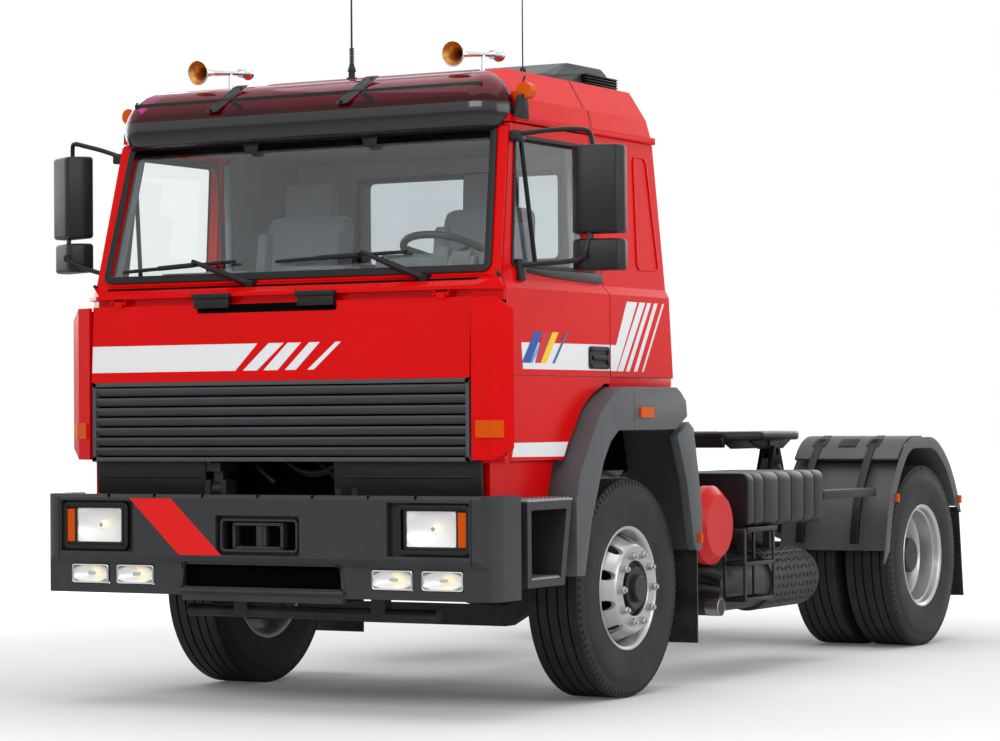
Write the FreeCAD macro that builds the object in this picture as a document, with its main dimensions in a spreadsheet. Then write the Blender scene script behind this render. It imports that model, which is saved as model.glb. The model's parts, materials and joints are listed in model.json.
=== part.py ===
import FreeCAD, Part
import os
import re
import Sketcher
from FreeCAD import Rotation, Vector

# A two-axle semi truck tractor unit with a tilting cab over its engine.
# Lengths are millimetres. X points to the left of the truck, Y to its rear and Z up.
# The ground is at Z = 0 and the middle of the overall length is at Y = 0.
# Each sub-part is drawn from the centre of an axle or of a hinge, and then placed.

doc = FreeCAD.newDocument("Tractor")
sheet = doc.addObject("Spreadsheet::Sheet", "Sizes")
names = []


def sizes(values):
    """Write driving dimensions to the sheet, each under its own name."""
    for name, value in values.items():
        names.append(name)
        cell = "B" + str(len(names))
        sheet.set("A" + str(len(names)), name)
        sheet.set(cell, str(value))
        sheet.setAlias(cell, name)
    sheet.recompute()


def cells(expression):
    """The expression with each driving dimension written as a cell of the sheet."""
    def full(found):
        word = found.group()
        return "Sizes." + word if word in names else word
    return re.sub(r"[a-z][a-z_]*", full, str(expression))


def size(name):
    """A driving dimension as a number, for what takes no expression."""
    return float(sheet.get(name))


def span(low, high):
    return "(" + str(high) + ") - (" + str(low) + ")"


def place(item, x=0, y=0, z=0):
    """Put an object where three expressions say."""
    item.setExpression("Placement.Base.x", cells(x))
    item.setExpression("Placement.Base.y", cells(y))
    item.setExpression("Placement.Base.z", cells(z))
    return item


def block(name, x, y, z):
    """A box between a low and a high value on each axis."""
    item = doc.addObject("Part::Box", name)
    item.setExpression("Length", cells(span(*x)))
    item.setExpression("Width", cells(span(*y)))
    item.setExpression("Height", cells(span(*z)))
    return place(item, x[0], y[0], z[0])


TURNS = {"X": Rotation(Vector(0, 1, 0), 90), "Y": Rotation(Vector(1, 0, 0), -90), "Z": Rotation()}


def rod(name, axis, radius, start, length):
    """A cylinder that runs from a start point along one axis."""
    item = doc.addObject("Part::Cylinder", name)
    item.setExpression("Radius", cells(radius))
    item.setExpression("Height", cells(length))
    item.Placement.Rotation = TURNS[axis]
    return place(item, *start)


def sketch_on(body, name, plane, outline):
    """A closed outline of straight lines on a body's own plane, each point held by two sizes."""
    sketch = body.newObject("Sketcher::SketchObject", name)
    planes = [item for item in body.Origin.OriginFeatures if item.Role == plane + "_Plane"]
    sketch.AttachmentSupport = [(planes[0], "")]
    sketch.MapMode = "FlatFace"
    count = len(outline)
    spread = Rotation(Vector(0, 0, 1), 360 / count)
    corners = [Vector(1000, 0, 0)]
    for _ in range(count - 1):
        corners.append(spread.multVec(corners[-1]))
    joints = []
    held = []
    for index, corner in enumerate(corners):
        following = (index + 1) % count
        sketch.addGeometry(Part.LineSegment(corner, corners[following]), False)
        joints.append(Sketcher.Constraint("Coincident", index, 2, following, 1))
        held.append(Sketcher.Constraint("DistanceX", -1, 1, index, 1, corner.x))
        held.append(Sketcher.Constraint("DistanceY", -1, 1, index, 1, corner.y))
    sketch.addConstraint(joints + held)
    for index, point in enumerate(outline):
        for offset, expression in enumerate(point):
            number = count + 2 * index + offset
            sketch.setExpression("Constraints[" + str(number) + "]", cells("0 + (" + str(expression) + ")"))
    return sketch


def prism(name, plane, outline, low, high, rounds=None):
    """An outline on a plane, padded between two values along the plane's normal.

    rounds gives a fillet's radius for a list of the outline's corners."""
    body = doc.addObject("PartDesign::Body", name)
    sketch = sketch_on(body, name + "Sketch", plane, outline)
    start = low if plane != "XZ" else "0 - (" + str(high) + ")"
    sketch.setExpression("AttachmentOffset.Base.z", cells(start))
    pad = body.newObject("PartDesign::Pad", name + "Pad")
    pad.Profile = sketch
    pad.setExpression("Length", cells(span(low, high)))
    body.Tip = pad
    for number, (radius, corners) in enumerate((rounds or {}).items()):
        doc.recompute()
        whole = body.Tip
        chosen = corner_edges(whole, sketch, corners)
        fillet = body.newObject("PartDesign::Fillet", name + "Round" + str(number))
        fillet.Base = (whole, chosen)
        fillet.setExpression("Radius", cells(radius))
        body.Tip = fillet
    return body


def corner_edges(feature, sketch, corners):
    """The names of a pad's edges that stand on some corners of its outline."""
    normal = sketch.Placement.Rotation.multVec(Vector(0, 0, 1))
    feet = [sketch.Placement.multVec(sketch.Geometry[corner].StartPoint) for corner in corners]
    chosen = []
    for number, edge in enumerate(feature.Shape.Edges, 1):
        if len(edge.Vertexes) != 2:
            continue
        start, end = [vertex.Point for vertex in edge.Vertexes]
        for foot in feet:
            off = [(point - foot) - normal * (point - foot).dot(normal) for point in (start, end)]
            if max(off[0].Length, off[1].Length) < 0.01:
                chosen.append("Edge" + str(number))
    return chosen


def turned(name, outline, axis="X"):
    """An outline turned about an axis: its points are a place along the axis and a radius."""
    body = doc.addObject("PartDesign::Body", name)
    along = outline if axis == "X" else [(radius, place_along) for place_along, radius in outline]
    sketch = sketch_on(body, name + "Sketch", "XZ" if axis == "Z" else "XY", along)
    revolution = body.newObject("PartDesign::Revolution", name + "Turn")
    revolution.Profile = sketch
    revolution.ReferenceAxis = (sketch, ["H_Axis" if axis == "X" else "V_Axis"])
    revolution.Angle = 360
    body.Tip = revolution
    return body


def bent_tube(name, plane, offset, route, radius):
    """A round bar that follows straight runs drawn on one plane."""
    body = doc.addObject("PartDesign::Body", name)
    path = body.newObject("Sketcher::SketchObject", name + "Path")
    planes = [item for item in body.Origin.OriginFeatures if item.Role == plane + "_Plane"]
    path.AttachmentSupport = [(planes[0], "")]
    path.MapMode = "FlatFace"
    path.setExpression("AttachmentOffset.Base.z", cells(offset))
    corners = [Vector(100 * index, 50 * (index % 2), 0) for index in range(len(route))]
    for start, end in zip(corners, corners[1:]):
        path.addGeometry(Part.LineSegment(start, end), False)
    last = len(route) - 2
    joints = [Sketcher.Constraint("Coincident", index, 2, index + 1, 1) for index in range(last)]
    ends = [(index, 1) for index in range(last + 1)] + [(last, 2)]
    held = []
    for (line, end), corner in zip(ends, corners):
        held.append(Sketcher.Constraint("DistanceX", -1, 1, line, end, corner.x))
        held.append(Sketcher.Constraint("DistanceY", -1, 1, line, end, corner.y))
    path.addConstraint(joints + held)
    for index, point in enumerate(route):
        for step, expression in enumerate(point):
            number = len(joints) + 2 * index + step
            path.setExpression("Constraints[" + str(number) + "]", cells("0 + (" + str(expression) + ")"))
    doc.recompute()
    ring = body.newObject("Sketcher::SketchObject", name + "Ring")
    ring.AttachmentSupport = [(path, "Edge1")]
    ring.MapMode = "NormalToEdge"
    ring.MapPathParameter = 0
    ring.addGeometry(Part.Circle(Vector(0, 0, 0), Vector(0, 0, 1), 10), False)
    ring.addConstraint([Sketcher.Constraint("Coincident", 0, 3, -1, 1), Sketcher.Constraint("Radius", 0, 10)])
    ring.setExpression("Constraints[1]", cells(radius))
    pipe = body.newObject("PartDesign::AdditivePipe", name + "Pipe")
    pipe.Profile = ring
    pipe.Spine = (path, ["Edge" + str(index + 1) for index in range(last + 1)])
    pipe.Transition = "Round corner"
    body.Tip = pipe
    return body


def joined(name, *pieces):
    item = doc.addObject("Part::MultiFuse", name)
    item.Shapes = list(pieces)
    item.Refine = True
    return item


def grouped(name, *pieces):
    """Like pieces that don't touch, kept as one sub-part."""
    item = doc.addObject("Part::Compound", name)
    item.Links = list(pieces)
    return item


def less(name, base, *tools):
    item = doc.addObject("Part::Cut", name)
    item.Base = base
    item.Tool = tools[0] if len(tools) == 1 else grouped(name + "Tools", *tools)
    item.Refine = True
    return item


def shared(name, *pieces):
    item = doc.addObject("Part::MultiCommon", name)
    item.Shapes = list(pieces)
    item.Refine = True
    return item


def mirrored(name, source):
    """The same piece on the other side of the truck."""
    item = doc.addObject("Part::Mirroring", name)
    item.Source = source
    item.Normal = Vector(1, 0, 0)
    return item


def pair(name, piece):
    return grouped(name, piece, mirrored(name + "Right", piece))


kept = {}


def keep(label, item, y=None):
    """Name a sub-part, and move it from its own reference to its place on the truck."""
    item.Label = label
    if y is not None:
        item.setExpression("Placement.Base.y", cells(y))
    kept[label] = item
    return item


# Overall dimensions, and the places of the two axles.
sizes({
    "front_overhang": 1460,
    "wheelbase": 3720,
    "rear_overhang": 720,
    "body_half": 1250,
    "seat_gap": 0.3,
    "moving_gap": 7,
})
FRONT_AXLE = "(front_overhang - wheelbase - rear_overhang) / 2"
REAR_AXLE = "(front_overhang + wheelbase - rear_overhang) / 2"

# Ladder frame: two channel rails, tube cross-members, the bumper arms with the ears of
# the cab hinge, and the beam that the back of the cab rests over.
sizes({
    "rail_half": 425,
    "rail_flange": 75,
    "rail_wall": 10,
    "rail_depth": 280,
    "rail_top": 1000,
    "rail_front": 1150,
    "rail_tail": 680,
    "cross_radius": 45,
    "front_cross_place": 965,
    "middle_cross_place": 1335,
    "bumper_face": 1460,
    "bumper_wall": 70,
    "tilt_back": 1220,
    "tilt_height": 1030,
    "tilt_pin": 16,
    "ear_wall": 30,
    "ear_gap": 60,
    "ear_half": 45,
    "cab_beam_place": 440,
    "cab_beam_top": 1520,
    "underrun_height": 440,
    "underrun_radius": 30,
    "underrun_half": 700,
    "underrun_place": 1000,
    "plate_top": 1270,
})
rail_outline = [
    ("rail_half", "rail_top"),
    ("rail_half", "rail_top - rail_depth"),
    ("rail_half - rail_flange", "rail_top - rail_depth"),
    ("rail_half - rail_flange", "rail_top - rail_depth + rail_wall"),
    ("rail_half - rail_wall", "rail_top - rail_depth + rail_wall"),
    ("rail_half - rail_wall", "rail_top - rail_wall"),
    ("rail_half - rail_flange", "rail_top - rail_wall"),
    ("rail_half - rail_flange", "rail_top"),
]
rail = prism("Rail", "XZ", rail_outline, "0 - rail_front", "wheelbase + rail_tail")
frame_pieces = [rail, mirrored("RailRight", rail)]
cross_middle = "rail_top - rail_depth / 2"
cross_places = ["0 - front_cross_place", "middle_cross_place", "wheelbase * 0.62", "wheelbase * 0.86",
                "wheelbase + 8 * cross_radius", "wheelbase + rail_tail - cross_radius"]
for number, cross_place in enumerate(cross_places):
    start = ("0 - rail_half + rail_wall / 2", cross_place, cross_middle)
    frame_pieces.append(rod("Cross" + str(number), "X", "cross_radius", start, "2 * rail_half - rail_wall"))
arm = block("BumperArm", ("rail_half - rail_flange", "rail_half"),
            ("0 - bumper_face + bumper_wall", "0 - rail_front"),
            ("rail_top - rail_depth", "tilt_height - ear_half"))
ears = []
for number, inner in enumerate(["rail_half - ear_wall", "rail_half - 2 * ear_wall - ear_gap"]):
    ear = block("Ear" + str(number), (inner, inner + " + ear_wall"),
                ("0 - tilt_back - ear_half", "0 - tilt_back + ear_half"),
                ("tilt_height - 2 * ear_half", "tilt_height + ear_half"))
    ears.append(ear)
foot = block("EarFoot", ("rail_half - 2 * ear_wall - ear_gap", "rail_half"),
             ("0 - tilt_back - ear_half", "0 - tilt_back + ear_half"),
             ("rail_top - rail_depth", "tilt_height - ear_half - moving_gap"))
tilt_bore = rod("TiltBore", "X", "tilt_pin + seat_gap", ("0", "0 - tilt_back", "tilt_height"), "body_half")
hinge_left = less("HingeStand", joined("HingeStandWhole", arm, foot, *ears), tilt_bore)
frame_pieces += [hinge_left, mirrored("HingeStandRight", hinge_left)]
post = block("CabPost", ("rail_half - rail_flange", "rail_half"),
             ("cab_beam_place - cross_radius", "cab_beam_place + cross_radius"),
             ("rail_top - rail_wall", "cab_beam_top"))
beam = block("CabBeam", ("0 - rail_half - rail_flange", "rail_half + rail_flange"),
             ("cab_beam_place - cross_radius", "cab_beam_place + cross_radius"),
             ("cab_beam_top - 2 * cross_radius", "cab_beam_top"))
frame_pieces += [post, mirrored("CabPostRight", post), beam]
underrun = rod("Underrun", "X", "underrun_radius",
               ("0 - underrun_half", "0 - underrun_place", "underrun_height"), "2 * underrun_half")
hanger = block("UnderrunHanger", ("rail_half - rail_flange", "rail_half"),
               ("0 - underrun_place - underrun_radius", "0 - underrun_place + underrun_radius"),
               ("underrun_height", "rail_top - rail_depth"))
frame_pieces += [underrun, hanger, mirrored("UnderrunHangerRight", hanger)]
keep("ladder_frame", joined("LadderFrame", *frame_pieces), FRONT_AXLE)

# Front bumper: a moulded shell that wraps both corners, with recesses for its lamps,
# the towing eye and the lower air inlet.
sizes({
    "bumper_top": 1010,
    "bumper_bottom": 540,
    "bumper_crease": 722,
    "bumper_crease_low": 680,
    "bumper_setback": 32,
    "bumper_bevel": 18,
    "bumper_end": 1200,
    "bumper_corner": 110,
    "bumper_inner_corner": 40,
    "bumper_deck": 15,
    "deck_reach": 160,
    "lamp_middle": 920,
    "lamp_half": 127,
    "lamp_low": 782,
    "lamp_high": 938,
    "lamp_depth": 75,
    "recess_depth": 40,
    "recess_inner": 702,
    "recess_outer": 1130,
    "recess_low": 738,
    "recess_high": 980,
    "flasher_inner": 1062,
    "flasher_outer": 1109,
    "fog_inner": 605,
    "fog_outer": 865,
    "fog_width": 213,
    "fog_low": 582,
    "fog_high": 677,
    "tow_half": 232,
    "tow_low": 730,
    "tow_high": 915,
    "tow_rim": 22,
    "tow_web": 25,
    "inlet_half": 445,
    "inlet_low": 572,
    "inlet_high": 694,
    "lip_drop": 25,
})
shell_plan = [
    ("0 - body_half", "0 - bumper_end"),
    ("0 - body_half", "0 - bumper_face"),
    ("body_half", "0 - bumper_face"),
    ("body_half", "0 - bumper_end"),
    ("body_half - bumper_wall", "0 - bumper_end"),
    ("body_half - bumper_wall", "0 - bumper_face + bumper_wall"),
    ("0 - body_half + bumper_wall", "0 - bumper_face + bumper_wall"),
    ("0 - body_half + bumper_wall", "0 - bumper_end"),
]
bumper_band = prism("BumperBand", "XY", shell_plan, "bumper_bottom", "bumper_top",
                    {"bumper_corner": [1, 2], "bumper_inner_corner": [5, 6]})
bumper_side = [
    ("0 - bumper_face", "bumper_crease"),
    ("0 - bumper_face", "bumper_top - bumper_bevel"),
    ("0 - bumper_face + bumper_bevel", "bumper_top"),
    ("0 - bumper_end + bumper_wall", "bumper_top"),
    ("0 - bumper_end + bumper_wall", "bumper_bottom"),
    ("0 - bumper_face + bumper_setback", "bumper_bottom"),
    ("0 - bumper_face + bumper_setback", "bumper_crease_low"),
]
bumper_form = prism("BumperForm", "YZ", bumper_side, "0 - body_half", "body_half")
bumper_back = "0 - bumper_face + bumper_wall"
deck = block("BumperDeck", ("rail_half + moving_gap", "body_half - bumper_wall"),
             (bumper_back, bumper_back + " + deck_reach"), ("bumper_top - 2 * bumper_deck", "bumper_top - bumper_deck"))
lip = block("BumperLip", ("0 - inlet_half", "inlet_half"), ("0 - bumper_face + bumper_setback", bumper_back),
            ("bumper_bottom - lip_drop", "bumper_bottom"))
bumper_whole = joined("BumperWhole", shared("BumperShell", bumper_band, bumper_form), deck,
                      mirrored("BumperDeckRight", deck), lip)
ahead = "0 - bumper_face - bumper_wall"
recess = block("LampRecess", ("recess_inner", "recess_outer"), (ahead, "0 - bumper_face + recess_depth"),
               ("recess_low", "recess_high"))
lamp_hole = block("LampHole", ("lamp_middle - lamp_half", "flasher_outer"), (ahead, bumper_back + " + moving_gap"),
                  ("lamp_low", "lamp_high"))
cuts = [recess, lamp_hole]
for number, fog in enumerate(["fog_inner", "fog_outer"]):
    cuts.append(block("FogHole" + str(number), (fog, fog + " + fog_width"),
                      (ahead, bumper_back + " + moving_gap"), ("fog_low", "fog_high")))
tow_hole = block("TowHole", ("tow_web", "tow_half - tow_rim"), (ahead, bumper_back + " + moving_gap"),
                 ("tow_low + tow_rim", "tow_high - tow_rim"))
cuts.append(tow_hole)
cuts_left = grouped("BumperCuts", *cuts)
tow_recess = block("TowRecess", ("0 - tow_half", "tow_half"), (ahead, "0 - bumper_face + recess_depth"),
                   ("tow_low", "tow_high"))
inlet = block("Inlet", ("0 - inlet_half", "inlet_half"), (ahead, bumper_back + " + moving_gap"),
              ("inlet_low", "inlet_high"))
keep("front_bumper", less("FrontBumper", bumper_whole, cuts_left, mirrored("BumperCutsRight", cuts_left),
                          tow_recess, inlet), FRONT_AXLE)

# Headlamps and fog lamps, seated in the bumper's holes.
lamp_front = "0 - bumper_face + recess_depth - seat_gap"
lamps = [block("Headlamp", ("lamp_middle - lamp_half", "lamp_middle + lamp_half"),
               ("0 - bumper_face + recess_depth / 2", "0 - bumper_face + recess_depth / 2 + lamp_depth"),
               ("lamp_low", "lamp_high"))]
for number, fog in enumerate(["fog_inner", "fog_outer"]):
    lamps.append(block("FogLamp" + str(number), (fog, fog + " + fog_width"),
                       ("0 - bumper_face + bumper_setback + seat_gap", bumper_back), ("fog_low", "fog_high")))
keep("headlamps", pair("Headlamps", grouped("HeadlampsLeft", *lamps)), FRONT_AXLE)

# Engine with its sump, bell housing and gearbox, one mass at its real place.
sizes({
    "engine_half": 320,
    "engine_front": 800,
    "engine_back": 330,
    "engine_low": 720,
    "engine_high": 1450,
    "sump_half": 200,
    "sump_low": 590,
    "sump_front": 650,
    "sump_back": 50,
    "bell_radius": 230,
    "bell_length": 150,
    "gearbox_radius": 170,
    "gearbox_length": 480,
    "drive_height": 790,
    "mount_radius": 35,
})
engine = joined(
    "EngineBlock",
    block("Engine", ("0 - engine_half", "engine_half"), ("0 - engine_front", "engine_back"),
          ("engine_low", "engine_high")),
    block("Sump", ("0 - sump_half", "sump_half"), ("0 - sump_front", "0 - sump_back"), ("sump_low", "engine_low")),
    rod("Bell", "Y", "bell_radius", ("0", "engine_back", "drive_height"), "bell_length"),
    rod("Gearbox", "Y", "gearbox_radius", ("0", "engine_back + bell_length", "drive_height"), "gearbox_length"),
    rod("EngineMount", "X", "mount_radius", ("0 - rail_half + rail_wall", "0 - engine_front / 2", cross_middle),
        "2 * rail_half - 2 * rail_wall"),
)
keep("engine_block", engine, FRONT_AXLE)

# Radiator with its shroud, standing on the front cross-member between the rails.
sizes({
    "radiator_half": 338,
    "radiator_front": 1010,
    "radiator_depth": 90,
    "radiator_high": 1490,
    "tank_depth": 20,
    "tank_height": 70,
    "fan_radius": 290,
    "fan_depth": 60,
    "fan_height": 1150,
})
radiator_low = cross_middle + " + cross_radius"
radiator = joined(
    "Radiator",
    block("Core", ("0 - radiator_half", "radiator_half"),
          ("0 - radiator_front", "0 - radiator_front + radiator_depth"), (radiator_low, "radiator_high")),
    block("TopTank", ("0 - radiator_half", "radiator_half"),
          ("0 - radiator_front - tank_depth", "0 - radiator_front + radiator_depth + tank_depth"),
          ("radiator_high - tank_height", "radiator_high")),
    block("BottomTank", ("0 - radiator_half", "radiator_half"),
          ("0 - radiator_front - tank_depth", "0 - radiator_front + radiator_depth + tank_depth"),
          (radiator_low, radiator_low + " + tank_height")),
    rod("FanRing", "Y", "fan_radius", ("0", "0 - radiator_front + radiator_depth", "fan_height"), "fan_depth"),
)
keep("radiator", radiator, FRONT_AXLE)

# Tyres: the front ones single, the rear ones in pairs on one hub.
sizes({
    "tyre_radius": 530,
    "tyre_width": 300,
    "tyre_bulge": 415,
    "tread_half": 138,
    "bead_half": 119,
    "rim_radius": 286,
    "front_track": 1040,
    "rear_track": 925,
    "twin_half": 170,
})


def tyre_outline(middle):
    """The section of a tyre about a plane that lies some way along the axle."""
    half = "tyre_width / 2"
    return [
        (middle + " + bead_half", "rim_radius"),
        (middle + " + " + half, "tyre_bulge"),
        (middle + " + tread_half", "tyre_radius"),
        (middle + " - tread_half", "tyre_radius"),
        (middle + " - " + half, "tyre_bulge"),
        (middle + " - bead_half", "rim_radius"),
    ]


def on_wheel_centre(label, item, side, track, axle):
    """Set a wheel piece on its axle, turned about so that its outer face is outboard."""
    sign = "" if side == "left" else "0 - "
    if side == "right":
        item.Placement.Rotation = Rotation(Vector(0, 0, 1), 180)
    place(item, sign + track, axle, "tyre_radius")
    item.Label = label
    kept[label] = item


for side in ["left", "right"]:
    tyre = turned("TyreFront" + side.title(), tyre_outline("0"))
    on_wheel_centre("tyre_front_" + side, tyre, side, "front_track", FRONT_AXLE)
    twin = [turned("TyreRear" + where + side.title(), tyre_outline(middle))
            for where, middle in [("Outer", "twin_half"), ("Inner", "0 - twin_half")]]
    twins = grouped("TyresRear" + side.title(), *twin)
    on_wheel_centre("tyres_rear_" + side, twins, side, "rear_track", REAR_AXLE)

# Front wheel: a steel rim whose disc bulges outwards to the hub, with ten hand holes,
# and the brake drum behind it on the same hub.
sizes({
    "rim_half": 130,
    "rim_lip": 299,
    "rim_lip_wall": 7,
    "rim_wall": 12,
    "rim_inner": 264,
    "disc_face": 176,
    "disc_wall": 14,
    "disc_flat": 186,
    "hub_radius": 98,
    "hub_nose": 206,
    "hub_cap": 84,
    "spindle_radius": 40,
    "spindle_end": 60,
    "drum_radius": 192,
    "drum_inner": 55,
    "hand_hole": 24,
    "hand_hole_circle": 224,
    "hand_hole_count": 10,
})
front_rim_outline = [
    ("0 - rim_half", "rim_radius - seat_gap"),
    ("rim_half - rim_lip_wall", "rim_radius - seat_gap"),
    ("rim_half - rim_lip_wall", "rim_lip"),
    ("rim_half", "rim_lip"),
    ("rim_half", "rim_radius"),
    ("rim_half - 3 * rim_wall", "rim_inner"),
    ("disc_face", "disc_flat"),
    ("disc_face", "hub_radius"),
    ("hub_nose", "hub_cap"),
    ("hub_nose", "0"),
    ("spindle_end", "0"),
    ("spindle_end", "spindle_radius + seat_gap"),
    ("0 - drum_inner", "spindle_radius + seat_gap"),
    ("0 - drum_inner", "drum_radius"),
    ("disc_face - 3 * disc_wall", "drum_radius"),
    ("rim_half - 5 * rim_wall", "rim_inner"),
    ("0 - rim_half", "rim_radius - rim_wall"),
]


def hand_holes(body, name, face, depth):
    """Round holes through a wheel's disc, one of them cut and the rest patterned about the hub."""
    sketch = body.newObject("Sketcher::SketchObject", name + "HoleSketch")
    planes = [item for item in body.Origin.OriginFeatures if item.Role == "YZ_Plane"]
    sketch.AttachmentSupport = [(planes[0], "")]
    sketch.MapMode = "FlatFace"
    sketch.setExpression("AttachmentOffset.Base.z", cells(face))
    sketch.addGeometry(Part.Circle(Vector(0, 200, 0), Vector(0, 0, 1), 20), False)
    sketch.addConstraint([
        Sketcher.Constraint("PointOnObject", 0, 3, -2),
        Sketcher.Constraint("DistanceY", -1, 1, 0, 3, 200),
        Sketcher.Constraint("Radius", 0, 20),
    ])
    sketch.setExpression("Constraints[1]", cells("hand_hole_circle"))
    sketch.setExpression("Constraints[2]", cells("hand_hole"))
    pocket = body.newObject("PartDesign::Pocket", name + "Hole")
    pocket.Profile = sketch
    pocket.setExpression("Length", cells(depth))
    pattern = body.newObject("PartDesign::PolarPattern", name + "Holes")
    pattern.Originals = [pocket]
    axes = [item for item in body.Origin.OriginFeatures if item.Role == "X_Axis"]
    pattern.Axis = (axes[0], [""])
    pattern.Angle = 360
    pattern.setExpression("Occurrences", cells("hand_hole_count"))
    body.Tip = pattern


for side in ["left", "right"]:
    rim = turned("RimFront" + side.title(), front_rim_outline)
    hand_holes(rim, "RimFront" + side.title(), "disc_face", "disc_face - rim_half + 6 * rim_wall")
    on_wheel_centre("rim_front_" + side, rim, side, "front_track", FRONT_AXLE)

# Rear wheels: two rims back to back, so that the outer disc is deep in its rim, and a long
# dark hub in the middle with the brake drum inboard.
sizes({
    "rear_flat": 185,
    "rear_hub_length": 150,
    "rear_hub_nose": 88,
    "rear_drum_end": 235,
    "rear_drum_start": 30,
    "rear_spindle": 60,
    "rear_spindle_end": 40,
    "twin_disc": 13,
})
twin_outer = "twin_half + rim_half"
twin_inner = "twin_half - rim_half"
rear_rim_outline = [
    (twin_inner, "rim_radius - seat_gap"),
    (twin_outer + " - rim_lip_wall", "rim_radius - seat_gap"),
    (twin_outer + " - rim_lip_wall", "rim_lip"),
    (twin_outer, "rim_lip"),
    (twin_outer, "rim_radius"),
    (twin_outer + " - 3 * rim_wall", "rim_inner"),
    ("twin_disc * 5", "rim_inner"),
    ("twin_disc", "rear_flat"),
    ("twin_disc", "hub_radius"),
    ("rear_hub_length", "rear_hub_nose"),
    ("rear_hub_length", "0"),
    ("rear_spindle_end", "0"),
    ("rear_spindle_end", "rear_spindle + seat_gap"),
    ("0 - rear_drum_end", "rear_spindle + seat_gap"),
    ("0 - rear_drum_end", "drum_radius"),
    ("0 - rear_drum_start", "drum_radius"),
    ("0 - twin_disc * 5", "rim_inner"),
    ("0 - (" + twin_outer + ")", "rim_radius - rim_wall"),
    ("0 - (" + twin_outer + ")", "rim_radius - seat_gap"),
    ("0 - (" + twin_inner + ")", "rim_radius - seat_gap"),
    ("0 - (" + twin_inner + ")", "rim_inner + rim_wall / 2"),
    (twin_inner, "rim_inner + rim_wall / 2"),
]
for side in ["left", "right"]:
    rim = turned("RimsRear" + side.title(), rear_rim_outline)
    on_wheel_centre("rims_rear_" + side, rim, side, "rear_track", REAR_AXLE)

# Front axle: a dropped beam with an eye for the kingpin at each end.
sizes({
    "kingpin_place": 905,
    "kingpin_radius": 24,
    "eye_radius": 45,
    "eye_half": 55,
    "beam_half_depth": 50,
    "beam_low": 330,
    "beam_high": 430,
    "beam_flat": 520,
    "beam_rise": 760,
})
beam_end_low = "tyre_radius - eye_half"
beam_end_high = "tyre_radius + eye_half"
beam_outline = [
    ("0 - beam_flat", "beam_low"),
    ("beam_flat", "beam_low"),
    ("beam_rise", beam_end_low),
    ("kingpin_place", beam_end_low),
    ("kingpin_place", beam_end_high),
    ("beam_rise", beam_end_high),
    ("beam_flat", "beam_high"),
    ("0 - beam_flat", "beam_high"),
    ("0 - beam_rise", beam_end_high),
    ("0 - kingpin_place", beam_end_high),
    ("0 - kingpin_place", beam_end_low),
    ("0 - beam_rise", beam_end_low),
]
beam_whole = [prism("AxleBeam", "XZ", beam_outline, "0 - beam_half_depth", "beam_half_depth")]
bores = []
for side, sign in [("Left", ""), ("Right", "0 - ")]:
    beam_whole.append(rod("AxleEye" + side, "Z", "eye_radius", (sign + "kingpin_place", "0", beam_end_low),
                          "2 * eye_half"))
    bores.append(rod("AxleBore" + side, "Z", "kingpin_radius + seat_gap",
                     (sign + "kingpin_place", "0", beam_end_low), "2 * eye_half"))
keep("front_axle_beam", less("FrontAxleBeam", joined("AxleBeamWhole", *beam_whole), *bores), FRONT_AXLE)

# Steering knuckles: a yoke about the beam's eye with the kingpin in it, the spindle of the
# wheel, and the arm that the steering rod pulls.
sizes({
    "yoke_gap": 4,
    "yoke_wall": 34,
    "yoke_back": 30,
    "yoke_plate": 954,
    "steer_arm_length": 190,
    "steer_arm_half": 18,
})
yoke_top = "tyre_radius + eye_half + yoke_gap"
yoke_bottom = "tyre_radius - eye_half - yoke_gap"
yoke_arms = []
for name, low, high in [("Upper", yoke_top, yoke_top + " + yoke_wall"),
                        ("Lower", yoke_bottom + " - yoke_wall", yoke_bottom)]:
    yoke_arms.append(block("Yoke" + name, ("kingpin_place", "yoke_plate"), ("0 - eye_radius", "eye_radius"),
                           (low, high)))
    yoke_arms.append(rod("Yoke" + name + "Boss", "Z", "eye_radius", ("kingpin_place", "0", low), "yoke_wall"))
knuckle = joined(
    "KnuckleLeft",
    *yoke_arms,
    block("YokePlate", ("yoke_plate", "front_track - drum_inner - moving_gap"),
          ("0 - eye_radius - yoke_back", "eye_radius + yoke_back"),
          (yoke_bottom + " - yoke_wall", yoke_top + " + yoke_wall")),
    rod("Kingpin", "Z", "kingpin_radius", ("kingpin_place", "0", yoke_bottom), "2 * eye_half + 2 * yoke_gap"),
    rod("Spindle", "X", "spindle_radius", ("yoke_plate", "0", "tyre_radius"),
        "front_track + spindle_end - yoke_plate - moving_gap"),
    block("SteerArm", ("kingpin_place - 2 * steer_arm_half", "kingpin_place"), ("0", "steer_arm_length"),
          (yoke_bottom + " - yoke_wall", yoke_bottom)),
)
left_knuckle = keep("knuckle_left", knuckle, FRONT_AXLE)
keep("knuckle_right", mirrored("KnuckleRight", left_knuckle))

# Rear axle: a round banjo housing with its pinion nose, and tubes out to the hubs.
sizes({
    "tube_radius": 72,
    "tube_half": 640,
    "banjo_radius": 195,
    "banjo_half": 130,
    "nose_radius": 85,
    "nose_length": 330,
})
rear_axle = joined(
    "RearAxleHousing",
    rod("AxleTube", "X", "tube_radius", ("0 - tube_half", "0", "tyre_radius"), "2 * tube_half"),
    rod("AxleSpindles", "X", "rear_spindle", ("0 - rear_track", "0", "tyre_radius"), "2 * rear_track"),
    rod("Banjo", "Y", "banjo_radius", ("0", "0 - banjo_half", "tyre_radius"), "2 * banjo_half"),
    rod("PinionNose", "Y", "nose_radius", ("0", "0 - nose_length", "tyre_radius"), "nose_length"),
)
keep("rear_axle_housing", rear_axle, REAR_AXLE)

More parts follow.
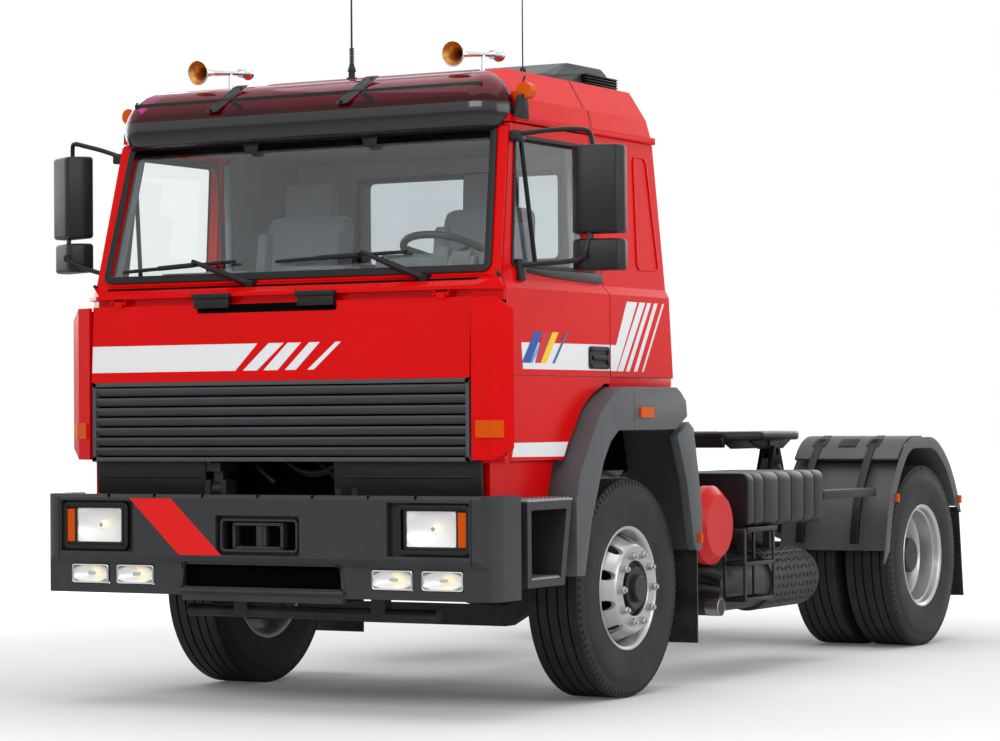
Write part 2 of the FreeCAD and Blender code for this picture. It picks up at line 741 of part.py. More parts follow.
# Leaf springs: each is a cambered pack between two hangers on the side of its rail.
sizes({
    "spring_width": 75,
    "spring_depth": 60,
    "spring_camber": 150,
    "spring_reach": 620,
    "hanger_length": 80,
    "saddle_half": 70,
})


def spring(name, seat):
    """A cambered leaf pack whose middle lies on the axle, with its two hangers."""
    radius = "((spring_reach ^ 2 + spring_camber ^ 2) / (2 * spring_camber))"
    low = "rail_half"
    high = "rail_half + spring_width"
    centre = seat + " + " + radius
    outer = rod(name + "Outer", "X", radius, (low, "0", centre), "spring_width")
    inner = rod(name + "Inner", "X", radius + " - spring_depth", (low, "0", centre), "spring_width")
    window = block(name + "Window", (low, high), ("0 - spring_reach", "spring_reach"),
                   (seat, seat + " + spring_camber + 2 * spring_depth"))
    pieces = [shared(name + "Leaf", less(name + "Band", outer, inner), window)]
    for end, start in [("Front", "0 - spring_reach - hanger_length / 2"),
                       ("Back", "spring_reach - hanger_length / 2")]:
        pieces.append(block(name + end, (low, high), (start, start + " + hanger_length"),
                            (seat + " + spring_camber - spring_depth", "rail_top - rail_depth / 2")))
    pieces.append(block(name + "Saddle", (low, high), ("0 - saddle_half", "saddle_half"),
                        (seat, seat + " + spring_depth * 1.5")))
    return joined(name, *pieces)


front_spring = spring("FrontSpring", "beam_high")
rear_spring = place(spring("RearSpring", "tyre_radius + tube_radius"), y="wheelbase")
keep("leaf_springs", pair("LeafSprings", grouped("SpringsLeft", front_spring, rear_spring)), FRONT_AXLE)

# Propeller shaft: a tapered tube from the gearbox down to the pinion nose.
sizes({
    "shaft_radius": 55,
})
shaft_start = "engine_back + bell_length + gearbox_length"
shaft_end = "wheelbase - nose_length"
shaft = doc.addObject("PartDesign::Body", "PropellerShaft")
rings = []
for name, along, height in [("Front", shaft_start, "drive_height"), ("Back", shaft_end, "tyre_radius")]:
    ring = shaft.newObject("Sketcher::SketchObject", "Shaft" + name)
    planes = [item for item in shaft.Origin.OriginFeatures if item.Role == "XZ_Plane"]
    ring.AttachmentSupport = [(planes[0], "")]
    ring.MapMode = "FlatFace"
    ring.setExpression("AttachmentOffset.Base.z", cells("0 - (" + along + ")"))
    ring.addGeometry(Part.Circle(Vector(0, 500, 0), Vector(0, 0, 1), 50), False)
    ring.addConstraint([
        Sketcher.Constraint("PointOnObject", 0, 3, -2),
        Sketcher.Constraint("DistanceY", -1, 1, 0, 3, 500),
        Sketcher.Constraint("Radius", 0, 50),
    ])
    ring.setExpression("Constraints[1]", cells(height))
    ring.setExpression("Constraints[2]", cells("shaft_radius"))
    rings.append(ring)
loft = shaft.newObject("PartDesign::AdditiveLoft", "ShaftTube")
loft.Profile = rings[0]
loft.Sections = [rings[1]]
shaft.Tip = loft
keep("propeller_shaft", shaft, FRONT_AXLE)

# Cab: the section of the whole cab seen from the side and from the front.
sizes({
    "cab_front": 1262,
    "cab_back": 563,
    "cab_back_waist": 522,
    "cab_back_top": 463,
    "cab_sill": 1155,
    "cab_floor_back": 1550,
    "cab_half": 1150,
    "cab_half_waist": 1130,
    "cab_half_top": 1090,
    "corner_half": 1045,
    "corner_back": 1165,
    "waist_low": 1950,
    "waist_high": 1990,
    "cab_eaves": 2730,
    "screen_foot": 1168,
    "screen_foot_height": 2010,
    "screen_head": 995,
    "ledge_front": 1306,
    "ledge_low": 1940,
    "ledge_high": 1957,
    "cab_side_wall": 80,
    "cab_front_wall": 50,
    "pillar_round": 60,
    "tunnel_half": 400,
    "tunnel_wall": 20,
    "arch_clear": 10,
})
# The top of the front arch, which the cab's floor and door follow.
sizes({
    "arch_low": 620,
    "arch_front": 665,
    "arch_knee": 971,
    "arch_step_back": 622,
    "arch_step_height": 1105,
    "arch_slope_back": 492,
    "arch_slope_height": 1282,
    "arch_crown_front": 307,
    "arch_crown_low": 1451,
    "arch_crown": 170,
    "arch_top": 1503,
    "arch_rear": 400,
    "arch_sill_back": 590,
    "arch_bend_back": 409,
    "arch_bend_height": 1384,
})
over_arch = [
    ("0 - arch_sill_back - 2 * arch_clear", "cab_sill"),
    ("0 - arch_slope_back - arch_clear", "arch_slope_height + arch_clear"),
    ("0 - arch_bend_back - arch_clear", "arch_bend_height + arch_clear"),
    ("0 - arch_crown_front - arch_clear", "arch_crown_low + arch_clear"),
    ("0 - arch_crown - arch_clear", "arch_top + arch_clear"),
]
under_cab = [("0 - cab_front", "cab_sill")] + over_arch
hull_side = under_cab + [
    ("0 - arch_crown + arch_clear", "cab_floor_back"),
    ("cab_back", "cab_floor_back"),
    ("cab_back_waist", "waist_low"),
    ("cab_back_waist", "waist_high"),
    ("cab_back_top", "cab_eaves"),
    ("0 - screen_head", "cab_eaves"),
    ("0 - screen_foot", "screen_foot_height"),
    ("0 - cab_front", "ledge_high"),
]
hull_front = [
    ("0 - cab_half", "cab_sill"),
    ("cab_half", "cab_sill"),
    ("cab_half", "waist_low"),
    ("cab_half_waist", "waist_high"),
    ("cab_half_top", "cab_eaves"),
    ("0 - cab_half_top", "cab_eaves"),
    ("0 - cab_half_waist", "waist_high"),
    ("0 - cab_half", "waist_low"),
]
hull_plan = [
    ("0 - corner_half", "0 - cab_front"),
    ("corner_half", "0 - cab_front"),
    ("cab_half", "0 - corner_back"),
    ("cab_half", "cab_back"),
    ("0 - cab_half", "cab_back"),
    ("0 - cab_half", "0 - corner_back"),
]
hull = shared("CabHull", prism("CabSide", "YZ", hull_side, "0 - cab_half", "cab_half"),
              prism("CabFrontView", "XZ", hull_front, "0 - cab_front", "cab_back"),
              prism("CabPlan", "XY", hull_plan, "cab_sill", "cab_eaves"))
wall = "cab_front_wall"
room_side = [
    ("0 - cab_front + " + wall, "cab_sill - " + wall),
    ("0 - cab_front + " + wall, "waist_high"),
    ("0 - screen_foot + " + wall, "screen_foot_height + arch_clear"),
    ("0 - screen_head + " + wall, "cab_eaves"),
    ("cab_back_top - " + wall, "cab_eaves"),
    ("cab_back_waist - " + wall, "waist_high"),
    ("cab_back_waist - " + wall, "waist_low"),
    ("cab_back - " + wall, "cab_floor_back"),
    ("cab_back - " + wall, "cab_sill - " + wall),
]
side_wall = "cab_side_wall"
room_front = [
    ("0 - cab_half + " + side_wall, "cab_sill - " + wall),
    ("cab_half - " + side_wall, "cab_sill - " + wall),
    ("cab_half - " + side_wall, "waist_low"),
    ("cab_half_waist - " + side_wall, "waist_high"),
    ("cab_half_top - " + side_wall, "cab_eaves"),
    ("0 - cab_half_top + " + side_wall, "cab_eaves"),
    ("0 - cab_half_waist + " + side_wall, "waist_high"),
    ("0 - cab_half + " + side_wall, "waist_low"),
]
room_plan = [
    ("0 - corner_half + " + wall, "0 - cab_front"),
    ("corner_half - " + wall, "0 - cab_front"),
    ("cab_half - " + wall, "0 - corner_back + " + wall),
    ("cab_half - " + wall, "cab_back"),
    ("0 - cab_half + " + wall, "cab_back"),
    ("0 - cab_half + " + wall, "0 - corner_back + " + wall),
]
room = shared("CabRoom", prism("RoomSide", "YZ", room_side, "0 - cab_half", "cab_half"),
              prism("RoomFrontView", "XZ", room_front, "0 - cab_front", "cab_back"),
              prism("RoomPlan", "XY", room_plan, "cab_sill - cab_front_wall", "cab_eaves"))
# A door's outline from the side, its window, and the skin band that it lies in.
sizes({
    "door_front": 1150,
    "door_front_low": 1115,
    "door_rise": 6,
    "door_rear": 126,
    "door_rear_waist": 161,
    "door_rear_top": 229,
    "door_front_top": 990,
    "door_front_waist": 1945,
    "door_top": 2712,
    "door_wall": 55,
    "door_gap": 8,
    "door_flange": 34,
    "glass_front": 1052,
    "glass_front_top": 956,
    "glass_rear": 235,
    "glass_low": 2055,
    "glass_high": 2655,
    "glass_wall": 6,
})


def door_outline(grow):
    """The edge of a door from the side, grown by a gap or drawn in by a margin."""
    edge = [("0 - door_front_low - (" + grow + ")", "cab_sill + door_rise - (" + grow + ")")]
    for back, height in over_arch[:-1]:
        edge.append((back + " + (" + grow + ")", height + " + door_rise - (" + grow + ")"))
    crown = "arch_top + arch_clear + door_rise - (" + grow + ")"
    return edge + [
        ("0 - arch_crown - arch_clear + (" + grow + ")", crown),
        ("0 - door_rear + (" + grow + ")", crown),
        ("0 - door_rear + (" + grow + ")", "waist_low"),
        ("0 - door_rear_waist + (" + grow + ")", "waist_high"),
        ("0 - door_rear_top + (" + grow + ")", "door_top + (" + grow + ")"),
        ("0 - door_front_top - (" + grow + ")", "door_top + (" + grow + ")"),
        ("0 - door_front - (" + grow + ")", "door_front_waist"),
    ]


def skin_band(name, depth):
    """The outer skin of the cab's left side down to a depth, seen from the front."""
    outline = [
        ("cab_half", "cab_sill - cab_front_wall"),
        ("cab_half", "waist_low"),
        ("cab_half_waist", "waist_high"),
        ("cab_half_top", "cab_eaves"),
        ("cab_half_top - (" + depth + ")", "cab_eaves"),
        ("cab_half_waist - (" + depth + ")", "waist_high"),
        ("cab_half - (" + depth + ")", "waist_low"),
        ("cab_half - (" + depth + ")", "cab_sill - cab_front_wall"),
    ]
    return prism(name, "XZ", outline, "0 - cab_front - cab_front_wall", "cab_back")


door_recess = shared("DoorRecess", prism("DoorRecessSide", "YZ", door_outline("door_gap"), "0", "cab_half"),
                     skin_band("DoorRecessBand", "door_wall + door_gap"))
door_hole = prism("DoorHole", "YZ", door_outline("0 - door_flange"), "cab_half - 2 * cab_side_wall - cab_front_wall",
                  "cab_half")
# Two hinges on a door's front edge: an eye on the cab's pillar between two tabs of the door.
sizes({
    "hinge_place": 1146,
    "hinge_back": 1150,
    "hinge_pin": 7,
    "hinge_eye": 10,
    "hinge_low": 1240,
    "hinge_high": 1490,
    "eye_height": 30,
    "tab_height": 16,
    "tab_gap": 4,
})
hinge_notches = []
hinge_eyes = []
hinge_tabs = []
for number, height in enumerate(["hinge_low", "hinge_high"]):
    under = height + " - tab_gap - tab_height"
    over = height + " + eye_height + tab_gap"
    hinge_notches.append(block(
        "HingeNotch" + str(number), ("hinge_place - hinge_eye - tab_gap", "cab_half"),
        ("0 - hinge_back - hinge_eye - tab_gap", "0 - door_front_low"),
        (under + " - tab_gap", over + " + tab_height + tab_gap")))
    eye = block("HingeEye" + str(number), ("hinge_place - hinge_eye", "hinge_place + hinge_eye"),
                ("0 - hinge_back - 2 * hinge_eye", "0 - hinge_back + hinge_eye"), (height, height + " + eye_height"))
    hinge_eyes.append(less("HingeEyeBored" + str(number), eye, rod(
        "HingeEyeBore" + str(number), "Z", "hinge_pin + seat_gap",
        ("hinge_place", "0 - hinge_back", height), "eye_height")))
    for name, low in [("Under", under), ("Over", over)]:
        hinge_tabs.append(rod("HingeBoss" + name + str(number), "Z", "hinge_eye",
                              ("hinge_place", "0 - hinge_back", low), "tab_height"))
        hinge_tabs.append(block("HingeTab" + name + str(number), ("hinge_place - hinge_eye", "cab_half"),
                                ("0 - hinge_back", "0 - door_front_low + 2 * hinge_eye"),
                                (low, low + " + tab_height")))
    hinge_tabs.append(rod("HingePin" + str(number), "Z", "hinge_pin", ("hinge_place", "0 - hinge_back", under),
                          "eye_height + 2 * tab_gap + 2 * tab_height"))
sizes({
    "screen_half_low": 1060,
    "screen_half_high": 1010,
    "screen_low": 2045,
    "screen_high": 2700,
    "screen_wall": 8,
    "screen_inset": 10,
    "rear_window_half": 600,
    "rear_window_low": 2150,
    "rear_window_high": 2610,
})
screen_outline = [
    ("0 - screen_half_low", "screen_low"),
    ("screen_half_low", "screen_low"),
    ("screen_half_high", "screen_high"),
    ("0 - screen_half_high", "screen_high"),
]
screen_hole = prism("ScreenHole", "XZ", screen_outline, "0 - cab_front", "0 - screen_head + 2 * cab_front_wall")
rear_hole = block("RearHole", ("0 - rear_window_half", "rear_window_half"),
                  ("cab_back_top - 2 * cab_front_wall", "cab_back"), ("rear_window_low", "rear_window_high"))
tunnel_hole = block("TunnelHole", ("0 - tunnel_half", "tunnel_half"),
                    ("0 - cab_front - cab_front_wall", "0 - cab_front + 2 * cab_front_wall"),
                    ("cab_sill - cab_front_wall", "cab_floor_back"))
door_cuts = grouped("DoorCuts", door_recess, door_hole, *hinge_notches)
shell = less("CabShellOpen", hull, room, door_cuts, mirrored("DoorCutsRight", door_cuts), screen_hole, rear_hole,
             tunnel_hole)
# The ledge under the windscreen, the step wells under the doors and the hatch's ears.
sizes({
    "ledge_half": 1030,
    "ledge_tip": 1168,
    "ledge_lip": 12,
    "well_front": 1060,
    "column_front": 1215,
    "well_rear": 612,
    "well_rear_low": 676,
    "well_low": 975,
    "well_inner": 1010,
    "well_outer": 1100,
    "hatch_half": 1053,
    "hatch_low": 1540,
    "hatch_high": 1905,
    "hatch_top_face": 1297,
    "hatch_face": 1313,
    "hatch_back": 1270,
    "hatch_pin_height": 1920,
    "hatch_pin": 6,
    "hatch_ear": 12,
    "hatch_ear_place": 900,
    "hatch_lug_half": 24,
    "hatch_lug_reach": 9,
    "hatch_ear_half": 10,
})
ledge_plan = [
    ("0 - ledge_half", "0 - ledge_front"),
    ("ledge_half", "0 - ledge_front"),
    ("ledge_tip", "0 - corner_back - ledge_lip"),
    ("ledge_tip", "0 - corner_back"),
    ("0 - ledge_tip", "0 - corner_back"),
    ("0 - ledge_tip", "0 - corner_back - ledge_lip"),
]
ledge = less("Ledge", prism("LedgePlan", "XY", ledge_plan, "ledge_low", "ledge_high"), room)
well_outline = [
    ("0 - well_front", "well_low"),
    ("0 - well_rear_low", "well_low"),
    ("0 - well_rear", "cab_sill"),
    ("0 - well_front", "cab_sill"),
]
well = joined("StepWell", prism("WellBox", "YZ", well_outline, "well_inner", "well_outer"),
              block("WellColumn", ("well_inner", "well_outer"), ("0 - column_front", "0 - well_front"),
                    ("well_low", "cab_sill")))
ear_pieces = []
for name, low in [("Inner", "hatch_ear_place - hatch_lug_half - moving_gap - hatch_ear"),
                  ("Outer", "hatch_ear_place + hatch_lug_half + moving_gap")]:
    ear_pieces.append(rod("HatchEye" + name, "X", "hatch_ear_half", (low, "0 - hatch_top_face", "hatch_pin_height"),
                          "hatch_ear"))
    ear_pieces.append(block("HatchEar" + name, (low, low + " + hatch_ear"),
                            ("0 - hatch_top_face", "0 - cab_front"),
                            ("hatch_pin_height - hatch_ear_half", "ledge_low")))
hatch_bore = rod("HatchBore", "X", "hatch_pin + seat_gap", ("0", "0 - hatch_top_face", "hatch_pin_height"),
                 "cab_half")
hatch_ears = less("HatchEars", grouped("HatchEarPair", *ear_pieces), hatch_bore)
shell_extras = grouped("ShellExtras", well, hatch_ears, *hinge_eyes)
keep("cab_shell", joined("CabShell", shell, ledge, shell_extras, mirrored("ShellExtrasRight", shell_extras)),
     FRONT_AXLE)

# Windscreen and rear window, each a pane face to face with its opening.
slope = "(screen_foot - screen_head) / (cab_eaves - screen_foot_height)"


def screen_line(height, depth):
    """A point at some depth behind the windscreen's outer face."""
    return "0 - screen_foot + (" + height + " - screen_foot_height) * " + slope + " + " + depth


pane_side = [
    (screen_line("screen_low", "screen_inset"), "screen_low"),
    (screen_line("screen_high", "screen_inset"), "screen_high"),
    (screen_line("screen_high", "screen_inset + screen_wall"), "screen_high"),
    (screen_line("screen_low", "screen_inset + screen_wall"), "screen_low"),
]
pane_front = prism("PaneFront", "XZ", screen_outline, "0 - cab_front", "0 - screen_head + 2 * cab_front_wall")
screen = shared("Windscreen", pane_front, prism("PaneSide", "YZ", pane_side, "0 - cab_half", "cab_half"))
rear_pane = block("RearPane", ("0 - rear_window_half", "rear_window_half"),
                  ("cab_back_top - cab_front_wall + 2 * screen_inset",
                   "cab_back_top - cab_front_wall + 2 * screen_inset + screen_wall"),
                  ("rear_window_low", "rear_window_high"))
keep("cab_glass", grouped("CabGlass", screen, rear_pane), FRONT_AXLE)

# Cab floor: it rises over the wheels, with a tunnel over the engine, and carries the lugs
# and pins that the cab tilts on.
sizes({
    "floor_wall": 40,
    "lug_half": 26,
    "lug_radius": 40,
})
floor_half = "cab_half - cab_side_wall"
floor_outline = [
    ("0 - cab_front + cab_front_wall", "cab_sill"),
] + over_arch + [
    ("0 - arch_crown + arch_clear", "cab_floor_back"),
    ("cab_back - cab_front_wall - arch_clear", "cab_floor_back"),
    ("cab_back - cab_front_wall - arch_clear", "cab_floor_back + floor_wall"),
    ("0 - arch_crown - floor_wall", "cab_floor_back + floor_wall"),
    ("0 - arch_crown_front - floor_wall", "arch_crown_low + 2 * floor_wall"),
    ("0 - arch_slope_back - floor_wall", "arch_slope_height + 2 * floor_wall"),
    ("0 - arch_sill_back - floor_wall - 2 * arch_clear", "cab_sill + floor_wall"),
    ("0 - cab_front + cab_front_wall", "cab_sill + floor_wall"),
]
floor_plate = shared("FloorPlate", prism("FloorSide", "YZ", floor_outline, "0 - (" + floor_half + ")", floor_half),
                     prism("FloorPlan", "XY", room_plan, "cab_sill - cab_front_wall", "cab_eaves"))
tunnel_space = block("TunnelSpace", ("0 - tunnel_half", "tunnel_half"),
                     ("0 - cab_front - cab_front_wall", "0 - arch_crown"),
                     ("cab_sill - cab_front_wall", "cab_floor_back"))
tunnel_box = block("TunnelBox", ("0 - tunnel_half - tunnel_wall", "tunnel_half + tunnel_wall"),
                   ("0 - cab_front + cab_front_wall", "0 - arch_crown"),
                   ("cab_sill", "cab_floor_back + floor_wall"))
floor_whole = less("FloorOpen", joined("FloorWhole", floor_plate, tunnel_box), tunnel_space)
lug_middle = "rail_half - ear_wall - ear_gap / 2"
lug = joined(
    "TiltLug",
    rod("LugEye", "X", "lug_radius", (lug_middle + " - lug_half", "0 - tilt_back", "tilt_height"), "2 * lug_half"),
    block("LugArm", (lug_middle + " - lug_half", lug_middle + " + lug_half"),
          ("0 - tilt_back - lug_radius / 2", "0 - tilt_back + lug_radius"), ("tilt_height", "cab_sill")),
    block("LugFoot", (lug_middle + " - lug_half", "rail_half + floor_wall"),
          ("0 - cab_front", "0 - cab_front + 3 * cab_front_wall"), ("cab_sill - floor_wall", "cab_sill")),
    rod("TiltPin", "X", "tilt_pin", (lug_middle + " - ear_gap / 2 - ear_wall", "0 - tilt_back", "tilt_height"),
        "ear_gap + 2 * ear_wall"),
)
keep("cab_floor", joined("CabFloor", floor_whole, lug, mirrored("TiltLugRight", lug)), FRONT_AXLE)

# Roof: a faceted pressing with a kink along each side, closed above the cab.
sizes({
    "roof_kink_half": 1060,
    "roof_kink": 2840,
    "roof_half": 970,
    "roof_top": 2985,
    "roof_front_kink": 930,
    "roof_front_kink_height": 2860,
    "roof_front_top": 800,
    "roof_rear_top": 455,
    "roof_rear_kink": 460,
    "roof_wall": 35,
    "rail_reach": 20,
    "drip_height": 18,
    "drip_front": 961,
    "drip_rear": 463,
})


def roof_section(inset):
    """The roof's two outlines, drawn in from the outside by a wall."""
    side_view = [
        ("0 - screen_head + " + inset, "cab_eaves"),
        ("cab_back_top - " + inset, "cab_eaves"),
        ("roof_rear_kink - " + inset, "roof_kink"),
        ("roof_rear_top - " + inset, "roof_top - " + inset),
        ("0 - roof_front_top + " + inset, "roof_top - " + inset),
        ("0 - roof_front_kink + " + inset, "roof_front_kink_height - " + inset + " / 2"),
    ]
    front_view = [
        ("0 - cab_half_top + " + inset, "cab_eaves"),
        ("cab_half_top - " + inset, "cab_eaves"),
        ("roof_kink_half - " + inset, "roof_kink"),
        ("roof_half - " + inset, "roof_top"),
        ("0 - roof_half + " + inset, "roof_top"),
        ("0 - roof_kink_half + " + inset, "roof_kink"),
    ]
    return side_view, front_view


side_view, front_view = roof_section("0")
roof_hull = shared("RoofHull", prism("RoofSide", "YZ", side_view, "0 - cab_half", "cab_half"),
                   prism("RoofFrontView", "XZ", front_view, "0 - cab_front", "cab_back"))
side_view, front_view = roof_section("roof_wall")
roof_room = shared("RoofRoom", prism("RoofRoomSide", "YZ", side_view, "0 - cab_half", "cab_half"),
                   prism("RoofRoomFront", "XZ", front_view, "0 - cab_front", "cab_back"))
drip = block("DripRail", ("cab_half_top - rail_reach / 2", "cab_half_top + rail_reach"),
             ("0 - drip_front", "drip_rear"), ("cab_eaves", "cab_eaves + drip_height"))
keep("cab_roof", joined("CabRoof", less("RoofShell", roof_hull, roof_room), drip, mirrored("DripRailRight", drip)),
     FRONT_AXLE)

# Roof fairing: a low black housing behind the visor.
sizes({
    "fairing_front": 470,
    "fairing_back": 150,
    "fairing_half": 880,
    "fairing_top_half": 810,
    "fairing_height": 115,
    "fairing_nose": 260,
    "fairing_tail": 60,
})
fairing_side = [
    ("0 - fairing_front", "roof_top"),
    ("fairing_back", "roof_top"),
    ("fairing_back - fairing_tail", "roof_top + fairing_height"),
    ("0 - fairing_front + fairing_nose", "roof_top + fairing_height"),
    ("0 - fairing_front", "roof_top + fairing_height / 2"),
]
fairing_front_view = [
    ("0 - fairing_half", "roof_top"),
    ("fairing_half", "roof_top"),
    ("fairing_top_half", "roof_top + fairing_height"),
    ("0 - fairing_top_half", "roof_top + fairing_height"),
]
fairing = shared("RoofFairing", prism("FairingSide", "YZ", fairing_side, "0 - fairing_half", "fairing_half"),
                 prism("FairingFront", "XZ", fairing_front_view, "0 - fairing_front", "fairing_back"))
keep("roof_fairing", fairing, FRONT_AXLE)

# Sun visor: a bent sheet across the top of the windscreen, with closed ends, on two brackets.
sizes({
    "visor_half": 1090,
    "visor_wall": 8,
    "visor_low": 2712,
    "visor_low_front": 1085,
    "visor_knee": 2800,
    "visor_knee_front": 1082,
    "visor_brow": 2900,
    "visor_brow_front": 1040,
    "visor_top": 2968,
    "visor_top_front": 930,
    "visor_bracket_half": 25,
    "visor_bracket_place": 310,
})
visor_outer = [
    ("0 - visor_low_front", "visor_low"),
    ("0 - visor_knee_front", "visor_knee"),
    ("0 - visor_brow_front", "visor_brow"),
    ("0 - visor_top_front", "visor_top"),
]
visor_inner = [
    ("0 - visor_top_front + visor_wall", "visor_top - visor_wall"),
    ("0 - visor_brow_front + visor_wall", "visor_brow - visor_wall"),
    ("0 - visor_knee_front + visor_wall", "visor_knee - visor_wall / 2"),
    ("0 - visor_low_front + visor_wall", "visor_low"),
]
visor_sheet = prism("VisorSheet", "YZ", visor_outer + visor_inner, "0 - visor_half", "visor_half")
cheek_outline = visor_outer + [("0 - visor_top_front - 3 * visor_wall", "visor_knee"),
                               ("0 - visor_brow_front - visor_wall", "visor_low")]
cheek = prism("VisorCheek", "YZ", cheek_outline, "visor_half - visor_wall", "visor_half")
bracket_outline = [
    ("0 - visor_top_front", "visor_top - visor_wall"),
    ("0 - roof_front_top", "roof_top"),
    ("0 - roof_front_kink", "roof_front_kink_height"),
    ("0 - visor_brow_front + visor_wall", "visor_brow - 2 * visor_wall"),
]
bracket = prism("VisorBracket", "YZ", bracket_outline, "visor_bracket_place - visor_bracket_half",
                "visor_bracket_place + visor_bracket_half")
keep("sun_visor", joined("SunVisor", visor_sheet, cheek, mirrored("VisorCheekRight", cheek), bracket,
                         mirrored("VisorBracketRight", bracket)), FRONT_AXLE)

# Trumpet horns on the front edge of the roof.
sizes({
    "horn_bell": 58,
    "horn_throat": 13,
    "horn_flare": 120,
    "horn_length": 440,
    "horn_front": 930,
    "horn_place": 728,
    "horn_height": 3055,
    "horn_foot": 14,
    "horn_foot_back": 280,
})
horn_outline = [
    ("0", "0"),
    ("0", "horn_bell"),
    ("horn_flare / 4", "horn_bell / 2"),
    ("horn_flare", "horn_throat"),
    ("horn_length", "horn_throat"),
    ("horn_length", "0"),
]
horn = turned("HornTrumpet", horn_outline, "Y")
place(horn, "horn_place", "0 - horn_front", "horn_height")
horn_foot = rod("HornFoot", "Z", "horn_foot", ("horn_place", "0 - horn_front + horn_foot_back", "roof_top"),
                "horn_height - roof_top")
keep("air_horns", pair("AirHorns", joined("AirHorn", horn, horn_foot)), FRONT_AXLE)

# Two whip antennas.
sizes({
    "whip_radius": 4,
    "whip_length": 1150,
    "whip_base_radius": 13,
    "whip_base": 210,
    "whip_place": 150,
    "whip_back": 760,
    "side_whip_place": 940,
    "side_whip_length": 1100,
})
antenna = joined(
    "Antenna",
    rod("WhipBase", "Z", "whip_base_radius", ("whip_place", "0 - whip_back", "roof_top"), "whip_base"),
    rod("Whip", "Z", "whip_radius", ("whip_place", "0 - whip_back", "roof_top"), "whip_length"),
)
side_whip = rod("SideWhip", "Z", "whip_radius", ("side_whip_place", "0 - whip_back", "roof_top"), "side_whip_length")
keep("antennas", grouped("Antennas", antenna, side_whip), FRONT_AXLE)

# Corner deflectors: bent vanes beside the front hatch, which stand off the cab's corners.
sizes({
    "vane_inner": 1063,
    "vane_front": 1317,
    "vane_crease": 1155,
    "vane_crease_front": 1282,
    "vane_edge": 1230,
    "vane_edge_front": 1222,
    "vane_wall": 24,
    "vane_turn": 17,
    "vane_low": 1170,
    "vane_high": 1902,
    "vane_bevel": 55,
    "strut_inner": 1088,
    "strut_outer": 1112,
    "strut_back": 1150,
    "strut_height": 36,
    "strut_low": 1300,
    "strut_high": 1740,
})
vane_plan = [
    ("vane_inner", "0 - vane_front"),
    ("vane_crease", "0 - vane_crease_front"),
    ("vane_edge", "0 - vane_edge_front"),
    ("vane_edge - vane_turn", "0 - vane_edge_front + vane_turn"),
    ("vane_crease - vane_turn / 2", "0 - vane_crease_front + vane_wall"),
    ("vane_inner", "0 - vane_front + vane_wall"),
]
vane_face = [
    ("vane_inner", "vane_low"),
    ("vane_crease", "vane_low"),
    ("vane_edge", "vane_low + vane_bevel"),
    ("vane_edge", "vane_high - vane_bevel"),
    ("vane_crease", "vane_high"),
    ("vane_inner", "vane_high"),
]
vane = shared("Vane", prism("VanePlan", "XY", vane_plan, "vane_low", "vane_high"),
              prism("VaneFace", "XZ", vane_face, "0 - vane_front", "0 - strut_back"))
struts = []
for number, height in enumerate(["strut_low", "strut_high"]):
    strut = block("Strut" + str(number), ("strut_inner", "strut_outer"),
                  ("0 - vane_crease_front", "0 - strut_back"), (height, height + " + strut_height"))
    struts.append(less("StrutSeated" + str(number), strut, hull))
keep("corner_panels", pair("CornerPanels", joined("CornerPanel", vane, *struts)), FRONT_AXLE)

# Front arches, carried by the cab: a thin cover over each front wheel with a broad lip.
sizes({
    "arch_inner": 860,
    "arch_lip": 45,
    "arch_wall": 22,
    "arch_open_front": 585,
    "arch_open_low": 863,
    "arch_open_step": 519,
    "arch_open_knee": 388,
    "arch_open_knee_height": 1149,
    "arch_open_slope": 313,
    "arch_open_slope_height": 1243,
    "arch_open_crown": 230,
    "arch_open_top": 1295,
    "arch_open_rear": 300,
    "arch_seam": 391,
    "arch_seam_height": 1298,
    "arch_shoulder": 446,
    "arch_shoulder_height": 1481,
    "arch_corner": 505,
    "arch_corner_height": 1436,
    "arch_end": 517,
    "arch_end_height": 1360,
})
arch_top_line = [
    ("0 - arch_front", "arch_low"),
    ("0 - arch_front", "arch_knee"),
    ("0 - arch_step_back", "arch_step_height"),
    ("0 - arch_slope_back", "arch_slope_height"),
    ("0 - arch_bend_back", "arch_bend_height"),
    ("0 - arch_crown_front", "arch_crown_low"),
    ("0 - arch_crown", "arch_top"),
    ("arch_rear", "arch_top"),
    ("arch_shoulder", "arch_shoulder_height"),
    ("arch_corner", "arch_corner_height"),
    ("arch_end", "arch_end_height"),
]
arch_opening = [
    ("arch_seam", "arch_seam_height"),
    ("arch_open_rear", "arch_open_top"),
    ("0 - arch_open_crown", "arch_open_top"),
    ("0 - arch_open_slope", "arch_open_slope_height"),
    ("0 - arch_open_knee", "arch_open_knee_height"),
    ("0 - arch_open_step", "arch_open_low"),
    ("0 - arch_open_front", "arch_low"),
]
arch_under = [
    ("arch_end - arch_wall", "arch_end_height - arch_wall / 4"),
    ("arch_corner - arch_wall", "arch_corner_height - arch_wall"),
    ("arch_shoulder - arch_wall", "arch_shoulder_height - arch_wall"),
    ("arch_rear", "arch_top - arch_wall"),
    ("0 - arch_crown", "arch_top - arch_wall"),
    ("0 - arch_crown_front + arch_wall / 2", "arch_crown_low - arch_wall"),
    ("0 - arch_bend_back + arch_wall", "arch_bend_height - arch_wall / 2"),
    ("0 - arch_slope_back + arch_wall", "arch_slope_height - arch_wall / 2"),
    ("0 - arch_step_back + arch_wall", "arch_step_height - arch_wall / 2"),
    ("0 - arch_front + arch_wall", "arch_knee"),
    ("0 - arch_front + arch_wall", "arch_low"),
]
arch_lip = prism("ArchLip", "YZ", arch_top_line + arch_opening, "body_half - arch_lip", "body_half")
arch_cover = prism("ArchCover", "YZ", arch_top_line + arch_under, "arch_inner", "body_half - arch_lip")
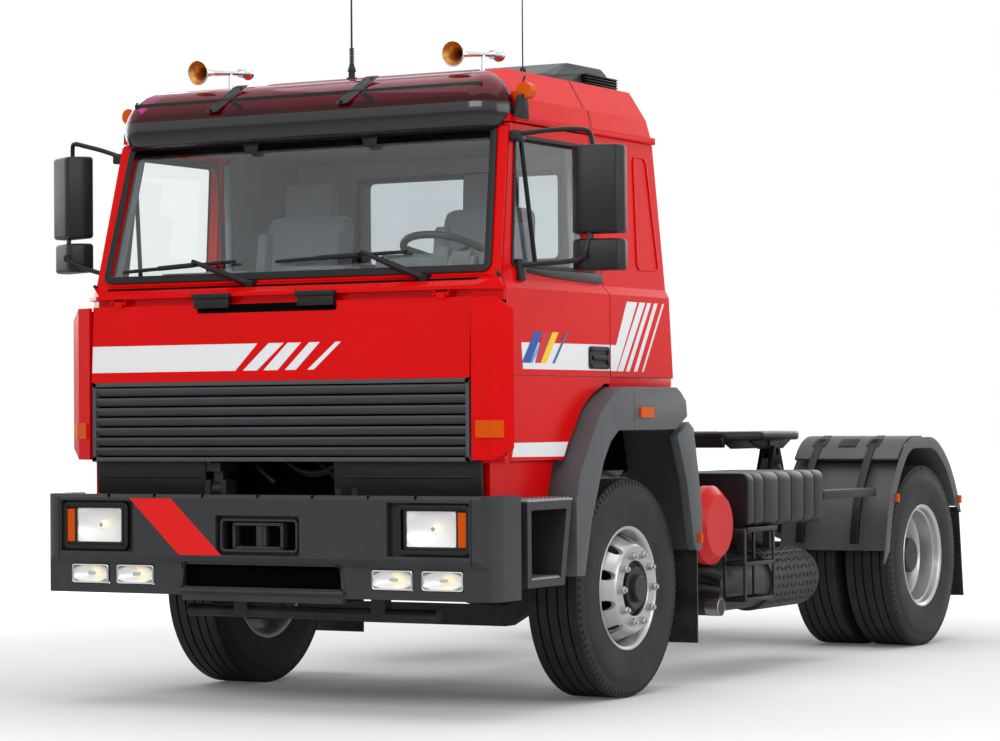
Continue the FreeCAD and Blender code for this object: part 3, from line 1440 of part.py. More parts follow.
arch_foot = block("ArchFoot", ("arch_inner", "arch_inner + 4 * arch_lip"), ("0", "arch_seam / 2"),
                  ("arch_top - arch_wall / 2", "cab_floor_back"))
keep("cab_arches", pair("CabArches", joined("CabArch", arch_lip, arch_cover, arch_foot)), FRONT_AXLE)

# The rear legs of the front arches, which stay on the frame when the cab tilts.
sizes({
    "tail_top": 588,
    "tail_top_height": 1299,
    "tail_bend": 638,
    "tail_bend_height": 1094,
    "tail_foot": 675,
    "tail_knee_height": 888,
    "tail_low": 689,
    "tail_inner_foot": 613,
    "tail_inner_low": 585,
    "tail_inner_low_height": 717,
    "tail_inner_knee": 510,
    "tail_inner_knee_height": 1035,
    "tail_wall": 22,
    "tail_arm_low": 900,
    "tail_arm_high": 960,
})
tail_back = [
    ("arch_end + 2 * moving_gap", "arch_end_height - 4 * moving_gap"),
    ("tail_top", "tail_top_height"),
    ("tail_bend", "tail_bend_height"),
    ("tail_foot", "tail_knee_height"),
    ("tail_foot", "tail_low"),
]
tail_front = [
    ("tail_inner_foot", "tail_low"),
    ("tail_inner_low", "tail_inner_low_height"),
    ("tail_inner_knee", "tail_inner_knee_height"),
    ("arch_seam + 2 * moving_gap", "arch_seam_height - 5 * moving_gap"),
]
tail_under = [
    ("tail_foot - tail_wall", "tail_low"),
    ("tail_foot - tail_wall", "tail_knee_height"),
    ("tail_bend - tail_wall", "tail_bend_height"),
    ("tail_top - tail_wall", "tail_top_height - tail_wall"),
    ("arch_end", "arch_end_height - 4 * moving_gap - tail_wall"),
]
tail_lip = prism("TailLip", "YZ", tail_back + tail_front, "body_half - arch_lip", "body_half")
tail_cover = prism("TailCover", "YZ", tail_back + tail_under, "arch_inner", "body_half - arch_lip")
tail_arm = block("ArchTailArm", ("rail_half", "arch_inner + tail_wall"), ("tail_foot - 2 * tail_wall", "tail_foot"),
                 ("tail_arm_low", "tail_arm_high"))
keep("arch_tails", pair("ArchTails", joined("ArchTail", tail_lip, tail_cover, tail_arm)), FRONT_AXLE)

# Steps below the doors: a box open to the outside, with a low tread.
sizes({
    "step_front": 1140,
    "step_rear": 715,
    "step_rear_low": 790,
    "step_low": 588,
    "step_wall": 36,
    "step_inner": 1010,
})
step_outline = [
    ("0 - step_front", "step_low"),
    ("0 - step_rear_low", "step_low"),
    ("0 - step_rear", "well_low"),
    ("0 - step_front", "well_low"),
]
step_opening = [
    ("0 - step_front + step_wall", "step_low + step_wall"),
    ("0 - step_rear_low - step_wall", "step_low + step_wall"),
    ("0 - step_rear - 1.4 * step_wall", "well_low - step_wall"),
    ("0 - step_front + step_wall", "well_low - step_wall"),
]
step_box = less("CabStep", prism("StepBox", "YZ", step_outline, "step_inner", "body_half"),
                prism("StepOpening", "YZ", step_opening, "step_inner + step_wall", "body_half + step_wall"))
keep("cab_steps", pair("CabSteps", step_box), FRONT_AXLE)

# Dashboard with the steering column and wheel.
sizes({
    "dash_half": 1000,
    "dash_low": 1660,
    "dash_knee": 1780,
    "dash_high": 1990,
    "dash_depth": 380,
    "column_radius": 35,
    "wheel_place": 540,
    "wheel_radius": 225,
    "wheel_rim": 26,
    "wheel_back": 790,
    "wheel_height": 2190,
    "wheel_tilt": 35,
})
dash_outline = [
    ("0 - cab_front + cab_front_wall", "dash_low"),
    ("0 - cab_front + dash_depth - floor_wall * 2", "dash_low"),
    ("0 - cab_front + dash_depth", "dash_knee"),
    ("0 - cab_front + dash_depth", "dash_high - 2 * floor_wall"),
    ("0 - cab_front + dash_depth - floor_wall", "dash_high"),
    ("0 - screen_foot + cab_front_wall + arch_clear", "dash_high"),
    ("0 - cab_front + cab_front_wall", "waist_high - floor_wall"),
]
dash = prism("Dash", "YZ", dash_outline, "0 - dash_half", "dash_half")
wheel_outline = [
    ("0", "wheel_radius"),
    ("wheel_rim", "wheel_radius"),
    ("wheel_rim", "wheel_radius - wheel_rim"),
    ("0", "wheel_radius - wheel_rim"),
]
steering_wheel = turned("WheelRim", wheel_outline, "Z")
steering_wheel.Placement.Rotation = Rotation(Vector(1, 0, 0), -size("wheel_tilt"))
place(steering_wheel, "wheel_place", "0 - wheel_back", "wheel_height")
spoke = block("Spoke", ("0 - wheel_radius + wheel_rim / 2", "wheel_radius - wheel_rim / 2"),
              ("0 - wheel_rim", "wheel_rim"), ("0", "wheel_rim / 2"))
spoke.Placement.Rotation = steering_wheel.Placement.Rotation
place(spoke, "wheel_place - wheel_radius + wheel_rim / 2", "0 - wheel_back", "wheel_height")
column = rod("Column", "Z", "column_radius", ("0", "0", "0"), "wheel_radius * 2")
column.Placement.Rotation = Rotation(Vector(1, 0, 0), 180 - size("wheel_tilt"))
place(column, "wheel_place", "0 - wheel_back", "wheel_height")
keep("dashboard", joined("Dashboard", dash, steering_wheel, spoke, column), FRONT_AXLE)

# Seats and bunk.
sizes({
    "seat_place": 520,
    "seat_half": 250,
    "seat_front": 690,
    "seat_rear": 170,
    "seat_base": 1650,
    "seat_high": 1960,
    "seat_back": 120,
    "seat_back_high": 2380,
    "seat_lean": 60,
    "headrest_half": 130,
    "headrest_high": 2560,
    "bunk_front": 20,
    "bunk_half": 1040,
    "bunk_high": 1950,
})
floor_top = "cab_floor_back + floor_wall"
seat_outline = [
    ("0 - seat_front / 2", floor_top),
    ("0 - seat_rear", floor_top),
    ("0 - seat_rear + seat_lean / 2", "seat_high"),
    ("0 - seat_rear + seat_lean * 1.5", "seat_back_high"),
    ("0 - seat_rear + seat_lean * 1.5 - seat_back", "seat_back_high"),
    ("0 - seat_rear - seat_back", "seat_high"),
    ("0 - seat_front", "seat_high"),
    ("0 - seat_front", "seat_high - seat_back"),
    ("0 - seat_front / 2", "seat_base"),
]
seat = prism("SeatForm", "YZ", seat_outline, "seat_place - seat_half", "seat_place + seat_half")
headrest = block("Headrest", ("seat_place - headrest_half", "seat_place + headrest_half"),
                 ("0 - seat_rear + seat_lean * 1.5 - seat_back", "0 - seat_rear + seat_lean * 1.5"),
                 ("seat_back_high", "headrest_high"))
seat_left = joined("SeatLeft", seat, headrest)
bunk = block("Bunk", ("0 - bunk_half", "bunk_half"),
             ("bunk_front", "cab_back_top - cab_front_wall"), (floor_top, "bunk_high"))
keep("seats", grouped("Seats", seat_left, mirrored("SeatRight", seat_left), bunk), FRONT_AXLE)

# Wipers on the windscreen's foot.
sizes({
    "wiper_back": 1222,
    "wiper_wall": 10,
    "wiper_width": 22,
    "wiper_pivot": 14,
    "wiper_foot": 1992,
})


def wiper(name, pivot, elbow, tip_low, tip_high):
    """An arm from its pivot up to an elbow, and a blade, all in one flat layer."""
    arm_outline = [
        (pivot, "wiper_foot"),
        (pivot, "wiper_foot + wiper_width"),
        (elbow, "wiper_foot + 7 * wiper_width"),
        (elbow, "wiper_foot + 6 * wiper_width"),
    ]
    blade_outline = [
        (tip_low, "wiper_foot + 4 * wiper_width"),
        (tip_low, "wiper_foot + 3 * wiper_width"),
        (tip_high, "wiper_foot + 6 * wiper_width"),
        (tip_high, "wiper_foot + 7 * wiper_width"),
    ]
    low = "0 - wiper_back"
    high = "0 - wiper_back + wiper_wall"
    stub = rod(name + "Pivot", "Y", "wiper_pivot", (pivot, low, "wiper_foot + wiper_width / 2"),
               "wiper_back - screen_foot")
    return joined(name, prism(name + "Arm", "XZ", arm_outline, low, high),
                  prism(name + "Blade", "XZ", blade_outline, low, high), less(name + "Stub", stub, hull))


sizes({
    "wiper_right_pivot": 196,
    "wiper_right_elbow": 588,
    "wiper_right_tip": 997,
    "wiper_right_end": 346,
    "wiper_left_pivot": 777,
    "wiper_left_elbow": 261,
    "wiper_left_tip": 118,
    "wiper_left_end": 606,
})
wipers = grouped(
    "Wipers",
    wiper("WiperRight", "0 - wiper_right_pivot", "0 - wiper_right_elbow", "0 - wiper_right_tip",
          "0 - wiper_right_end"),
    wiper("WiperLeft", "wiper_left_pivot", "wiper_left_elbow", "0 - wiper_left_tip", "wiper_left_end"),
)
keep("wipers", wipers, FRONT_AXLE)

# Doors: hollowless panels as thick as the whole door, with the window cut through.
sizes({
    "mirror_place": 1440,
    "mirror_half": 118,
    "mirror_front": 955,
    "mirror_depth": 125,
    "mirror_low": 2205,
    "mirror_high": 2640,
    "wide_low": 2040,
    "wide_high": 2195,
    "mirror_arm": 12,
    "mirror_plane": 962,
    "mirror_arm_high": 2670,
    "mirror_arm_low": 2005,
})
door_window = prism(
    "DoorWindow", "YZ",
    [("0 - glass_front", "glass_low"), ("0 - glass_rear", "glass_low"), ("0 - glass_rear", "glass_high"),
     ("0 - glass_front_top", "glass_high")],
    "0", "cab_half")
door_solid = shared("DoorSolid", prism("DoorSide", "YZ", door_outline("0"), "0", "cab_half"),
                    skin_band("DoorBand", "door_wall"))
door = keep("door_left", joined("DoorLeft", less("DoorPanel", door_solid, door_window), *hinge_tabs), FRONT_AXLE)
keep("door_right", mirrored("DoorRight", door))

pane_low_depth = "door_wall / 2"
pane_band_outline = [
    ("cab_half_waist - " + pane_low_depth, "waist_high"),
    ("cab_half_top - " + pane_low_depth, "cab_eaves"),
    ("cab_half_top - " + pane_low_depth + " - glass_wall", "cab_eaves"),
    ("cab_half_waist - " + pane_low_depth + " - glass_wall", "waist_high"),
]
door_pane = shared(
    "DoorGlassLeft",
    prism("DoorPane", "YZ",
          [("0 - glass_front", "glass_low"), ("0 - glass_rear", "glass_low"), ("0 - glass_rear", "glass_high"),
           ("0 - glass_front_top", "glass_high")], "0", "cab_half"),
    prism("DoorPaneBand", "XZ", pane_band_outline, "0 - cab_front", "cab_back"),
)
door_glass = keep("door_glass_left", door_pane, FRONT_AXLE)
keep("door_glass_right", mirrored("DoorGlassRight", door_glass))

# Mirrors: a tall head and a wide-angle head on one bent tube from the door.
arm_route = [
    ("cab_half_top - 2 * mirror_arm", "mirror_arm_high"),
    ("mirror_place", "mirror_arm_high"),
    ("mirror_place", "mirror_arm_low"),
    ("cab_half_waist - 2 * mirror_arm", "mirror_arm_low"),
]
mirror_arm_tube = bent_tube("MirrorArm", "XZ", "mirror_plane", arm_route, "mirror_arm")
mirror_span = ("mirror_place - mirror_half", "mirror_place + mirror_half")
mirror_whole = joined(
    "MirrorLeft",
    mirror_arm_tube,
    block("MirrorHead", mirror_span, ("0 - mirror_front", "0 - mirror_front + mirror_depth"),
          ("mirror_low", "mirror_high")),
    block("WideHead", mirror_span, ("0 - mirror_front", "0 - mirror_front + mirror_depth"),
          ("wide_low", "wide_high")),
)
mirror_open = less("MirrorLeftSeated", mirror_whole, skin_band("MirrorSeat", "door_wall"))
mirror_left = keep("mirror_left", mirror_open, FRONT_AXLE)
keep("mirror_right", mirrored("MirrorRight", mirror_left))

# Front hatch: the painted panel above and the grille below, hinged under the windscreen.
sizes({
    "slot_left": 336,
    "slot_right": 437,
    "slot_low": 1868,
    "slot_high": 1898,
    "slot_depth": 12,
    "grille_half": 1050,
    "grille_low": 1162,
    "grille_depth": 40,
    "grille_frame": 32,
    "slat_count": 7,
    "slat_height": 22,
    "slat_depth": 26,
})
hatch_outline = [
    ("0 - hatch_face", "hatch_low"),
    ("0 - hatch_top_face", "hatch_high"),
    ("0 - hatch_back", "hatch_high"),
    ("0 - hatch_back", "hatch_low"),
]
hatch_slot = block("HatchSlot", ("0 - slot_right", "slot_left"),
                   ("0 - hatch_face", "0 - hatch_top_face"),
                   ("slot_low", "slot_high"))
hatch_panel = less("HatchPanel", prism("HatchForm", "YZ", hatch_outline, "0 - hatch_half", "hatch_half"), hatch_slot)
hatch_lug = block("HatchLug", ("hatch_ear_place - hatch_lug_half", "hatch_ear_place + hatch_lug_half"),
                  ("0 - hatch_top_face - hatch_lug_reach", "0 - hatch_top_face + hatch_lug_reach"),
                  ("hatch_high - hatch_lug_reach", "hatch_pin_height + hatch_lug_reach"))
hatch_pin_rod = rod("HatchPinRod", "X", "hatch_pin",
                    ("hatch_ear_place - hatch_lug_half - moving_gap - hatch_ear", "0 - hatch_top_face",
                     "hatch_pin_height"), "2 * hatch_lug_half + 2 * moving_gap + 2 * hatch_ear")
lug_pair = joined("HatchLugPin", hatch_lug, hatch_pin_rod)
keep("front_panel", joined("FrontPanel", hatch_panel, lug_pair, mirrored("HatchLugPinRight", lug_pair)), FRONT_AXLE)

grille_face = "0 - hatch_face"
grille_back = "0 - hatch_face + grille_depth"
grille_pieces = [less(
    "GrilleFrame",
    block("GrilleOuter", ("0 - grille_half", "grille_half"), (grille_face, grille_back), ("grille_low", "hatch_low")),
    block("GrilleInner", ("0 - grille_half + grille_frame", "grille_half - grille_frame"),
          (grille_face + " - grille_depth", grille_back + " + grille_depth"),
          ("grille_low + grille_frame", "hatch_low - grille_frame")))]
slats = int(size("slat_count"))
slat_pitch = "(hatch_low - grille_low - 2 * grille_frame) / (slat_count + 1)"
for number in range(slats):
    middle = "grille_low + grille_frame + " + str(number + 1) + " * " + slat_pitch
    grille_pieces.append(block("Slat" + str(number), ("0 - grille_half", "grille_half"),
                               (grille_face + " + moving_gap", grille_face + " + moving_gap + slat_depth"),
                               (middle + " - slat_height / 2", middle + " + slat_height / 2")))
keep("grille", joined("Grille", *grille_pieces), FRONT_AXLE)

# Amber lamps on the cab: in the corner panels, on the arches and on the roof's corners.
sizes({
    "corner_lamp_inner": 1085,
    "corner_lamp_inner_front": 1308,
    "corner_lamp_outer": 1195,
    "corner_lamp_outer_front": 1250,
    "corner_lamp_low": 1270,
    "corner_lamp_high": 1348,
    "corner_lamp_depth": 12,
    "arch_lamp_front": 14,
    "arch_lamp_rear": 124,
    "arch_lamp_low": 1355,
    "arch_lamp_high": 1405,
    "arch_lamp_depth": 12,
    "roof_lamp_place": 1120,
    "roof_lamp_back": 915,
    "roof_lamp_height": 2866,
    "roof_lamp_radius": 38,
    "roof_lamp_length": 60,
})
corner_lamp_plan = [
    ("corner_lamp_inner", "0 - corner_lamp_inner_front"),
    ("corner_lamp_inner", "0 - corner_lamp_inner_front - corner_lamp_depth"),
    ("vane_crease", "0 - vane_crease_front - corner_lamp_depth"),
    ("corner_lamp_outer", "0 - corner_lamp_outer_front - corner_lamp_depth"),
    ("corner_lamp_outer", "0 - corner_lamp_outer_front"),
    ("vane_crease", "0 - vane_crease_front"),
]
corner_lamp_whole = prism("CornerLampWhole", "XY", corner_lamp_plan, "corner_lamp_low", "corner_lamp_high")
corner_lamp = less("CornerLamp", corner_lamp_whole, vane)
arch_lamp = block("ArchLamp", ("body_half", "body_half + arch_lamp_depth"), ("0 - arch_lamp_front", "arch_lamp_rear"),
                  ("arch_lamp_low", "arch_lamp_high"))
roof_lamp = joined(
    "RoofLamp",
    rod("RoofLampLens", "Y", "roof_lamp_radius", ("roof_lamp_place", "0 - roof_lamp_back", "roof_lamp_height"),
        "roof_lamp_length"),
    block("RoofLampFoot", ("roof_kink_half - roof_lamp_radius", "roof_lamp_place"),
          ("0 - roof_lamp_back + roof_lamp_length / 3", "0 - roof_lamp_back + roof_lamp_length"),
          ("roof_kink - roof_lamp_radius", "roof_lamp_height")),
)
roof_lamp_seated = less("RoofLampSeated", roof_lamp, roof_hull)
keep("cab_lamps", pair("CabLamps", grouped("CabLampsLeft", corner_lamp, arch_lamp, roof_lamp_seated)), FRONT_AXLE)

# Rear fenders: a faceted cover over each pair of rear wheels, carried by an arm on the rail.
sizes({
    "fender_inner": 560,
    "fender_wall": 14,
    "fender_side": 60,
    "fender_front": 635,
    "fender_front_low": 570,
    "fender_shoulder": 360,
    "fender_shoulder_height": 1120,
    "fender_crown_front": 232,
    "fender_crown": 1235,
    "fender_crown_rear": 166,
    "fender_rear_shoulder": 375,
    "fender_rear_shoulder_height": 1105,
    "fender_rear": 580,
    "fender_rear_low": 800,
    "fender_arm": 40,
    "fender_drop": 45,
    "fender_post": 500,
})
fender_outer = [
    ("0 - fender_front", "fender_front_low"),
    ("0 - fender_shoulder", "fender_shoulder_height"),
    ("0 - fender_crown_front", "fender_crown"),
    ("fender_crown_rear", "fender_crown"),
    ("fender_rear_shoulder", "fender_rear_shoulder_height"),
    ("fender_rear", "fender_rear_low"),
]
fender_under = [
    ("fender_rear - fender_wall", "fender_rear_low"),
    ("fender_rear_shoulder - fender_wall", "fender_rear_shoulder_height - fender_wall"),
    ("fender_crown_rear - fender_wall / 2", "fender_crown - fender_wall"),
    ("0 - fender_crown_front + fender_wall / 2", "fender_crown - fender_wall"),
    ("0 - fender_shoulder + fender_wall", "fender_shoulder_height - fender_wall"),
    ("0 - fender_front + fender_wall", "fender_front_low"),
]
fender_deep = [
    ("fender_rear - fender_side", "fender_rear_low"),
    ("fender_rear_shoulder - fender_side", "fender_rear_shoulder_height - fender_side / 2"),
    ("fender_crown_rear - fender_side / 2", "fender_crown - fender_side"),
    ("0 - fender_crown_front + fender_side / 2", "fender_crown - fender_side"),
    ("0 - fender_shoulder + fender_side", "fender_shoulder_height - fender_side / 2"),
    ("0 - fender_front + fender_side", "fender_front_low"),
]
fender_sheet = prism("FenderSheet", "YZ", fender_outer + fender_under, "fender_inner", "body_half")
fender_lip = prism("FenderLip", "YZ", fender_outer + fender_deep, "body_half - fender_wall", "body_half")
fender_arms = []
arm_high = "fender_crown - fender_wall - fender_drop"
arm_low = arm_high + " - fender_arm"
for name, where in [("Front", "0 - fender_crown_front"), ("Rear", "fender_crown_rear")]:
    along = (where + " - fender_arm / 2", where + " + fender_arm / 2")
    fender_arms.append(block("FenderArm" + name, ("fender_post", "body_half - fender_side"), along,
                             (arm_low, arm_high)))
    fender_arms.append(block("FenderPost" + name, ("fender_post", "fender_post + fender_arm"), along,
                             ("rail_top - 2 * fender_arm", arm_high)))
    fender_arms.append(block("FenderFoot" + name, ("rail_half", "fender_post"), along,
                             ("rail_top - 2 * fender_arm", "rail_top - fender_arm")))
    fender_arms.append(block("FenderSaddle" + name, ("fender_inner + 2 * fender_arm", "fender_inner + 4 * fender_arm"),
                             along, (arm_high, "fender_crown - fender_wall / 2")))
keep("rear_fenders", pair("RearFenders", joined("RearFender", fender_sheet, fender_lip, *fender_arms)), REAR_AXLE)

# Mud flaps: one behind each front arch, and one at the end of each rear fender.
sizes({
    "flap_wall": 10,
    "front_flap_inner": 760,
    "front_flap_outer": 1220,
    "front_flap_low": 220,
    "front_flap_high": 760,
    "rear_flap_inner": 600,
    "rear_flap_outer": 1240,
    "rear_flap_low": 260,
    "rear_flap_lean": 70,
})
front_flap = block("FrontFlap", ("front_flap_inner", "front_flap_outer"),
                   ("tail_foot", "tail_foot + flap_wall"),
                   ("front_flap_low", "front_flap_high"))
rear_flap_outline = [
    ("wheelbase + fender_rear - fender_wall", "fender_rear_low"),
    ("wheelbase + fender_rear", "fender_rear_low"),
    ("wheelbase + fender_rear + rear_flap_lean", "rear_flap_low"),
    ("wheelbase + fender_rear + rear_flap_lean - fender_wall", "rear_flap_low"),
]
rear_flap = prism("RearFlap", "YZ", rear_flap_outline, "rear_flap_inner", "rear_flap_outer")
keep("mud_flaps", pair("MudFlaps", grouped("MudFlapsLeft", front_flap, rear_flap)), FRONT_AXLE)

# Fuel tanks beside the rails, with pressed ribs, on arms from the rails.
sizes({
    "fuel_front": 1480,
    "fuel_rear": 2340,
    "fuel_inner": 600,
    "fuel_outer": 1200,
    "fuel_low": 775,
    "fuel_high": 1062,
    "fuel_round": 45,
    "fuel_arm": 40,
})
fuel_outline = [
    ("fuel_inner", "fuel_low"),
    ("fuel_outer", "fuel_low"),
    ("fuel_outer", "fuel_high"),
    ("fuel_inner", "fuel_high"),
]
fuel_body = prism("FuelBody", "XZ", fuel_outline, "fuel_front", "fuel_rear", {"fuel_round": [0, 1, 2, 3]})
fuel_arms = []
for number, where in enumerate(["fuel_front + 2 * fuel_arm", "fuel_rear - 3 * fuel_arm"]):
    fuel_arms.append(block("FuelArm" + str(number), ("rail_half", "fuel_outer - 4 * fuel_arm"),
                           (where, where + " + fuel_arm"), ("fuel_low - fuel_arm", "fuel_low")))
    fuel_arms.append(block("FuelPost" + str(number), ("rail_half", "rail_half + fuel_arm"),
                           (where, where + " + fuel_arm"), ("fuel_low - fuel_arm", "rail_top - fuel_arm")))
keep("fuel_tanks", pair("FuelTanks", joined("FuelTank", fuel_body, *fuel_arms)), FRONT_AXLE)

# Air cleaner: a drum across the left side behind the front wheel.
sizes({
    "drum_place": 1045,
    "drum_height": 798,
    "drum_case": 203,
    "drum_start": 700,
    "drum_end": 1175,
    "drum_bevel": 45,
    "drum_neck": 60,
})
drum_outline = [
    ("drum_start", "0"),
    ("drum_start", "drum_case - drum_bevel / 3"),
    ("drum_end - 2 * drum_bevel", "drum_case - drum_bevel / 3"),
    ("drum_end - 2 * drum_bevel", "drum_case"),
    ("drum_end - drum_bevel", "drum_case"),
    ("drum_end", "drum_case - drum_bevel"),
    ("drum_end", "0"),
]
cleaner_case = turned("CleanerCase", drum_outline)
place(cleaner_case, "0", "drum_place", "drum_height")
cleaner_arm = rod("CleanerArm", "X", "drum_neck", ("rail_half", "drum_place", "drum_height + drum_neck"),
                  "drum_start - rail_half")
keep("air_cleaner", joined("AirCleaner", cleaner_case, cleaner_arm), FRONT_AXLE)

# Silencer under the left tank: a long can with a guard round its rear half, a hanger and
# the tail pipe, which turns out behind the front wheel.
sizes({
    "can_place": 900,
    "can_radius": 145,
    "can_height": 462,
    "can_front": 1320,
    "can_rear": 2580,
    "guard_front": 1950,
    "guard_rear": 2570,
    "guard_radius": 163,
    "pipe_radius": 45,
    "pipe_tip": 1130,
    "pipe_height": 370,
    "pipe_place": 1150,
})
can_outline = [
    ("can_front", "0"),
    ("can_front", "can_radius"),
    ("guard_front", "can_radius"),
    ("guard_front", "guard_radius"),
    ("guard_rear", "guard_radius"),
    ("guard_rear", "can_radius"),
    ("can_rear", "can_radius"),
    ("can_rear", "0"),
]
can = turned("SilencerCan", can_outline, "Y")
place(can, "can_place", "0", "can_height")
tail_pipe = bent_tube("TailPipe", "XY", "pipe_height",
                      [("can_place", "can_front"), ("can_place", "pipe_place"), ("pipe_tip", "pipe_place")],
                      "pipe_radius")
can_hangers = [block("CanHanger" + str(number), ("can_place - fuel_arm / 2", "can_place + fuel_arm / 2"),
                     (where, where + " + fuel_arm"), ("can_height", "fuel_low - fuel_arm"))
               for number, where in enumerate(["fuel_front + 2 * fuel_arm", "fuel_rear - 3 * fuel_arm"])]
keep("exhaust_silencer", joined("ExhaustSilencer", can, tail_pipe, *can_hangers), FRONT_AXLE)

# Side step: a flat-bar frame with two treads, hung from the left tank's front arm.
sizes({
    "side_step_front": 1290,
    "side_step_rear": 1665,
    "side_step_inner": 1075,
    "side_step_outer": 1205,
    "side_step_low": 385,
    "side_step_high": 770,
    "side_step_bar": 14,
    "side_step_tread": 28,
})
side_step_whole = block("SideStepOuter", ("side_step_inner", "side_step_outer"),
                        ("side_step_front", "side_step_rear"), ("side_step_low", "side_step_high"))
side_step_hole = block("SideStepHole", ("side_step_inner - fuel_arm", "side_step_outer + fuel_arm"),
                       ("side_step_front + side_step_bar", "side_step_rear - side_step_bar"),
                       ("side_step_low + side_step_tread", "side_step_high - side_step_tread"))
side_step_arm = block("SideStepArm", ("rail_half", "side_step_inner"),
                      ("side_step_front", "side_step_front + fuel_arm"), ("fuel_low - fuel_arm", "side_step_high"))
keep("side_step", joined("SideStep", less("SideStepFrame", side_step_whole, side_step_hole), side_step_arm),
     FRONT_AXLE)

# Lamps on the frame: amber flashers beside the headlamps, amber side lamps, and red tail lamps.
sizes({
    "side_lamp": 24,
    "side_lamp_reach": 18,
    "tail_lamp_half": 170,
    "tail_lamp_inner": 430,
    "tail_lamp_low": 800,
    "tail_lamp_high": 930,
    "tail_lamp_depth": 40,
})
flasher = block("Flasher", ("flasher_inner", "flasher_outer"),
                ("0 - bumper_face + recess_depth / 2", "0 - bumper_face + recess_depth / 2 + lamp_depth"),
                ("lamp_low + seat_gap", "lamp_high - seat_gap"))
tail_side_lamp = block("TailSideLamp", ("body_half", "body_half + side_lamp_reach"),
                       ("tail_foot - 2 * side_lamp", "tail_foot - side_lamp"),
                       ("tail_low + 1.5 * side_lamp", "tail_low + 3.5 * side_lamp"))
fender_lamps = []
for name, where, height in [("Front", "wheelbase - fender_front + 7 * side_lamp", "fender_front_low + 12 * side_lamp"),
                            ("Rear", "wheelbase + fender_rear - 2 * side_lamp", "fender_rear_low + side_lamp")]:
    fender_lamps.append(block("FenderLamp" + name, ("body_half", "body_half + side_lamp_reach"),
                              (where, where + " + side_lamp"), (height, height + " + 2 * side_lamp")))
keep("marker_lamps", pair("MarkerLamps", grouped("MarkerLampsLeft", flasher, tail_side_lamp, *fender_lamps)),
     FRONT_AXLE)
tail_lamp = block("TailLamp", ("tail_lamp_inner - tail_lamp_half", "tail_lamp_inner + tail_lamp_half"),
                  ("wheelbase + rail_tail", "wheelbase + rear_overhang"), ("tail_lamp_low", "tail_lamp_high"))
keep("tail_lamps", pair("TailLamps", tail_lamp), FRONT_AXLE)

# Fifth wheel: a cross plate with two stands on the frame, and the coupling plate that tips
# on the pins between them, with its throat open to the rear.
sizes({
    "coupling_place": 315,
    "coupling_half": 475,
    "coupling_front": 460,
    "coupling_rear": 470,
    "coupling_wall": 42,
    "coupling_corner": 130,
    "coupling_skirt": 60,
    "throat_half": 140,
    "kingpin_bore": 25.6,
    "throat_neck": 27,
    "stand_wall": 26,
    "stand_gap": 7,
    "stand_place": 395,
    "stand_half": 110,
    "coupling_pin": 25,
    "coupling_pin_drop": 125,
    "base_plate": 16,
    "base_half": 310,
    "base_reach": 30,
})
pin_height = "plate_top - coupling_pin_drop"
base_top = "rail_top + base_plate"
base_pieces = [block("BasePlate", ("0 - rail_half - base_reach", "rail_half + base_reach"),
                     ("0 - base_half", "base_half"), ("rail_top", base_top))]
stand_outline = [
    ("0 - stand_half", base_top),
    ("stand_half", base_top),
    ("stand_half / 3", pin_height + " + coupling_pin * 1.5"),
    ("0 - stand_half / 3", pin_height + " + coupling_pin * 1.5"),
]
stands = []
for name, low in [("Outer", "stand_place + stand_wall / 2 + stand_gap"),
                  ("Inner", "stand_place - 1.5 * stand_wall - stand_gap")]:
    stands.append(prism("Stand" + name, "YZ", stand_outline, low, low + " + stand_wall"))
stand_bore = rod("StandBore", "X", "coupling_pin + seat_gap", ("0", "0", pin_height), "coupling_half")
stand_left = less("StandsLeft", grouped("StandPair", *stands), stand_bore)
base = joined("FifthWheelBase", *base_pieces, stand_left, mirrored("StandsRight", stand_left))
keep("fifth_wheel_base", base, REAR_AXLE + " - coupling_place")

plate_plan = [
    ("0 - coupling_half", "0 - coupling_front + coupling_corner"),
    ("0 - coupling_half + coupling_corner", "0 - coupling_front"),
    ("coupling_half - coupling_corner", "0 - coupling_front"),
    ("coupling_half", "0 - coupling_front + coupling_corner"),
    ("coupling_half", "coupling_corner"),
    ("coupling_half - coupling_corner", "coupling_rear"),
    ("throat_half", "coupling_rear"),
    ("throat_neck", "coupling_corner / 2"),
    ("0 - throat_neck", "coupling_corner / 2"),
    ("0 - throat_half", "coupling_rear"),
    ("0 - coupling_half + coupling_corner", "coupling_rear"),
    ("0 - coupling_half", "coupling_corner"),
]
plate_body = prism("CouplingPlate", "XY", plate_plan, "plate_top - coupling_wall", "plate_top")
jaw_hole = rod("JawHole", "Z", "kingpin_bore", ("0", "0", "plate_top - 2 * coupling_wall"), "4 * coupling_wall")
plate_lugs = []
for name, sign in [("Left", ""), ("Right", "0 - ")]:
    middle = sign + "stand_place"
    plate_lugs.append(block("PlateLug" + name, (middle + " - stand_wall / 2", middle + " + stand_wall / 2"),
                            ("0 - 2 * coupling_pin", "2 * coupling_pin"),
                            (pin_height + " - 1.5 * coupling_pin", "plate_top - coupling_wall")))
    plate_lugs.append(rod("PlatePin" + name, "X", "coupling_pin",
                          (middle + " - 1.5 * stand_wall - stand_gap", "0", pin_height),
                          "3 * stand_wall + 2 * stand_gap"))
plate = joined("FifthWheelPlate", less("CouplingPlateOpen", plate_body, jaw_hole), *plate_lugs)
keep("fifth_wheel_plate", plate, REAR_AXLE + " - coupling_place")

doc.recompute()

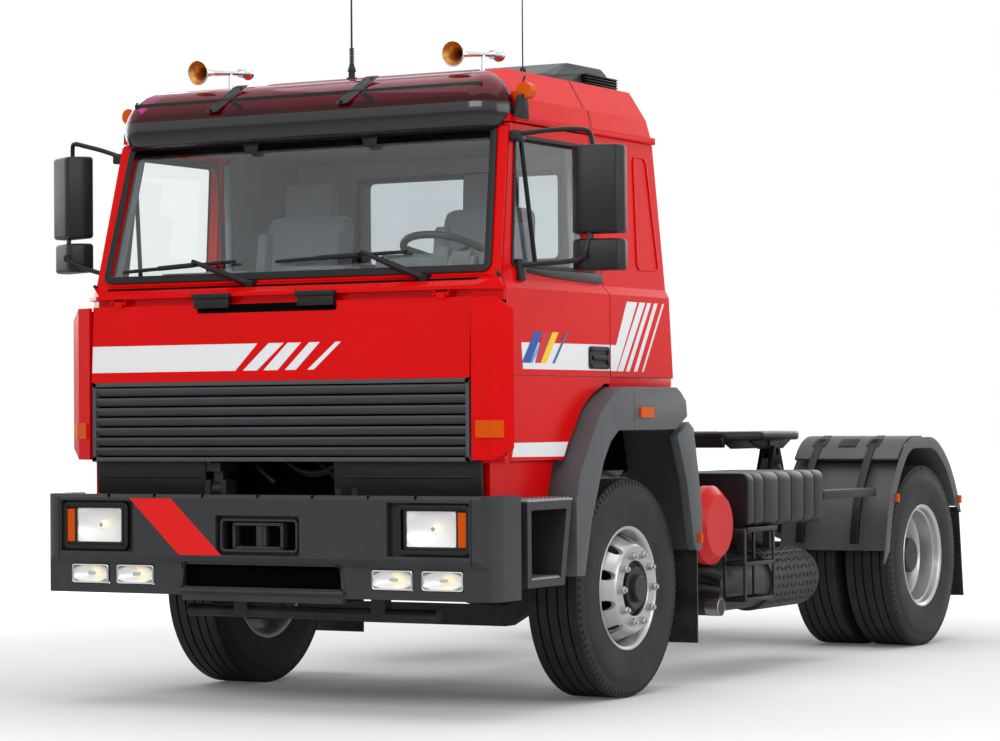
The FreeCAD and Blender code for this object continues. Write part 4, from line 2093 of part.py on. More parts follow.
# Every object must have been built, and every sub-part must be sound, before it is written.
failed = [item.Name for item in doc.Objects if "Invalid" in item.State or "Error" in item.State]
for label, item in kept.items():
    if item.Shape.isNull() or not item.Shape.isValid() or not item.Shape.Solids:
        failed.append(label)
if failed:
    raise RuntimeError("not built: " + ", ".join(failed))
os.makedirs("parts", exist_ok=True)
for label, item in kept.items():
    item.Shape.exportStep("parts/" + label + ".step")
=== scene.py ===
# A two-axle semi truck tractor unit in gloss red, with a tilting cab over its engine.
# Lengths are metres. X points to the left of the truck, Y to its rear and Z up, with the
# ground at Z = 0. Each section dresses one piece, or one group of like pieces, of the truck.
import json
import math

import bmesh
import bpy
from mathutils import Matrix, Vector


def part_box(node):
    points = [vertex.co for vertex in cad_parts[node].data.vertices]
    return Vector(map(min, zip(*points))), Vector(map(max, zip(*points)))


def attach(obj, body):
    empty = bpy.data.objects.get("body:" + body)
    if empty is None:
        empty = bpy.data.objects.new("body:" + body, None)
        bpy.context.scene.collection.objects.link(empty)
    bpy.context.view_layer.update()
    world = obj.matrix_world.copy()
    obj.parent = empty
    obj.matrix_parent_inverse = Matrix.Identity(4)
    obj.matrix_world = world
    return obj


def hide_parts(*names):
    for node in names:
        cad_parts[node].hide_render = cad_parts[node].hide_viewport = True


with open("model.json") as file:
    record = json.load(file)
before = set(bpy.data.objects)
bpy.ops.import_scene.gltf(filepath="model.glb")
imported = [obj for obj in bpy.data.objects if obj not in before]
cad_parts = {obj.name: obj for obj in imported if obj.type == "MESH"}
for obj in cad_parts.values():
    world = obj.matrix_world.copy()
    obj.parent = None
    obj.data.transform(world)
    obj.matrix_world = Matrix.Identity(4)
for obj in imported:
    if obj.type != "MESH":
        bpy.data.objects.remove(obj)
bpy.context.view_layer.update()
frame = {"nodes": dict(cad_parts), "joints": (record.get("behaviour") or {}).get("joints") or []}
nodes = frame["nodes"]
joint_places = {joint["name"]: Vector(joint["pos_m"]) for joint in frame["joints"]}
FRONT_AXLE = joint_places["spin_front_left"]
REAR_AXLE = joint_places["spin_rear_left"]

# The view of the truck: a long lens at eye height, off the truck's left front corner.
PHOTO_WIDTH = 1000
LENS_PIXELS = 3029.5
SENSOR = 36.0
CAMERA_RIGHT = 7.8433
CAMERA_AHEAD = 13.0954
CAMERA_HEIGHT = 1.3558
CAMERA_YAW = 29.3764
CAMERA_PITCH = 0.9062
CAMERA_ROLL = 0.4103
camera = bpy.data.objects.new("Camera", bpy.data.cameras.new("Camera"))
camera.data.sensor_width = SENSOR
camera.data.lens = LENS_PIXELS / PHOTO_WIDTH * SENSOR
camera.data.clip_end = 200
camera.matrix_world = (Matrix.Translation((CAMERA_RIGHT, FRONT_AXLE.y - CAMERA_AHEAD, CAMERA_HEIGHT))
                       @ Matrix.Rotation(math.radians(CAMERA_YAW), 4, "Z")
                       @ Matrix.Rotation(math.radians(90 + CAMERA_PITCH), 4, "X")
                       @ Matrix.Rotation(math.radians(-CAMERA_ROLL), 4, "Z"))
bpy.context.scene.collection.objects.link(camera)
bpy.context.scene.camera = camera
bpy.context.scene.view_settings.view_transform = "Standard"


# The studio: a broad white floor, a white surround and large soft lamps.
# Seen directly, floor and surround are lifted to white, and the truck's shadow stays.
def node(tree, kind, inputs=None, **options):
    """A shader node with its options set and its inputs set or linked."""
    made = tree.nodes.new("ShaderNode" + kind)
    for option, value in options.items():
        setattr(made, option, value)
    for socket, value in (inputs or {}).items():
        if isinstance(value, bpy.types.NodeSocket):
            tree.links.new(value, made.inputs[socket])
        else:
            made.inputs[socket].default_value = value
    return made


def shade(red, green, blue):
    """A colour as linear light, from its values on a screen of 0 to 255."""
    return tuple((part / 255) ** 2.2 for part in (red, green, blue)) + (1.0,)


def mesh_piece(name, form, material, body):
    """A finished piece from a bmesh, with its material, which rides on a body of the truck."""
    mesh = bpy.data.meshes.new(name)
    form.to_mesh(mesh)
    form.free()
    made = bpy.data.objects.new(name, mesh)
    bpy.context.scene.collection.objects.link(made)
    mesh.materials.append(material)
    if body:
        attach(made, body)
    return made


FLOOR_REACH = 90.0
FLOOR_LIFT_NEAR = 0.06
FLOOR_LIFT_FAR = 0.9
FLOOR_NEAR = 3.2
FLOOR_FAR = 10.0
floor_material = bpy.data.materials.new("StudioFloor")
floor_material.use_nodes = True
tree = floor_material.node_tree
paper = node(tree, "BsdfDiffuse", {"Color": (0.86, 0.86, 0.86, 1)})
reach = node(tree, "VectorMath", {0: node(tree, "TexCoord").outputs["Object"]},
             operation="LENGTH").outputs["Value"]
lift = node(tree, "MapRange", {"Value": reach, "From Min": FLOOR_NEAR, "From Max": FLOOR_FAR,
                               "To Min": FLOOR_LIFT_NEAR, "To Max": FLOOR_LIFT_FAR},
            interpolation_type="SMOOTHSTEP")
glow = node(tree, "Emission", {"Color": (1, 1, 1, 1),
                               "Strength": node(tree, "Math",
                                                {0: node(tree, "LightPath").outputs["Is Camera Ray"],
                                                 1: lift.outputs[0]}, operation="MULTIPLY").outputs[0]})
both = node(tree, "AddShader", {0: paper.outputs[0], 1: glow.outputs[0]})
tree.links.new(both.outputs[0], tree.nodes["Material Output"].inputs["Surface"])
form = bmesh.new()
bmesh.ops.create_grid(form, x_segments=1, y_segments=1, size=FLOOR_REACH)
mesh_piece("StudioFloor", form, floor_material, None)

SURROUND_LIGHT = 0.42
world = bpy.data.worlds.new("Studio")
bpy.context.scene.world = world
world.use_nodes = True
tree = world.node_tree
path = node(tree, "LightPath")
mirrored = node(tree, "Math", {0: path.outputs["Is Glossy Ray"], 1: path.outputs["Is Transmission Ray"]},
                operation="MAXIMUM")
seen = node(tree, "Math", {0: path.outputs["Is Camera Ray"], 1: mirrored.outputs[0]}, operation="MAXIMUM")
level = node(tree, "MapRange", {"Value": seen.outputs[0], "To Min": SURROUND_LIGHT, "To Max": 1.0})
tree.links.new(level.outputs["Result"], tree.nodes["Background"].inputs["Strength"])
tree.nodes["Background"].inputs["Color"].default_value = (1, 1, 1, 1)


def soft_lamp(name, place, aim, size, power):
    """A rectangular lamp that faces a point."""
    lamp = bpy.data.lights.new(name, "AREA")
    lamp.shape = "RECTANGLE"
    lamp.size, lamp.size_y = size
    lamp.energy = power
    made = bpy.data.objects.new(name, lamp)
    made.location = place
    made.rotation_euler = (Vector(aim) - Vector(place)).to_track_quat("-Z", "Y").to_euler()
    bpy.context.scene.collection.objects.link(made)


TRUCK_MIDDLE = (0, 0, 1.4)
soft_lamp("OverheadLamp", (0.5, -1.0, 7.5), TRUCK_MIDDLE, (7, 9), 290)
soft_lamp("FrontLamp", (1.0, -11.0, 6.0), TRUCK_MIDDLE, (6, 3), 290)
soft_lamp("SideLamp", (9.0, -1.5, 3.6), TRUCK_MIDDLE, (8, 4), 215)
soft_lamp("FarSideLamp", (-8.0, 2.0, 4.0), TRUCK_MIDDLE, (8, 4), 160)
soft_lamp("RearLamp", (1.0, 9.0, 4.0), TRUCK_MIDDLE, (6, 4), 160)


# The finishes that several pieces share: each effect takes a colour, a roughness and a height
# and hands them on, changed by grain, dust, wear or casting marks.
CHANNELS = (("Color", "NodeSocketColor"), ("Roughness", "NodeSocketFloat"), ("Height", "NodeSocketFloat"))


def effect(name, **settings):
    """A group with the three channels in and out and its own settings, and its two end nodes."""
    group = bpy.data.node_groups.new(name, "ShaderNodeTree")
    for channel, kind in CHANNELS:
        group.interface.new_socket(channel, in_out="INPUT", socket_type=kind)
        group.interface.new_socket(channel, in_out="OUTPUT", socket_type=kind)
    for setting, value in settings.items():
        kind = "NodeSocketFloat" if isinstance(value, float) else "NodeSocketColor"
        group.interface.new_socket(setting, in_out="INPUT", socket_type=kind).default_value = value
    start = group.nodes.new("NodeGroupInput")
    end = group.nodes.new("NodeGroupOutput")
    return group, start.outputs, end.inputs


def hand_on(group, end, **channels):
    """Link the three channels to the group's end."""
    for channel, value in channels.items():
        group.links.new(value, end[channel])


def maths(tree, operation, first, second=0.0, third=0.0, clamp=False):
    """The result of one Math node."""
    made = node(tree, "Math", {0: first, 1: second, 2: third}, operation=operation)
    made.use_clamp = clamp
    return made.outputs[0]


def tinted(tree, share, below, above):
    """The mix of two colours by a share."""
    return node(tree, "Mix", {0: share, 6: below, 7: above}, data_type="RGBA").outputs[2]


def noise(tree, scale, detail=2.0, roughness=0.5, vector=None):
    """Noise over the object's own coordinates, or over a vector."""
    vector = vector or node(tree, "TexCoord").outputs["Object"]
    return node(tree, "TexNoise", {"Vector": vector, "Scale": scale, "Detail": detail,
                                   "Roughness": roughness}).outputs["Fac"]


# Sprayed paint: a faint orange peel, and a slow drift of tone over a panel.
PAINT, inside, out = effect("SprayedPaint", Peel=0.5, Drift=0.06)
peel = maths(PAINT, "MULTIPLY", noise(PAINT, 320.0, 1.0), inside["Peel"])
drift = maths(PAINT, "MULTIPLY_ADD", noise(PAINT, 1.7, 1.0), inside["Drift"], 1.0)
drift = maths(PAINT, "SUBTRACT", drift, maths(PAINT, "MULTIPLY", inside["Drift"], 0.5))
lit = node(PAINT, "HueSaturation", {"Color": inside["Color"], "Value": drift}).outputs[0]
hand_on(PAINT, out, Color=lit, Roughness=inside["Roughness"],
        Height=maths(PAINT, "ADD", inside["Height"], peel))

# Moulded grain: the fine pebbled skin of a plastic, with uneven sheen.
GRAIN, inside, out = effect("MouldedGrain", Size=700.0, Depth=0.6, Sheen=0.12)
pebble = node(GRAIN, "TexVoronoi", {"Vector": node(GRAIN, "TexCoord").outputs["Object"],
                                    "Scale": inside["Size"]})
pebbles = maths(GRAIN, "MULTIPLY", pebble.outputs["Distance"], inside["Depth"])
sheen = maths(GRAIN, "SUBTRACT", noise(GRAIN, 9.0, 3.0), 0.5)
rough = maths(GRAIN, "MULTIPLY_ADD", sheen, inside["Sheen"], inside["Roughness"])
mottle = maths(GRAIN, "MULTIPLY_ADD", sheen, 0.25, 1.0)
lit = node(GRAIN, "HueSaturation", {"Color": inside["Color"], "Value": mottle}).outputs[0]
hand_on(GRAIN, out, Color=lit, Roughness=rough, Height=maths(GRAIN, "ADD", inside["Height"], pebbles))

# Road dust: a pale film, thicker towards the ground and in patches.
DUST, inside, out = effect("RoadDust", Tint=shade(120, 112, 100), Amount=0.35, Reach=1.1)
split = node(DUST, "SeparateXYZ", {0: node(DUST, "TexCoord").outputs["Object"]})
low = maths(DUST, "SUBTRACT", 1.0, maths(DUST, "DIVIDE", split.outputs["Z"], inside["Reach"]), clamp=True)
patches = node(DUST, "MapRange", {"Value": noise(DUST, 7.0, 6.0, 0.65), "From Min": 0.35, "From Max": 0.75})
film = maths(DUST, "MULTIPLY", maths(DUST, "MULTIPLY", low, patches.outputs[0]), inside["Amount"],
             clamp=True)
lit = tinted(DUST, film, inside["Color"], inside["Tint"])
rough = maths(DUST, "MULTIPLY_ADD", film, 0.4, inside["Roughness"], clamp=True)
hand_on(DUST, out, Color=lit, Roughness=rough, Height=inside["Height"])

# Worn edges: where the surface turns within a small radius, the colour lightens.
WEAR, inside, out = effect("WornEdges", Bare=shade(130, 130, 128), Amount=0.5, Radius=0.004)
rounded = node(WEAR, "Bevel", {"Radius": inside["Radius"]}, samples=3).outputs[0]
turn = node(WEAR, "VectorMath", {0: rounded, 1: node(WEAR, "NewGeometry").outputs["Normal"]},
            operation="DOT_PRODUCT").outputs["Value"]
edge = node(WEAR, "MapRange", {"Value": turn, "From Min": 0.98, "From Max": 0.75}).outputs[0]
chips = node(WEAR, "MapRange", {"Value": noise(WEAR, 45.0, 4.0), "From Min": 0.4,
                                "From Max": 0.6}).outputs[0]
bare = maths(WEAR, "MULTIPLY", maths(WEAR, "MULTIPLY", edge, chips), inside["Amount"], clamp=True)
lit = tinted(WEAR, bare, inside["Color"], inside["Bare"])
hand_on(WEAR, out, Color=lit, Roughness=inside["Roughness"], Height=inside["Height"])

# Cast or forged metal: a coarse skin with pits.
CAST, inside, out = effect("CastSkin", Size=90.0, Depth=1.0)
skin = maths(CAST, "MULTIPLY", noise(CAST, inside["Size"], 5.0, 0.6), inside["Depth"])
rough = maths(CAST, "MULTIPLY_ADD", maths(CAST, "SUBTRACT", noise(CAST, 14.0, 3.0), 0.5), 0.25,
              inside["Roughness"])
tone = maths(CAST, "MULTIPLY_ADD", noise(CAST, 5.0, 4.0), 0.3, 0.85)
lit = node(CAST, "HueSaturation", {"Color": inside["Color"], "Value": tone}).outputs[0]
hand_on(CAST, out, Color=lit, Roughness=rough, Height=maths(CAST, "ADD", inside["Height"], skin))

# Drawn or brushed metal: fine lines along one axis.
BRUSH, inside, out = effect("BrushedLines", Along=6.0, Across=500.0, Depth=0.4)
per_axis = node(BRUSH, "CombineXYZ", {0: inside["Across"], 1: inside["Along"], 2: inside["Across"]})
stretch = node(BRUSH, "Mapping", {"Vector": node(BRUSH, "TexCoord").outputs["Object"],
                                  "Scale": per_axis.outputs[0]})
lines = noise(BRUSH, 1.0, 2.0, 0.5, stretch.outputs[0])
rough = maths(BRUSH, "MULTIPLY_ADD", lines, 0.2, inside["Roughness"])
hand_on(BRUSH, out, Color=inside["Color"], Roughness=rough,
        Height=maths(BRUSH, "MULTIPLY_ADD", lines, inside["Depth"], inside["Height"]))


def finish(name, colour, roughness, effects=(), bump=0.0002, rounding=0.002, **sockets):
    """A material whose effects act in turn, and whose sharp edges catch the light as if rounded."""
    material = bpy.data.materials.new(name)
    material.use_nodes = True
    tree = material.node_tree
    shader = tree.nodes["Principled BSDF"]
    channels = {"Color": colour, "Roughness": roughness, "Height": 0.0}
    for group, settings in effects:
        step = node(tree, "Group", node_tree=group)
        for socket, value in {**channels, **settings}.items():
            if isinstance(value, bpy.types.NodeSocket):
                tree.links.new(value, step.inputs[socket])
            else:
                step.inputs[socket].default_value = value
        channels = {channel: step.outputs[channel] for channel in channels}
    if effects:
        tree.links.new(channels["Color"], shader.inputs["Base Color"])
        tree.links.new(channels["Roughness"], shader.inputs["Roughness"])
        normal = {"Height": channels["Height"], "Distance": bump}
        if rounding:
            normal["Normal"] = node(tree, "Bevel", {"Radius": rounding}, samples=4).outputs[0]
        tree.links.new(node(tree, "Bump", normal).outputs[0], shader.inputs["Normal"])
    else:
        shader.inputs["Base Color"].default_value = colour
        shader.inputs["Roughness"].default_value = roughness
    for socket, value in {"specular_ior_level": 0.3, **sockets}.items():
        shader.inputs[socket.replace("_", " ").title().replace("Ior", "IOR")].default_value = value
    return material


def dress(material, *names):
    """Give frame pieces a finish."""
    for name in names:
        mesh = nodes[name].data
        mesh.materials.clear()
        mesh.materials.append(material)


# Ladder frame: pressed steel channels in black chassis paint, with a film of road dust.
# The rails, cross-members and hangers are riveted and bolted together.
chassis_black = finish("ChassisBlack", shade(38, 39, 41), 0.42,
                       [(PAINT, {"Peel": 1.0}), (WEAR, {"Amount": 0.35}), (DUST, {"Amount": 0.3})])
dress(chassis_black, "ladder_frame", "mud_flaps")

# Engine, gearbox and axles: castings in grey and black, dull and dusty.
# They hang between the rails and show only from below and behind the cab.
cast_iron = finish("CastIron", shade(62, 64, 66), 0.6, [(CAST, {}), (DUST, {"Amount": 0.5})], 0.0008)
dress(cast_iron, "engine_block", "front_axle_beam", "rear_axle_housing", "knuckle_left", "knuckle_right",
      "propeller_shaft", "leaf_springs", "radiator")

# Air cleaner: a pressed steel drum in red paint, held by a strap across the left side of the
# frame behind the front wheel.
RED = shade(218, 10, 12)
drum_red = finish("DrumRed", shade(206, 16, 20), 0.35, [(PAINT, {"Peel": 1.2}), (DUST, {"Amount": 0.4})],
                  specular_ior_level=0.3)
dress(drum_red, "air_cleaner")

# Exhaust and tanks on the sides of the frame: an aluminised steel can, gone dark with heat
# and dust, and the black paint that the tanks and the side step share.
tank_black = finish("TankBlack", shade(28, 29, 31), 0.42,
                    [(GRAIN, {"Size": 260.0}), (DUST, {"Amount": 0.3})])
exhaust_steel = finish("ExhaustSteel", shade(58, 58, 59), 0.5,
                       [(CAST, {"Size": 30.0, "Depth": 0.3}), (DUST, {})], metallic=0.3)
dress(exhaust_steel, "exhaust_silencer")

# Tyres: black rubber with a satin side wall, five ribs between four grooves, and a row
# of small notches along each shoulder. The rear ones stand in pairs on one hub.
TYRE_RADIUS = FRONT_AXLE.z
WALL_HALF = 0.150
TREAD_HALF = 0.128
RIM_RADIUS = 0.286
GROOVES = (-0.080, -0.028, 0.028, 0.080)
GROOVE_HALF = 0.0055
GROOVE_DEPTH = 0.015
TYRE_STEPS = 180
NOTCH_DEPTH = -0.0035


def spun(form, profile, middle, steps, closed=True):
    """Spin a profile of (along the axle, radius) points a full turn about an axle through a point."""
    corners = [form.verts.new(middle + Vector((along, 0, radius))) for along, radius in profile]
    pairs = list(zip(corners, corners[1:]))
    if closed:
        pairs.append((corners[-1], corners[0]))
    rims = [form.edges.new(pair) for pair in pairs]
    made = bmesh.ops.spin(form, geom=corners + rims, cent=middle, axis=(1, 0, 0), angle=math.tau,
                          steps=steps, use_merge=True)
    bmesh.ops.recalc_face_normals(form, faces=form.faces)
    return made


def smooth(piece, angle=35):
    """Round shading, with creases where faces meet at more than an angle."""
    piece.data.set_sharp_from_angle(angle=math.radians(angle))
    piece.data.polygons.foreach_set("use_smooth", [True] * len(piece.data.polygons))
    piece.data.update()


def merged(form, part):
    """Add one bmesh to another."""
    mesh = bpy.data.meshes.new("Part")
    part.to_mesh(mesh)
    part.free()
    form.from_mesh(mesh)
    bpy.data.meshes.remove(mesh)


def tyre(form, middle):
    """One tyre about a point of its axle."""
    wall = [(0.113, RIM_RADIUS), (0.121, 0.288), (0.127, 0.293), (0.134, 0.300), (0.137, 0.306),
            (0.137, 0.313), (0.141, 0.330), (0.147, 0.365), (WALL_HALF, 0.405), (0.1495, 0.435),
            (0.146, 0.463), (0.1445, 0.466), (0.1425, 0.482), (0.139, 0.502), (0.1365, 0.518),
            (0.1335, 0.5255)]
    tread = [(TREAD_HALF, TYRE_RADIUS - 0.001)]
    for groove in reversed(GROOVES):
        tread += [(groove + GROOVE_HALF, TYRE_RADIUS),
                  (groove + GROOVE_HALF * 0.6, TYRE_RADIUS - GROOVE_DEPTH),
                  (groove - GROOVE_HALF * 0.6, TYRE_RADIUS - GROOVE_DEPTH),
                  (groove - GROOVE_HALF, TYRE_RADIUS)]
    tread += [(-TREAD_HALF, TYRE_RADIUS - 0.001)]
    spun(form, wall + tread + [(-along, radius) for along, radius in reversed(wall)], middle, TYRE_STEPS)


def shoulder_notches(form, middle):
    """Press every second face of each shoulder inwards."""
    shoulder = []
    for face in form.faces:
        place = face.calc_center_median() - middle
        radius = math.hypot(place.y, place.z)
        turn = math.atan2(place.z, place.y) / math.tau * TYRE_STEPS
        if 0.503 < radius < 0.524 and abs(place.x) > TREAD_HALF and round(turn + 0.5) % 2:
            shoulder.append(face)
    bmesh.ops.inset_individual(form, faces=shoulder, thickness=0.0012, depth=NOTCH_DEPTH)


rubber = finish("TyreRubber", shade(32, 32, 33), 0.6,
                [(GRAIN, {"Size": 380.0, "Depth": 0.35, "Sheen": 0.2}),
                 (DUST, {"Amount": 0.14, "Reach": 1.6})])
wheel_bodies = {"tyre_front_left": "wheel_fl", "tyre_front_right": "wheel_fr",
                "tyres_rear_left": "wheel_rl", "tyres_rear_right": "wheel_rr"}
for name, body in wheel_bodies.items():
    low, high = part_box(name)
    centre = (low + high) / 2
    inner = Vector((low.x + WALL_HALF, centre.y, centre.z))
    outer = Vector((high.x - WALL_HALF, centre.y, centre.z))
    form = bmesh.new()
    for middle in [centre] if "front" in name else [inner, outer]:
        single = bmesh.new()
        tyre(single, middle)
        shoulder_notches(single, middle)
        merged(form, single)
    piece = mesh_piece("Dressed_" + name, form, rubber, body)
    smooth(piece, 30)
    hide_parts(name)

# Front wheels: a silver steel rim whose disc bulges out to a nut flange, with ten hand
# holes. A dark hub with a grease cap shows inside the flange, and the drum behind it.
FLANGE_FACE = 0.176
NUT_CIRCLE = 0.1675
NUT_COUNT = 10
HOLE_CIRCLE = 0.238
HOLE_RADIUS = 0.025
RIM_STEPS = 96
RIM_BARREL = [(-0.119, 0.286), (-0.128, 0.300), (-0.134, 0.300), (-0.130, 0.284), (-0.095, 0.268),
              (-0.02, 0.256)]


def nut_ring(form, middle, side, face):
    """Ten wheel nuts, each on its washer, with the stud's end showing."""
    for number in range(NUT_COUNT):
        turn = Matrix.Rotation(math.tau * (number + 0.5) / NUT_COUNT, 4, "X")
        for sides, radius, start, depth in ((24, 0.0225, 0.0, 0.004), (6, 0.0185, 0.004, 0.024),
                                            (12, 0.0105, 0.028, 0.010)):
            spot = (Matrix.Translation(middle + Vector((side * (face + start + depth / 2), 0, 0))) @ turn
                    @ Matrix.Translation((0, 0, NUT_CIRCLE)) @ Matrix.Rotation(math.radians(90), 4, "Y"))
            made = bmesh.ops.create_cone(form, cap_ends=True, segments=sides, radius1=radius,
                                         radius2=radius, depth=depth, matrix=spot)
            if sides == 12:
                continue
            tips = list({edge for corner in made["verts"] for edge in corner.link_edges
                         if all(len(beside.verts) > 4 or sides == 6 for beside in edge.link_faces)})
            bmesh.ops.bevel(form, geom=tips, offset=0.0012, segments=1, profile=0.5, affect="EDGES",
                            material=-1)


def bored(piece, cutter):
    """Cut one piece by another, which is then gone."""
    cut = piece.modifiers.new("Holes", "BOOLEAN")
    cut.object = cutter
    cut.solver = "EXACT"
    bpy.context.view_layer.update()
    done = bpy.data.meshes.new_from_object(piece.evaluated_get(bpy.context.evaluated_depsgraph_get()))
    piece.modifiers.remove(cut)
    piece.data = done
    bpy.data.objects.remove(cutter)


def hand_holes(middle, side, circle, radius, depth):
    """A cutter of ten rods through a disc."""
    form = bmesh.new()
    for number in range(NUT_COUNT):
        spot = (Matrix.Translation(middle) @ Matrix.Rotation(math.tau * number / NUT_COUNT, 4, "X")
                @ Matrix.Translation((side * depth, 0, circle)) @ Matrix.Rotation(math.radians(90), 4, "Y"))
        bmesh.ops.create_cone(form, cap_ends=True, segments=28, radius1=radius, radius2=radius,
                              depth=0.2, matrix=spot)
    return mesh_piece("Cutter", form, None, None)


silver = finish("WheelSilver", shade(186, 187, 188), 0.3, [(PAINT, {"Peel": 0.8}), (DUST, {"Amount": 0.12})],
                metallic=0.7)
hub_black = finish("HubBlack", shade(34, 34, 35), 0.4,
                   [(CAST, {"Size": 60.0, "Depth": 0.6}), (DUST, {"Amount": 0.2})], 0.0006)
DISC = [(0.060, 0.262), (0.085, 0.258), (0.105, 0.248), (0.135, 0.233), (0.158, 0.221), (0.171, 0.213),
        (FLANGE_FACE, 0.205), (FLANGE_FACE, 0.138), (0.172, 0.134), (0.160, 0.134), (0.160, 0.200),
        (0.150, 0.212), (0.120, 0.228), (0.085, 0.244), (0.050, 0.252)]
HUB = [(-0.02, 0.0), (-0.02, 0.130), (0.150, 0.130), (0.150, 0.106), (0.176, 0.104), (0.181, 0.098),
       (0.181, 0.080), (0.178, 0.074), (0.178, 0.066), (0.203, 0.064), (0.208, 0.058), (0.209, 0.0)]
DRUM = [(-0.105, 0.02), (-0.105, 0.205), (0.045, 0.205), (0.045, 0.02)]
LIP = [(0.119, 0.2865), (0.127, 0.299), (0.1345, 0.3015), (0.1385, 0.298), (0.1365, 0.290), (0.128, 0.281),
       (0.112, 0.2755), (0.098, 0.270), (0.088, 0.266)]
for side, end, steer in ((1, "left", "wheel_fl"), (-1, "right", "wheel_fr")):
    low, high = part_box("tyre_front_" + end)
    middle = (low + high) / 2
    outward = [(side * along, radius) for along, radius in LIP + DISC + RIM_BARREL[::-1]]
    form = bmesh.new()
    spun(form, outward, middle, RIM_STEPS)
    rim = mesh_piece("FrontRim_" + end, form, silver, steer)
    bored(rim, hand_holes(middle, side, HOLE_CIRCLE, HOLE_RADIUS, 0.15))
    smooth(rim, 32)
    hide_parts("rim_front_" + end)
    form = bmesh.new()
    nut_ring(form, middle, side, FLANGE_FACE)
    smooth(mesh_piece("FrontNuts_" + end, form, silver, steer), 40)
    form = bmesh.new()
    for outline in (HUB, DRUM):
        spun(form, [(side * along, radius) for along, radius in outline], middle, 48)
    smooth(mesh_piece("FrontHub_" + end, form, hub_black, steer), 32)

# Fifth wheel base: a steel cross plate with two stands, black with grease, which is bolted
# to the rails.
greased = finish("GreasedSteel", shade(30, 30, 31), 0.35,
                 [(CAST, {"Size": 60.0}), (WEAR, {"Amount": 0.7})], 0.0006)
dress(greased, "fifth_wheel_base")

# Front arches: covers of charcoal plastic with a fine grain over the front wheels.
# The front part rides on the cab, the rear legs are bolted to the frame, and every edge
# is rounded over.
arch_grey = finish("ArchGrey", shade(84, 87, 90), 0.5, [(GRAIN, {"Size": 650.0}), (DUST, {"Amount": 0.25})])


def softened(name, node_name, material, width, body):
    """Stand in for a frame piece with the same piece, its sharp edges rounded over."""
    form = bmesh.new()
    form.from_mesh(nodes[node_name].data)
    bmesh.ops.remove_doubles(form, verts=form.verts[:], dist=0.00005)
    bmesh.ops.dissolve_limit(form, angle_limit=math.radians(1.0), verts=form.verts[:], edges=form.edges[:])
    sharp = [edge for edge in form.edges if edge.is_manifold and edge.calc_face_angle() > math.radians(30)]
    bmesh.ops.bevel(form, geom=sharp, offset=width, offset_type="OFFSET", segments=3, profile=0.5,
                    affect="EDGES", clamp_overlap=True, material=-1)
    piece = mesh_piece(name, form, material, body)
    smooth(piece, 35)
    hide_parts(node_name)


softened("CabArches", "cab_arches", arch_grey, 0.012, "cab")
softened("ArchTails", "arch_tails", arch_grey, 0.012, "chassis")

# Front bumper and cab steps: thick moulded plastic in a darker charcoal with the same grain.
# The bumper wraps both front corners and is bolted to the frame, and the steps hang on the cab.
bumper_grey = finish("BumperGrey", shade(50, 52, 55), 0.46,
                     [(GRAIN, {"Size": 650.0}), (DUST, {"Amount": 0.15})])
dress(bumper_grey, "front_bumper", "cab_steps")

# Bumper stripe: a slanted band of red film, which is pressed onto the bumper's face to the
# right of its middle.


def at(across, ahead, up):
    """A point by its distance to the left, ahead of the front axle and above the ground."""
    return Vector((across, FRONT_AXLE.y - ahead, up))


def spots(points, side=1):
    """Points by across, ahead and up, on the left side or mirrored to the right."""
    return [at(side * across, ahead, up) for across, ahead, up in points]


def carried(form, grown, way):
    """Move the corners of what was just extruded."""
    corners = [item for item in grown if isinstance(item, bmesh.types.BMVert)]
    bmesh.ops.translate(form, verts=corners, vec=Vector(way))


def slab(form, corners, depth, rounding=0.0, hole=0.0, soft=0.0):
    """A plate between a face and the same face moved by a depth: its corners may be rounded,
    its middle open within a rim, and its edges softened."""
    part = bmesh.new()
    part.faces.new([part.verts.new(corner) for corner in corners])
    if rounding:
        bmesh.ops.bevel(part, geom=part.verts[:], offset=rounding, segments=6, profile=0.5,
                        affect="VERTICES", material=-1)
    if hole:
        rim = bmesh.ops.inset_region(part, faces=part.faces[:], thickness=hole, use_boundary=True,
                                     use_even_offset=True)["faces"]
        bmesh.ops.delete(part, geom=[face for face in part.faces if face not in rim], context="FACES")
    grown = bmesh.ops.extrude_face_region(part, geom=part.faces[:])["geom"]
    carried(part, grown, depth)
    bmesh.ops.recalc_face_normals(part, faces=part.faces[:])
    if soft:
        sharp = [edge for edge in part.edges if edge.is_manifold and edge.calc_face_angle() > 0.9]
        bmesh.ops.bevel(part, geom=sharp, offset=soft, segments=3, profile=0.5, affect="EDGES", material=-1)
    merged(form, part)


def side_plate(form, side, across, outline, depth, *finish_of_edges, **soft_edges):
    """A plate along one side of the truck, from its outline as points ahead and up."""
    slab(form, [at(side * across, ahead, up) for ahead, up in outline], (side * depth, 0, 0),
         *finish_of_edges, **soft_edges)


def front_plate(form, ahead, outline, depth, *finish_of_edges, **soft_edges):
    """A plate across the truck, from its outline as points across and up."""
    slab(form, [at(across, ahead, up) for across, up in outline], (0, depth, 0),
         *finish_of_edges, **soft_edges)


STRIPE_THICKNESS = 0.0006
BUMPER_FACE = 1.460
film_red = finish("StripeRed", shade(232, 24, 22), 0.42, [(PAINT, {"Peel": 0.3, "Drift": 0.02})])
form = bmesh.new()
front_plate(form, BUMPER_FACE, [(-0.725, 0.991), (-0.440, 0.728), (-0.199, 0.728), (-0.486, 0.991)],
            -STRIPE_THICKNESS)
mesh_piece("BumperStripe", form, film_red, "chassis")

